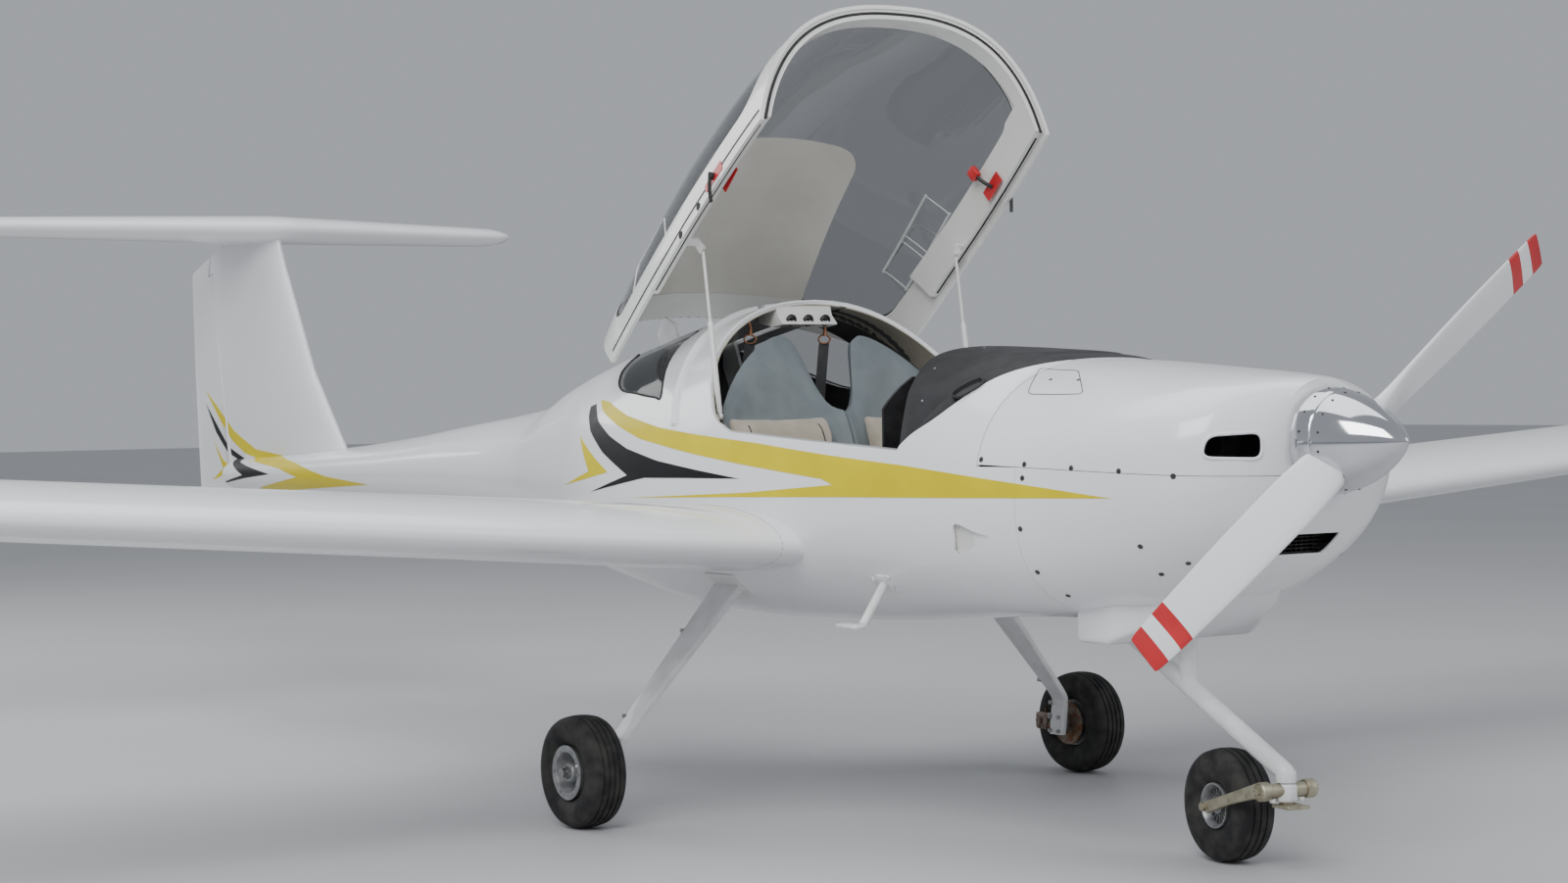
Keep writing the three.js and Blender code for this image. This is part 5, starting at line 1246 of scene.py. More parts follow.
hood = {"top": [(1.700, 1.360), (1.742, 1.366), (1.812, 1.385), (1.926, 1.388), (2.103, 1.382),
                (2.316, 1.369),
                (2.450, 1.352), (2.540, 1.338)],
        "power": [(1.7, 2.4), (2.2, 2.4), (2.335, 2.8), (2.452, 2.6), (2.54, 2.4)],
        "rear": [(2.000, 0.06), (2.008, 0.16), (2.035, 0.26), (2.080, 0.34), (2.130, 0.42), (2.178, 0.50),
                 (2.205, 0.58)],
        "thick": 0.005, "wide": 0.955,
        "screws": [(2.196, 0.453), (2.110, 0.340), (2.060, 0.120)]}


def hoodRing(x, inset, around=128):
    half = between(bodyStations, x)[4] - 0.006 - inset
    top = between([(a, b) for a, b in hood["top"]], x)[1] - inset
    power = 2 / between(hood["power"], x)[1]
    ring = []
    for i in range(around):
        angle = math.tau * (i + 0.5) / around
        c, s = math.cos(angle), math.sin(angle)
        height = top - hood["wide"] if s > 0 else 0.2
        ring.append((x, half * math.copysign(abs(c) ** power, c),
                     hood["wide"] + height * math.copysign(abs(s) ** power, s)))
    return ring


def hoodZ(x, y, inset=0.0):
    half = between(bodyStations, x)[4] - 0.006 - inset
    top = between(hood["top"], x)[1] - inset
    power = between(hood["power"], x)[1]
    return hood["wide"] + (top - hood["wide"]) * (1 - min(abs(y) / half, 1) ** power) ** (1 / power)


def hoodNormal(x, y):
    d = 0.004
    slopeX = (hoodZ(x + d, y) - hoodZ(x - d, y)) / (2 * d)
    slopeY = (hoodZ(x, y + d) - hoodZ(x, y - d)) / (2 * d)
    return Vector((-slopeX, -slopeY, 1)).normalized()


# The hood lies just inside the skin ahead of the canopy, and inside the canopy's rim behind its front line.
def hoodLimit(inset, grow):
    limit = boolean(bodyLoft("limit", 1.6, 2.6, inset), canopyRegion("region", grow))
    return boolean(limit, bodyLoft("limitDeep", 1.6, 2.6, inset + 0.0320), "UNION")


def makeGlareshield():
    xs = [1.70 + 0.02 * i for i in range(42)]
    shell = wrappedGrid("glareshieldHood", [hoodRing(x, 0) for x in xs])
    boolean(shell, hoodLimit(0.0035, 0.010), "INTERSECT")
    inner = wrappedGrid("inner", [hoodRing(x, hood["thick"]) for x in [1.68] + xs[1:-1] + [2.56]])
    boolean(inner, hoodLimit(0.0085, 0.015), "INTERSECT")
    boolean(shell, inner)
    boolean(shell, block("below", 1.6, 2.6, -0.7, 0.7, 0.6, 1.075))
    edge = [(x, -y) for x, y in hood["rear"][::-1]] + hood["rear"]
    boolean(shell, prism("edge", smoothLine(edge, 6) + [(2.6, 0.60), (2.6, -0.60)], "Z", 0.9, topZ),
            "INTERSECT")
    rims, backs, dots = [], [], []
    for side in (-1, 1):
        # Oval outlet: a hole through the hood, a dark cup behind it, and a raised rim.
        centre = Vector((2.372, side * 0.408, hoodZ(2.372, 0.408)))
        up = hoodNormal(2.372, side * 0.408)
        across = Vector((0.55, -side * 0.62, 0.56))
        across = (across - up * across.dot(up)).normalized()
        other = up.cross(across)
        rim = []
        for i in range(40):
            angle = math.tau * i / 40
            c, s = math.cos(angle), math.sin(angle)
            rim.append(centre + across * 0.047 * math.copysign(abs(c) ** 0.8, c)
                       + other * 0.021 * math.copysign(abs(s) ** 0.8, s))
        hole = wrappedGrid("hole", [[p + up * h for p in rim] for h in (-0.03, 0.03)])
        boolean(shell, hole)
        cup = wrappedGrid("cup", [[centre + (p - centre) * g - up * h for p in rim]
                                  for g, h in ((1.04, 0.004), (1.0, 0.010), (0.86, 0.020), (0.5, 0.024))])
        backs.append(cup)
        rims.append(tube("rim", [p + up * 0.001 for p in rim] + [rim[0] + up * 0.001], 0.0035, 3))
        for x, y in hood["screws"]:
            place = Vector((x + 0.02, side * (y - 0.01), hoodZ(x + 0.02, y - 0.01)))
            dots.append(turned("screw", [(0, 0), (0, 0.0035), (0.0012, 0.0032), (0.002, 0.002), (0.0022, 0)],
                               place, hoodNormal(x, side * y), 12))
    bevel(shell, 0.0015, 2, 50)
    finish(shell, "airframe", paints["blackVinyl"], "black_vinyl", "glareshield")
    assemble("hoodRims", rims, "blackVinyl", "black_vinyl")
    assemble("hoodCups", backs, "blackPlastic", "black_vinyl")
    assemble("hoodScrews", dots, "steel", "bare_steel")


panel = {"x": (2.053, 2.062), "half": 0.46, "z": (0.935, 1.30), "faceX": 2.0535, "markX": 2.0498,
         "handX": 2.0495,
         # y, z and radius of each round dial
         "dials": [(y, z, 0.040) for z in (1.235, 1.140) for y in (-0.31, -0.215, -0.12)]
         + [(y, z, 0.028) for z in (1.24, 1.17, 1.10) for y in (0.24, 0.31)]
         + [(-0.31, 1.045, 0.04), (-0.12, 1.045, 0.04)],
         "radioZ": (1.245, 1.19, 1.135, 1.08), "radioY": (-0.055, 0.125), "screenY": (-0.015, 0.085),
         "knobY": (-0.037, 0.107), "knob": [(0, 0), (0, 0.009), (0.014, 0.0075), (0.015, 0)],
         "switches": [-0.36 + 0.034 * k for k in range(8)]}


def makeDial(y, z, radius):
    profile = [(0, 0.84), (0, 1), (0.006, 0.97), (0.008, 0.9), (0.006, 0.84)]
    bezel = turned("bezel", [(along, radius * share) for along, share in profile], (panel["faceX"], y, z),
                   (-1, 0, 0), 32)
    dial = turned("dial", [(0, 0), (0, radius * 0.86), (0.003, radius * 0.86), (0.003, 0)],
                  (panel["faceX"], y, z), (-1, 0, 0), 32)
    marks = []
    for k in range(12):
        angle = math.tau * k / 12
        arm = Vector((0, math.cos(angle), math.sin(angle)))
        start = Vector((panel["markX"], y, z)) + arm * radius * 0.66
        marks.append(rod("mark", start, start + arm * radius * 0.13, 0.0009, sides=6))
    centre = Vector((panel["handX"], y, z))
    hand = Vector((0, math.cos(y * 40), math.sin(y * 40)))
    marks.append(rod("hand", centre, centre + hand * radius * 0.6, 0.0011, sides=6))
    return bezel, dial, marks


def makePanelFace():
    plate = block("panelPlate", *panel["x"], -panel["half"], panel["half"], *panel["z"])
    boolean(plate, wrappedGrid("room", [hoodRing(x, 0.012) for x in (1.9, 2.0, 2.1, 2.2)]), "INTERSECT")
    bevel(plate, 0.002)
    finish(plate, "airframe", paints["blackPlastic"], "black_vinyl", "instrument_panel")
    bezels, dials, marks = [], [], []
    for place in panel["dials"]:
        bezel, dial, lines = makeDial(*place)
        bezels.append(bezel)
        dials.append(dial)
        marks += lines
    for z in panel["radioZ"]:
        bezels.append(bevel(block("radio", 2.040, 2.054, *panel["radioY"], z - 0.022, z + 0.022), 0.003))
        dials.append(block("screen", 2.0385, 2.041, *panel["screenY"], z - 0.012, z + 0.012))
        for y in panel["knobY"]:
            bezels.append(turned("knob", panel["knob"], (2.040, y, z), (-1, 0, 0), 20))
    for y in panel["switches"]:
        bezels.append(rod("switch", (2.053, y, 0.985), (2.036, y, 0.992), 0.004, 0.003, 10))
    assemble("panelBezels", bezels, "blackVinyl", "black_vinyl")
    assemble("panelDials", dials, "blackPlastic", "black_vinyl")
    assemble("panelMarks", marks, "whitePaint", "white_paint")


makeGlareshield()
makePanelFace()
print("hood made")


# Seats: moulded grey shells, each half of one form with a low neck between the two backs.

seat = {"middle": 0.256, "inner": 0.003, "outer": 0.490, "thick": 0.022,
        # the line down the back and along the pan, x and z
        "profile": [(1.955, 0.768), (1.900, 0.730), (1.730, 0.694), (1.560, 0.656), (1.470, 0.650),
                    (1.400, 0.676),
                    (1.362, 0.742), (1.318, 0.870), (1.258, 1.070), (1.205, 1.250), (1.146, 1.432)],
        # how high the back reaches at each place across, from the inner edge to the outer one
        "crest": [(0.000, 1.195), (0.040, 1.212), (0.075, 1.262), (0.110, 1.335), (0.145, 1.385),
                  (0.180, 1.412),
                  (0.215, 1.422), (0.256, 1.430), (0.300, 1.424), (0.345, 1.400), (0.385, 1.356),
                  (0.415, 1.296),
                  (0.440, 1.215), (0.462, 1.110), (0.480, 1.000), (0.490, 0.920)]}


def profilePoint(length):
    rows = smoothSeat
    for a, b in zip(rows, rows[1:]):
        step = math.dist(a, b)
        if length <= step:
            return lineTo(a, b, length / step)
        length -= step
    return rows[-1]


smoothSeat = smoothLine(seat["profile"], 8)


def profileLength(z):
    total = 0
    for a, b in zip(smoothSeat, smoothSeat[1:]):
        step = math.dist(a, b)
        if b[1] > z and b[0] < 1.40:
            return total + step * (z - a[1]) / (b[1] - a[1])
        total += step
    return total


def makeSeat(side, label):
    columns, rows = 30, 44
    deselectAll()
    bpy.ops.mesh.primitive_grid_add(x_subdivisions=columns, y_subdivisions=rows, size=1)
    obj = named(f"seatShell{label}")
    flat = []
    for r in range(rows + 1):
        for c in range(columns + 1):
            y = seat["inner"] + (seat["outer"] - seat["inner"]) * c / columns
            reach = profileLength(between(seat["crest"], y)[1])
            x, z = profilePoint(reach * r / rows)
            across = (y - seat["middle"]) / (seat["outer"] - seat["middle"])
            edge = abs(across) ** 3
            onBack = min(max((z - 0.70) / 0.25, 0), 1) * (1 if x < 1.45 else 0)
            # The sides curl forward on the back and up on the pan; the top rim rolls rearward.
            x += 0.060 * edge * onBack * (1 if across > 0 else 0.75)
            z += 0.035 * edge * (1 - onBack)
            rim = max(r / rows - 0.90, 0) / 0.10
            x -= 0.020 * rim * rim * onBack
            room = bodySideY(x, z, 0.045) / seat["outer"]
            flat.extend((x, side * y * min(room, 1), z))
    obj.data.vertices.foreach_set("co", flat)
    pick(obj)
    modifier = obj.modifiers.new("thickness", "SOLIDIFY")
    modifier.thickness = seat["thick"]
    modifier.offset = 0
    bpy.ops.object.modifier_apply(modifier=modifier.name)
    bevel(obj, 0.009, 4, 60)
    edit(obj)
    bpy.ops.mesh.normals_make_consistent(inside=False)
    leaveEdit()
    return finish(obj, "airframe", paints["seatShell"], "seat_shell", f"seat_{label.lower()}", angle=60)


# Cushions: a seat pad and a back pad, blown up slightly as cloth, with a dark piped seam.
cushion = {"half": 0.188, "voxel": 0.007, "cap": 0.014,
           # outlines in side view, lower edge first
           "pan": [(1.905, 0.748), (1.560, 0.676), (1.470, 0.672), (1.450, 0.728), (1.560, 0.742),
                   (1.890, 0.812)],
           "back": [(1.392, 0.735), (1.230, 1.130), (1.206, 1.180), (1.262, 1.192), (1.300, 1.140),
                    (1.452, 0.745)],
           "centreY": 0.256}


def makePad(name, outline):
    pad = prism(name, rounded(outline, 0.022, 4), "Y", cushion["centreY"] - cushion["half"],
                cushion["centreY"] + cushion["half"])
    bevel(pad, 0.020, 4, 50)
    pick(pad)
    remesh = pad.modifiers.new("remesh", "REMESH")
    remesh.mode = "VOXEL"
    remesh.voxel_size = cushion["voxel"]
    bpy.ops.object.modifier_apply(modifier=remesh.name)
    before = [vertex.co.copy() for vertex in pad.data.vertices]
    cloth = pad.modifiers.new("cloth", "CLOTH")
    cloth.settings.use_pressure = True
    cloth.settings.uniform_pressure_force = 4
    cloth.settings.effector_weights.gravity = 0
    for step in range(1, 21):
        bpy.context.scene.frame_set(step)
    bpy.ops.object.modifier_apply(modifier=cloth.name)
    bpy.context.scene.frame_set(1)
    for vertex, start in zip(pad.data.vertices, before):
        travel = vertex.co - start
        if travel.length > cushion["cap"]:
            vertex.co = start + travel.normalized() * cushion["cap"]
    pick(pad)
    smooth = pad.modifiers.new("smooth", "SMOOTH")
    smooth.factor = 0.5
    smooth.iterations = 6
    bpy.ops.object.modifier_apply(modifier=smooth.name)
    return pad


# A seam follows the pad's own surface: the nearest point on it for each point of a flat line.
def seamOn(pad, points, radius):
    pad.data.update()
    line = []
    for point in points:
        _, place, normal, _ = pad.closest_point_on_mesh(Vector(point))
        line.append(place + normal * radius * 0.2)
    return tube("seam", line, radius, 2)


def makeCushions():
    left, right = cushion["centreY"] - cushion["half"], cushion["centreY"] + cushion["half"]
    for part, outline in (("Pan", cushion["pan"]), ("Back", cushion["back"])):
        pad = makePad(f"cushion{part}", outline)
        a, b = (1.90, 0.85), (1.45, 0.75)
        if part == "Back":
            a, b = (1.52, 0.80), (1.33, 1.20)
        seams = []
        for y in (left + 0.055, right - 0.055):
            line = [lineTo(a, b, i / 16) for i in range(17)]
            seams.append(seamOn(pad, [(x, y, z) for x, z in line], 0.0022))
        for t in (0.33, 0.66):
            x, z = lineTo(a, b, t)
            seams.append(seamOn(pad, [(x, left + 0.05 + (right - left - 0.10) * i / 14, z)
                                      for i in range(15)], 0.0018))
        seam = join("cushionSeams", seams)
        for side, label in ((1, "Left"), (-1, "Right")):
            piece = copyOf(pad, f"cushion{part}{label}") if side > 0 else mirrorCopy(pad,
                                                                                     f"cushion{part}{label}")
            finish(piece, "airframe", paints["cushionCloth"], "cushion_cloth", f"cushion_{label.lower()}",
                   angle=80)
            line = copyOf(seam, f"seams{part}{label}") if side > 0 else mirrorCopy(seam,
                                                                                   f"seams{part}{label}")
            finish(line, "airframe", paints["seal"], "cushion_cloth")
        bpy.data.objects.remove(pad)
        bpy.data.objects.remove(seam)


for side, label in sides:
    makeSeat(side, label)
makeCushions()
print("seats made")


# Overhead panel with three round outlets, harness straps with their hooks, and gas struts.

overhead = {"outline": [(1.118, 1.500), (1.150, 1.470), (1.090, 1.462), (1.016, 1.478), (1.016, 1.538),
                        (1.110, 1.530)],
            "y": (-0.150, 0.060), "outletY": (-0.110, -0.045, 0.020), "outletX": 1.133, "outletZ": 1.484,
            "facing": (1, 0, -0.35), "hub": [(0, 0), (0, 0.0075), (0.006, 0.006), (0.007, 0)],
            "ring": [(0, 0.008), (0, 0.019), (0.005, 0.019), (0.010, 0.015), (0.008, 0.012), (0.002, 0.009)]}


def makeOverhead():
    box = prism("overheadPanel", rounded(overhead["outline"], 0.008, 3), "Y", *overhead["y"])
    bevel(box, 0.004, 2, 50)
    boolean(box, bodyLoft("room", 0.9, 1.3, 0.013), "INTERSECT")
    finish(box, "airframe", paints["framePaint"], "white_paint", "overhead_panel")
    rings = []
    for y in overhead["outletY"]:
        place = (overhead["outletX"], y, overhead["outletZ"])
        rings.append(turned("outlet", overhead["ring"], place, overhead["facing"], 32))
        rings.append(turned("outletHub", overhead["hub"], place, overhead["facing"], 24))
    assemble("overheadOutlets", rings, "blackPlastic", "black_vinyl")


def makeStrap(name, points, width, thick):
    rings = []
    line = smoothLine(points, 6)
    for i, point in enumerate(line):
        here = Vector(point)
        ahead = Vector(line[min(i + 1, len(line) - 1)]) - Vector(line[max(i - 1, 0)])
        out = ahead.cross(Vector((0, 1, 0))).normalized() * thick / 2
        wide = Vector((0, width / 2, 0))
        rings.append([here + wide + out, here + out, here - wide + out, here - wide - out, here - out,
                      here + wide - out])
    return wrappedGrid(name, rings)


harness = {"y": (-0.235, 0.050), "width": 0.038, "thick": 0.003,
           # x and z down the strap
           "strap": [(1.088, 1.412), (1.076, 1.340), (1.060, 1.220), (1.050, 1.080), (1.070, 0.900)],
           # x, step in y, and z up the hook
           "hook": [(1.092, 0, 1.437), (1.093, 0.006, 1.450), (1.092, 0, 1.464), (1.090, -0.004, 1.478)],
           "body": [(0, 0), (0, 0.006), (0.018, 0.0045), (0.020, 0)]}


def makeHarness():
    straps, hooks = [], []
    for y in harness["y"]:
        straps.append(makeStrap("harnessStrap", [(x, y, z) for x, z in harness["strap"]], harness["width"],
                                harness["thick"]))
        ring = [(1.090 + 0.004 * math.cos(a), y + 0.020 * math.cos(a), 1.425 + 0.014 * math.sin(a))
                for a in [math.tau * i / 16 for i in range(17)]]
        hooks.append(tube("hookRing", ring, 0.0028, 3))
        hooks.append(tube("hook", [(x, y + dy, z) for x, dy, z in harness["hook"]], 0.0042, 4))
        hooks.append(turned("hookBody", harness["body"], (1.0915, y, 1.436), (0, 0, 1), 16))
    assemble("harnessStraps", straps, "strapWeb", "black_vinyl")
    assemble("harnessHooks", hooks, "copper", "bare_steel")


# The struts ride in two parts: the tube on its pin and the rod that slides out of it.
def makeGasStruts():
    foot, eye = Vector((1.290, 0.486, 1.190)), Vector((1.209, 0.486, 1.698))
    for side, label in sides:
        a, b = Vector((foot.x, side * foot.y, foot.z)), Vector((eye.x, side * eye.y, eye.z))
        d = b - a
        length = d.length
        body = turned("tube", [(0.010, 0.0056), (0.010, 0.0072), (0.016, 0.0085), (length * 0.55, 0.0085),
                               (length * 0.56, 0.0074), (length * 0.56, 0.0056)], a, d, 24)
        ends = turned("eye", [(-0.0053, 0.0046), (-0.0053, 0.0095), (-0.003, 0.011), (0.003, 0.011),
                              (0.0053, 0.0095),
                              (0.0053, 0.0046)], a, (0, 1, 0), 24)
        finish(join(f"strutTube{label}", [body, ends]), f"strut_tube_{label[0].lower()}",
               paints["framePaint"],
               "gear_paint", f"strut_tube_{label.lower()}")
        bar = turned("bar", [(length * 0.33, 0), (length * 0.33, 0.0048), (length - 0.012, 0.0048),
                             (length - 0.012, 0)], a, d, 20)
        eyeEnd = turned("eye", [(-0.0053, 0), (-0.0053, 0.0080), (-0.0028, 0.0095), (0.0028, 0.0095),
                                (0.0053, 0.0080),
                                (0.0053, 0)], b, (0, 1, 0), 24)
        finish(join(f"strutRod{label}", [bar, eyeEnd]), f"strut_rod_{label[0].lower()}", paints["framePaint"],
               "polished_metal", f"strut_rod_{label.lower()}")


makeOverhead()
makeHarness()
makeGasStruts()
print("cabin made")


# Canopy fittings: vent holes, the small sliding window and the document holder on the far side.

def makeCanopyFittings():
    holes, frames = [], []
    for x, z in ((1.826, 1.128), (1.704, 1.136)):
        for side in (-1, 1):
            place = canopySide(x, z, side, 0.0165)
            holes.append(turned("ventHole", [(0, 0), (0, 0.013), (0.0022, 0.012), (0.0026, 0)], place,
                                (0, side, 0.16), 24))
    openCanopy(join("canopyVents", holes), paints["seal"], "black_vinyl")
    for side in (-1, 1):
        outline = rounded([(1.36, 1.235), (1.62, 1.222), (1.60, 1.335), (1.38, 1.348)], 0.02, 4)
        line = [canopySide(x, z, side, 0.0158) for x, z in outline]
        frames.append(tube("slidingWindow", line + [line[0]], 0.0028, 3, False))
    rails = []
    for z in (1.255, 1.340):
        line = [canopySide(1.38 + 0.34 * i / 10, z, 1, 0.004) for i in range(11)]
        rails.append(tube("holderRail", line, 0.0045, 3))
    for x in (1.385, 1.520, 1.545, 1.715):
        line = [canopySide(x, 1.255 + 0.085 * i / 5, 1, 0.005) for i in range(6)]
        rails.append(tube("holderBar", line, 0.0022, 3))
    openCanopy(join("canopyFrames", frames + rails), paints["clearPlastic"], "tinted_glass")


makeCanopyFittings()


# Cowl details: screws, the inlets' lips, dark ducts behind them, the oil door and the flush inlet.

cowlDetail = {
    # x and z of the quarter-turn screws on each side
    "screws": [(2.524, 1.076), (2.681, 1.065), (2.847, 1.057), (3.002, 1.051), (3.150, 1.039), (2.678, 1.029),
               (2.666, 0.896), (2.677, 0.781), (2.708, 0.717), (3.015, 0.858), (3.011, 0.784),
               (3.086, 0.814)],
    "oilDoor": [(2.571, 0.366), (2.774, 0.348), (2.623, 0.232), (2.482, 0.243)]}


def sideNormal(x, z, side):
    d = 0.004
    slopeX = (bodySideY(x + d, z) - bodySideY(x - d, z)) / (2 * d)
    slopeZ = (bodySideY(x, z + d) - bodySideY(x, z - d)) / (2 * d)
    return Vector((-slopeX, side, -slopeZ)).normalized()


def topZAt(x, y):
    _, top, _, wide, half, upper, _ = between(bodyStations, x)
    return wide + (top - wide) * (1 - min(abs(y) / half, 1) ** upper) ** (1 / upper)


def makeScrew(place, normal, radius=0.0075):
    head = turned("screw", [(-0.002, 0), (-0.002, radius), (0.0004, radius), (0.0014, radius * 0.86),
                            (0.0016, radius * 0.3), (0.0006, radius * 0.22), (0.0006, 0)], place, normal, 20)
    return head


# How far forward the cowl reaches at a place on its front, by halving the distance.
def frontX(y, z):
    low, high = 2.9, 3.2999
    for _ in range(30):
        middle = (low + high) / 2
        _, top, bottom, *_ = between(bodyStations, middle)
        if bottom < z < top and bodySideY(middle, z) > abs(y):
            low = middle
        else:
            high = middle
    return low


def makeCowlDetails():
    screws = []
    for x, z in cowlDetail["screws"]:
        for side in (-1, 1):
            screws.append(makeScrew((x, side * bodySideY(x, z), z), sideNormal(x, z, side)))
    assemble("cowlScrews", screws, "darkSteel", "bare_steel")
    # Raised lips round the cooling inlets, and the ducts that lead in from them.
    lips, ducts = [], []
    for side in (-1, 1):
        outline = rounded([(side * y, z) for y, z in cowl["inlet"]], 0.026, 6)
        line = [(frontX(y, z), y, z) for y, z in outline]
        lips.append(tube("inletLip", line + [line[0]], 0.0045, 3, False))
        duct = prism("duct", [(y * 0.97, 1.112 + (z - 1.112) * 0.9) for y, z in outline], "X", 3.02, 3.13)
        ducts.append(duct)
    outline = rounded(cowl["chin"], 0.016, 6)
    line = [(frontX(y, z), y, z) for y, z in outline]
    lips.append(tube("chinLip", line + [line[0]], 0.0040, 3, False))
    ducts.append(prism("chinDuct", outline, "X", 3.05, 3.10))
    assemble("inletLips", lips, "whitePaint", "white_paint")
    assemble("inletDucts", ducts, "blackPlastic", "black_vinyl")
    # Cooler fins in the chin inlet.
    fins = []
    for i in range(6):
        z = 0.834 + 0.0095 * i
        fins.append(block("fin", 3.10, 3.185, -0.088 - 0.0035 * i, 0.088 + 0.0035 * i, z, z + 0.0016))
    for i in range(9):
        y = -0.080 + 0.020 * i
        fins.append(block("pipe", 3.10, 3.175, y - 0.0012, y + 0.0012, 0.832, 0.886))
    assemble("coolerFins", fins, "engineMetal", "engine_metal")
    # The oil door on the right of the upper cowl, drawn by a fine dark line.
    grooves = []
    corners = rounded(cowlDetail["oilDoor"], 0.02, 4)
    line = []
    for (x0, y0), (x1, y1) in zip(corners, corners[1:] + corners[:1]):
        for i in range(4):
            x, y = lineTo((x0, y0), (x1, y1), i / 4)
            line.append((x, -y, topZAt(x, y)))
    grooves.append(tube("oilDoor", line + [line[0]], 0.0013, 2, False))
    for x, y in ((2.590, 0.300), (2.690, 0.290)):
        grooves.append(makeScrew((x, -y, topZAt(x, y)), (0.05, -0.5, 0.85), 0.005))
    assemble("oilDoorLine", grooves, "darkSteel", "bare_steel")
    # The cup behind each flush inlet, with its slanted floor.
    cups = []
    for side in (-1, 1):
        cup = wrappedGrid("cup", [flushRing(side, 1.12, 0.004, False), flushRing(side, 1.12, 0.006)])
        cups.append(boolean(cup, wrappedGrid("wedge",
                                             [flushRing(side, 1, -0.02, False), flushRing(side, 1, 0)])))
    assemble("flushInlets", cups, "framePaint", "white_paint")


def makeSpinnerDetails():
    dots = []
    for k in range(16):
        angle = math.tau * (k + 0.5) / 16
        length = spinner["tipX"] - spinner["baseX"]
        for t in (0.10, 0.30):
            radius = spinnerRadius(t)
            slope = (spinnerRadius(t + 0.01) - radius) / (0.01 * length)
            out = Vector((-slope, math.cos(angle), math.sin(angle)))
            place = (spinner["baseX"] + length * t, radius * math.cos(angle),
                     spinner["axisZ"] + radius * math.sin(angle))
            near = min(abs((angle - turn + math.pi) % math.tau - math.pi)
                       for turn in (propeller["parked"], propeller["parked"] + math.pi))
            if t > 0.2 or near > 0.5:
                dots.append(makeScrew(place, out, 0.0036))
    finish(join("spinnerScrews", dots), "propeller_group", paints["darkSteel"], "polished_metal")


makeCowlDetails()
makeSpinnerDetails()
print("cowl details made")


# Main gear: sprung legs, hubs with brake discs, grooved tyres, calipers and brake lines.

mainWheel = {"x": 1.253, "y": 0.9595, "radius": 0.164, "width": 0.118, "rim": 0.079, "axle": 0.015,
             "rimGap": 0.0006, "bore": 0.0152, "grooves": (0.027, 0.009, -0.009, -0.027), "bolts": 6,
             # radius of the bolts' circle, where each bolt starts and ends along the axle, and its radius
             "boltRows": [(0.067, 0.055, 0.0605, 0.0048), (0.041, 0.018, 0.026, 0.0045)]}
# x, y, z, width, thickness, lean of the leg's thickness in degrees
mainLeg = [(1.310, 0.400, 0.762, 0.146, 0.028, 33), (1.306, 0.470, 0.684, 0.138, 0.028, 33),
           (1.300, 0.552, 0.590, 0.122, 0.025, 33), (1.288, 0.712, 0.410, 0.090, 0.022, 33),
           (1.280, 0.832, 0.272, 0.066, 0.022, 30), (1.270, 0.852, 0.235, 0.062, 0.022, 12),
           (1.262, 0.856, 0.198, 0.062, 0.024, 0), (1.254, 0.856, 0.130, 0.060, 0.024, 0)]
brake = {"faceY": 0.868, "flangeRadius": 0.038, "axleEndY": 1.034}


def legRow(t):
    count = len(mainLeg) - 1
    i = min(int(t * count), count - 1)
    f = t * count - i
    rows = [mainLeg[max(i - 1, 0)], mainLeg[i], mainLeg[i + 1], mainLeg[min(i + 2, count)]]
    return [0.5 * (2 * b + (c - a) * f + (2 * a - 5 * b + 4 * c - d) * f * f
                   + (3 * b - a - 3 * c + d) * f ** 3)
            for a, b, c, d in zip(*rows)]


def makeMainLeg(side, label):
    rings = []
    for k in range(57):
        x, y, z, width, thick, lean = legRow(k / 56)
        lean = math.radians(lean)
        ring = []
        for i in range(32):
            angle = math.tau * i / 32
            a = math.copysign(abs(math.cos(angle)) ** 0.3, math.cos(angle)) * width / 2
            b = math.copysign(abs(math.sin(angle)) ** 0.3, math.sin(angle)) * thick / 2
            ring.append((x + a, side * (y + b * math.cos(lean)), z + b * math.sin(lean)))
        rings.append(ring)
    leg = wrappedGrid(f"mainLeg{label}", rings)
    boolean(leg, bodyLoft("bodyRoom", 0.9, 1.7, 0.004))
    finish(leg, "airframe", paints["legPaint"], "gear_paint", f"main_leg_{label.lower()}", angle=50)
    # Root plate under the body, brake line down the rear edge with its clips, and bolts at the foot.
    x, y, _, width, thick, _ = legRow(0.155)
    ring = rounded([(x - width / 2 - 0.016, y - 0.045), (x + width / 2 + 0.016, y - 0.045),
                    (x + width / 2 + 0.016, y + 0.040), (x - width / 2 - 0.016, y + 0.040)], 0.018, 4)
    plate = prism("rootPlate", [(a, side * b) for a, b in ring], "Z", 0.56, 0.72)
    boolean(plate, bodyShell("skin", 1.1, 1.5, -0.0035, 0.003), "INTERSECT")
    assemble(f"rootPlate{label}", [plate], "framePaint", "white_paint")
    line, clips = [], []
    for k in range(15):
        x, y, z, width, thick, _ = legRow(0.22 + 0.70 * k / 14)
        line.append((x - width / 2 - 0.0035, side * y, z))
        if k in (2, 6, 10, 13):
            clips.append(bevel(block("clip", x - width / 2 - 0.009, x - width / 2 + 0.008, side * y - 0.016,
                                     side * y + 0.016,
                                     z - 0.006, z + 0.006), 0.0015))
    line += [(1.205, side * 0.858, 0.178), (1.180, side * 0.866, 0.160)]
    finish(tube(f"brakeLine{label}", line, 0.0034, 3), "airframe", paints["blackPlastic"], "black_vinyl")
    assemble(f"brakeClips{label}", clips, "steel", "bare_steel")
    bolts = []
    for dx, dz in ((-0.021, 0.024), (0.021, 0.024), (-0.021, -0.022), (0.021, -0.022)):
        bolts.append(rod("bolt", (mainWheel["x"] + dx, side * 0.836, mainWheel["radius"] + dz),
                         (mainWheel["x"] + dx, side * 0.846, mainWheel["radius"] + dz), 0.0065, sides=6))
    assemble(f"footBolts{label}", bolts, "steel", "bare_steel")


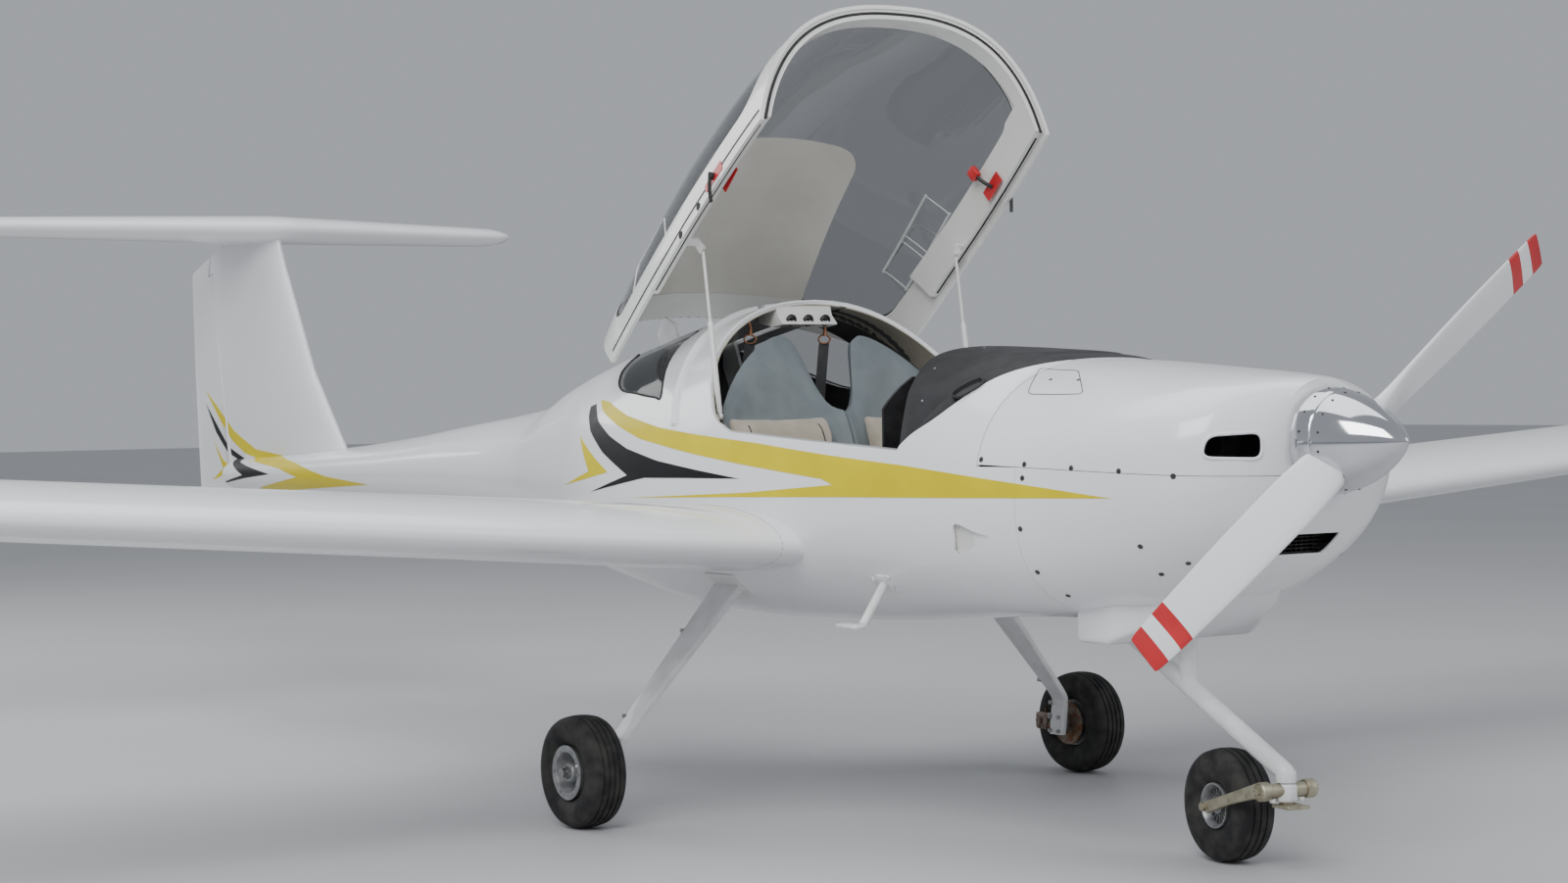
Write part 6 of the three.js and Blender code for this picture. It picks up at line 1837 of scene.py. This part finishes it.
def tyreProfile(wheel, grooves):
    half, radius, rim = wheel["width"] / 2, wheel["radius"], wheel["rim"]
    depth = radius - rim
    side = [(half * 0.60, rim), (half * 0.66, rim - 0.002), (half * 0.86, rim + depth * 0.10),
            (half * 0.97, rim + depth * 0.34), (half * 1.0, rim + depth * 0.56),
            (half * 0.97, rim + depth * 0.74),
            (half * 0.88, rim + depth * 0.88), (half * 0.74, radius - 0.0055)]
    tread = []
    for centre in grooves:
        for offset, drop in ((0.0030, 0), (0.0022, 0.0045), (-0.0022, 0.0045), (-0.0030, 0)):
            y = centre + offset
            tread.append((y, radius - 0.0045 * (abs(y) / (half * 0.7)) ** 2 - drop))
    right = side + sorted(tread, key=lambda point: -point[0])
    return right + [(-a, b) for a, b in side[::-1]]


def makeMainWheel(side, label):
    centre = (mainWheel["x"], side * mainWheel["y"], mainWheel["radius"])
    axis = (0, side, 0)
    body = f"main_wheel_{label.lower()}"
    tyre = turned(f"mainTyre{label}", tyreProfile(mainWheel, mainWheel["grooves"]), centre, axis, 96)
    finish(tyre, body, paints["rubber"], "tyre_rubber", f"main_tyre_{label.lower()}", angle=50)
    rim, bore = mainWheel["rim"] - mainWheel["rimGap"], mainWheel["bore"]
    hub = [(-0.0355, bore), (-0.0355, rim - 0.004), (0.036, rim - 0.004), (0.052, rim), (0.0565, rim + 0.001),
           (0.0575, rim - 0.004), (0.0565, 0.060), (0.050, 0.057), (0.026, 0.052), (0.020, 0.046),
           (0.020, 0.034),
           (0.034, 0.030), (0.048, 0.0285), (0.052, 0.026), (0.052, bore)]
    parts = [turned("hubFace", hub, centre, axis, 72)]
    disc = turned("disc", [(-0.060, bore), (-0.060, rim - 0.008), (-0.054, rim - 0.008), (-0.054, 0.040),
                           (-0.0350, 0.034), (-0.0350, bore)], centre, axis, 72)
    for k in range(mainWheel["bolts"]):
        angle = math.tau * k / mainWheel["bolts"]
        arm = Vector((math.cos(angle), 0, math.sin(angle)))
        for circle, start, end, radius in mainWheel["boltRows"]:
            base = Vector(centre) + arm * circle
            parts.append(rod("bolt", base + Vector((0, side * start, 0)), base + Vector((0, side * end, 0)),
                             radius,
                             sides=6))
    assemble(f"mainHub{label}", parts, "wheelAlloy", "wheel_alloy", f"main_hub_{label.lower()}", body=body)
    finish(disc, body, paints["rustySteel"], "wheel_alloy")
    valve = Vector(centre) + Vector((0.050, side * 0.030, 0.020))
    finish(rod(f"valve{label}", valve, valve + Vector((0.012, side * 0.030, 0.005)), 0.004, 0.0035, 12), body,
           paints["legPaint"], "wheel_alloy")


def makeBrake(side, label):
    x, z = mainWheel["x"], mainWheel["radius"]
    parts = [turned("flange", [(0, 0.0), (0, brake["flangeRadius"]), (0.004, brake["flangeRadius"]),
                               (0.0075, 0.022), (0.0205, 0.022), (0.0205, 0)],
                               (x, side * (brake["faceY"] + 0.0003), z),
                    (0, side, 0), 40),
             rod("axle", (x, side * 0.87, z), (x, side * brake["axleEndY"], z), mainWheel["axle"] - 0.0003),
             rod("nut", (x, side * 1.0125, z), (x, side * 1.0215, z), 0.019, sides=6),
             rod("pin", (x - 0.018, side * 1.028, z - 0.004), (x + 0.018, side * 1.028, z + 0.004), 0.0016,
                 sides=8)]
    assemble(f"axle{label}", parts, "steel", "bare_steel", f"brake_{label.lower()}")
    x0, x1 = x - 0.122, x - 0.042
    caliper = block("caliper", x0, x1, *ordered(side * 0.864, side * 0.889), z - 0.025, z + 0.029)
    bevel(caliper, 0.007, 3)
    arm = block("arm", x - 0.100, x - 0.004, *ordered(side * 0.8705, side * 0.8775), z - 0.016, z + 0.020)
    bevel(arm, 0.003)
    parts = [caliper, arm]
    for dx in (-0.100, -0.064):
        parts.append(rod("cylinder", (x + dx, side * 0.8635, z + 0.002), (x + dx, side * 0.8565, z + 0.002),
                         0.013, 0.011, 24))
        parts.append(rod("bolt", (x + dx, side * 0.864, z - 0.020), (x + dx, side * 0.8585, z - 0.020),
                         0.0045, sides=6))
    parts.append(rod("bleeder", (x - 0.082, side * 0.874, z + 0.028), (x - 0.082, side * 0.874, z + 0.044),
                     0.003, 0.002, 10))
    assemble(f"caliper{label}", parts, "rustySteel", "bare_steel")


for side, label in sides:
    makeMainLeg(side, label)
    makeMainWheel(side, label)
    makeBrake(side, label)
print("main gear made")


# Nose gear: shaped straight, then turned to the ten degrees it is parked at.

noseWheel = {"radius": 0.151, "width": 0.111, "rim": 0.062, "axle": 0.011}
castor = {"x": 3.150, "trail": 0.262, "turn": math.radians(-10), "crossZ": 0.220, "crossHalf": 0.084,
          "armInner": 0.062, "armOuter": 0.080}
castorTurn = (Matrix.Translation((castor["x"], 0, 0)) @ Matrix.Rotation(castor["turn"], 4, "Z")
              @ Matrix.Translation((-castor["x"], 0, 0)))


def parked(obj, body, material, slot, *replaced, angle=35):
    return finish(moved(obj, castorTurn), body, material, slot, *replaced, angle=angle)


def makeNoseLeg():
    top, bend = Vector((2.470, 0, 0.641)), Vector((3.150, 0, 0.264))
    path = [top, top.lerp(bend, 0.3), top.lerp(bend, 0.6), top.lerp(bend, 0.955),
            bend + Vector((-0.010, 0, 0.0055)),
            bend + Vector((-0.003, 0, 0.001)), bend + Vector((0, 0, -0.006)), Vector((3.150, 0, 0.243))]
    leg = pipe("noseLeg", path, 0.0255, 40)
    sleeve = turned("sleeve", [(0, 0), (0, 0.027), (0.006, 0.0275), (0.026, 0.0275), (0.030, 0.025),
                               (0.034, 0)],
                    (3.150, 0, 0.2405), (0, 0, 1), 40)
    bracket = bevel(block("bracket", 2.442, 2.538, -0.048, 0.048, 0.592, 0.640), 0.006, 3)
    boolean(leg, bodyLoft("bodyRoom", 2.2, 2.65, 0.004))
    boolean(bracket, bodyLoft("bodyRoom", 2.2, 2.65, 0.004))
    assemble("noseLegTube", [leg, sleeve, bracket], "legPaint", "gear_paint", "nose_leg", angle=50)
    strut = turned("noseStrutTube", [(0.0, 0.0), (0.0, 0.0225), (0.002, 0.0245), (0.235, 0.0245), (0.235, 0)],
                   (2.791, 0, 0.4615), (0, 0, 1), 40)
    gusset = prism("gusset", [(2.780, 0.478), (2.780, 0.574), (2.622, 0.574), (2.641, 0.5345)], "Y", -0.0045,
                   0.0045)
    assemble("noseStrut", [strut, gusset], "legPaint", "gear_paint", "nose_strut")


# Distances along the cross bar and radii, for the bar's bosses, its centre block and its rubber stops.
fork = {"boss": [(0.056, 0), (0.056, 0.0235), (0.059, 0.025), (0.081, 0.025), (0.084, 0.0225), (0.084, 0)],
        "lugs": 12, "lugCircle": 0.0205, "bolts": (0.25, 0.55),
        "centre": [(-0.030, 0), (-0.030, 0.026), (-0.024, 0.0295), (0.012, 0.0295), (0.019, 0.024),
                   (0.019, 0)],
        "stop": [(0, 0), (0, 0.009), (0.010, 0.0075), (0.013, 0)],
        # front, rear and half width of the tow plate and of its slot, then its heights
        "plate": (-0.019, 0.061, 0.035), "slot": (0.026, 0.044, 0.018), "plateZ": (-0.0438, -0.0362)}


def flatPlate(name, spec, corner, steps, low, high):
    x, (x0, x1, half) = castor["x"], spec
    outline = [(x + x0, -half), (x + x1, -half), (x + x1, half), (x + x0, half)]
    return prism(name, rounded(outline, corner, steps), "Z", low, high)


def makeForkSide(side, axleX, axleZ):
    x, z = castor["x"], castor["crossZ"]
    # The boss that the arm grows from, with its castellated clamp ring and bolt.
    parts = [turned("boss", fork["boss"], (x, 0, z), (0, side, 0), 36)]
    for k in range(fork["lugs"]):
        angle = math.tau * k / fork["lugs"]
        arm = Vector((math.cos(angle), 0, math.sin(angle))) * fork["lugCircle"]
        start = Vector((x, side * 0.0835, z)) + arm
        parts.append(rod("lug", start, start + Vector((0, side * 0.004, 0)), 0.0028, sides=4))
    parts.append(rod("bolt", (x, side * 0.083, z), (x, side * 0.090, z), 0.008, sides=6))
    middle = 0.5 * (z + axleZ)
    outline = [(x + 0.006, z + 0.020), (x - 0.020, z + 0.021), (x - 0.140, middle + 0.017),
               (axleX + 0.012, axleZ + 0.017), (axleX - 0.011, axleZ + 0.012), (axleX - 0.016, axleZ),
               (axleX - 0.011, axleZ - 0.012), (axleX + 0.012, axleZ - 0.016), (x - 0.140, middle - 0.014),
               (x - 0.020, z - 0.019), (x + 0.006, z - 0.020)]
    arm = prism("arm", outline, "Y", *ordered(side * castor["armInner"], side * castor["armOuter"]))
    parts.append(bevel(arm, 0.005, 3, 30))
    parts.append(rod("axleNut", (axleX, side * 0.0798, axleZ), (axleX, side * 0.088, axleZ), 0.0125, sides=6))
    for t in fork["bolts"]:
        px, pz = x + (axleX - x) * t, z + (axleZ - z) * t
        parts.append(rod("armBolt", (px, side * 0.079, pz), (px, side * 0.083, pz), 0.0045, sides=6))
    return parts


def makeFork():
    x, z = castor["x"], castor["crossZ"]
    axleX, axleZ = x - castor["trail"], noseWheel["radius"]
    half = castor["crossHalf"] - 0.002
    parts = [turned("cross", [(-half, 0), (-half, 0.019), (half, 0.019), (half, 0)], (x, 0, z), (0, 1, 0),
                    36)]
    for side in (-1, 1):
        parts += makeForkSide(side, axleX, axleZ)
    parts.append(rod("axle", (axleX, -0.084, axleZ), (axleX, 0.084, axleZ), noseWheel["axle"] - 0.0003))
    parked(join("castorFork", parts), "castor", paints["forkAlloy"], "fork_alloy", "castor_fork")
    # Pale hex-faced centre block under the leg, and the tow plate with its slot.
    centre = turned("centre", fork["centre"], (x, 0, z), (0, 0, 1), 6)
    bevel(centre, 0.003, 2, 30)
    parked(centre, "castor", paints["legPaint"], "gear_paint")
    stem = bevel(block("stem", x - 0.0135, x + 0.0135, -0.0135, 0.0135, z - 0.0395, z - 0.028), 0.002)
    low, high = fork["plateZ"]
    plate = flatPlate("towPlate", fork["plate"], 0.010, 4, z + low, z + high)
    boolean(plate, flatPlate("slot", fork["slot"], 0.005, 3, z - 0.06, z - 0.02))
    bevel(plate, 0.0015, 2, 50)
    stops = [turned("bumper", fork["stop"], (x + 0.004, side * 0.045, z - 0.019), (0, 0, -1), 20)
             for side in (-1, 1)]
    parked(join("towPlate", [plate, stem]), "castor", paints["forkAlloy"], "fork_alloy")
    parked(join("bumpers", stops), "castor", paints["framePaint"], "gear_paint")


def makeNoseWheel():
    centre = (castor["x"] - castor["trail"], 0, noseWheel["radius"])
    tyre = turned("noseTyre", tyreProfile(noseWheel, (0.020, 0, -0.020)), centre, (0, 1, 0), 96)
    parked(tyre, "nose_wheel", paints["rubber"], "tyre_rubber", "nose_tyre", angle=50)
    rim = noseWheel["rim"] - 0.0006
    half = [(0.030, rim - 0.003), (0.045, rim), (0.049, rim - 0.001), (0.049, rim - 0.005), (0.040, 0.050),
            (0.022, 0.046),
            (0.018, 0.040), (0.018, 0.026), (0.038, 0.022), (0.040, 0.0113)]
    profile = half + [(-a, b) for a, b in half[::-1]]
    hub = turned("noseHubBody", profile, centre, (0, 1, 0), 72)
    fins = []
    for k in range(20):
        angle = math.tau * k / 20
        for side in (-1, 1):
            fin = block("hubFin", 0.024, 0.047, *ordered(side * 0.016, side * 0.030), -0.0016, 0.0016)
            matrix = Matrix.Translation(centre) @ Matrix.Rotation(angle, 4, "Y")
            fins.append(moved(fin, matrix))
    parked(join("noseHub", [hub] + fins), "nose_wheel", paints["wheelAlloy"], "wheel_alloy", "nose_hub")


makeNoseLeg()
makeFork()
makeNoseWheel()
print("nose gear made")


# Boarding steps, with a flanged base on the body and a ribbed tread.

step = {"top": (2.062, 0.438, 0.761), "foot": (2.140, 0.600, 0.618), "radius": 0.0125,
        # outline in x and y, and the heights of the tread and its ribs
        "tread": [(2.056, 0.594), (2.154, 0.594), (2.154, 0.638), (2.056, 0.638)], "treadZ": (0.612, 0.6215),
        "ribs": 7, "ribX": 2.068, "ribStep": 0.0123, "ribZ": (0.6205, 0.6230), "base": (2.080, 0.728),
        "flange": [(-0.006, 0), (-0.006, 0.034), (0.003, 0.033), (0.006, 0.028), (0.008, 0.018), (0.008, 0)],
        "lugs": 3, "lugCircle": 0.036}


def makeStep(side, label):
    top, foot = (Vector((x, side * y, z)) for x, y, z in (step["top"], step["foot"]))
    path = [top, top.lerp(foot, 0.5), top.lerp(foot, 0.85), foot + Vector((0.004, side * 0.003, 0.001))]
    stalk = pipe("stepTube", path, step["radius"], 24)
    boolean(stalk, bodyLoft("bodyRoom", 1.8, 2.4, 0.003))
    ring = rounded(step["tread"], 0.016, 4)
    tread = bevel(prism("tread", [(x, side * y) for x, y in ring], "Z", *step["treadZ"]), 0.002, 2, 50)
    parts = [stalk, tread]
    for k in range(step["ribs"]):
        x = step["ribX"] + step["ribStep"] * k
        parts.append(block("rib", x - 0.0015, x + 0.0015, *ordered(side * 0.598, side * 0.634),
                           *step["ribZ"]))
    assemble(f"step{label}", parts, "legPaint", "gear_paint", f"step_{label.lower()}")
    x, z = step["base"]
    normal = sideNormal(x, z, side)
    place = Vector((x, side * bodySideY(x, z), z))
    lugs = [turned("base", step["flange"], place, normal, 36)]
    across = normal.orthogonal().normalized()
    for k in range(step["lugs"]):
        angle = math.tau * k / step["lugs"] + 0.5
        arm = across * math.cos(angle) + normal.cross(across) * math.sin(angle)
        spot = place + arm * step["lugCircle"]
        lugs.append(rod("lug", spot - normal * 0.004, spot + normal * 0.004, 0.010, 0.009, 16))
        lugs.append(rod("bolt", spot + normal * 0.003, spot + normal * 0.007, 0.004, sides=6))
    assemble(f"stepBase{label}", lugs, "legPaint", "gear_paint")


for side, label in sides:
    makeStep(side, label)
print("steps made")


# The frame's own solids that still show.

carried = {"beigeLining": ["centre_console"], "steel": ["hinge_tube"], "whitePaint": ["ventral_fin"],
           "blackPlastic": ["stick_left", "stick_right"], "legPaint": ["hinge_arm_left", "hinge_arm_right"],
           "engineMetal": ["engine"]}
for finishName, members in carried.items():
    for member in members:
        nodes[member].data.materials.clear()
        nodes[member].data.materials.append(paints[finishName])

# Camera, floor and light.

camera = {"place": (8.57601711, -5.41906214, 1.26757666), "yaw": 0.6168, "down": 0.0176, "roll": -0.0127,
          "focal": 3001.03, "imageWidth": 1600}


def makeCamera():
    cy, sy = math.cos(camera["yaw"]), math.sin(camera["yaw"])
    cp, sp = math.cos(camera["down"]), math.sin(camera["down"])
    cr, sr = math.cos(camera["roll"]), math.sin(camera["roll"])
    ahead, right, up = Vector((-cy, sy, 0)), Vector((sy, cy, 0)), Vector((0, 0, 1))
    f2, u2 = ahead * cp - up * sp, up * cp + ahead * sp
    r3, u3 = right * cr + u2 * sr, u2 * cr - right * sr
    data = bpy.data.cameras.new("camera")
    data.sensor_width = 36
    data.lens = camera["focal"] / camera["imageWidth"] * data.sensor_width
    data.clip_end = 200
    obj = bpy.data.objects.new("camera", data)
    bpy.context.collection.objects.link(obj)
    matrix = Matrix((r3, u3, -f2)).transposed().to_4x4()
    matrix.translation = camera["place"]
    obj.matrix_world = matrix
    bpy.context.scene.camera = obj


def makeStudio():
    deselectAll()
    bpy.ops.mesh.primitive_plane_add(size=120, location=(0, 0, -0.001))
    floor = named("floor")
    floor.data.materials.append(makeMaterial("floorPaint", {
        "colour": (0.52, 0.52, 0.53), "second": (0.5, 0.5, 0.51), "mottle": 0.6, "rough": (0.5, 0.6)}))
    world = bpy.data.worlds.new("studio")
    bpy.context.scene.world = world
    world.use_nodes = True
    world.node_tree.nodes["Background"].inputs["Color"].default_value = (0.8, 0.84, 0.9, 1)
    world.node_tree.nodes["Background"].inputs["Strength"].default_value = 0.5
    # name, place, what it faces, size, power
    lamps = [("keyLight", (7, -7, 7.5), (0.5, 0, 0.8), 6, 900), ("fillLight", (9, 6, 5), (1, 0, 1), 6, 170),
             ("topLight", (0, 0, 9), (0, 0, 0), 8, 380), ("backLight", (-8, -3, 6), (0, 0, 1), 5, 260)]
    for name, place, target, size, power in lamps:
        data = bpy.data.lights.new(name, "AREA")
        data.size = size
        data.energy = power
        lamp = bpy.data.objects.new(name, data)
        bpy.context.collection.objects.link(lamp)
        lamp.location = place
        lamp.rotation_euler = (Vector(target) - Vector(place)).to_track_quat("-Z", "Y").to_euler()


makeCamera()
makeStudio()

print("scene done")
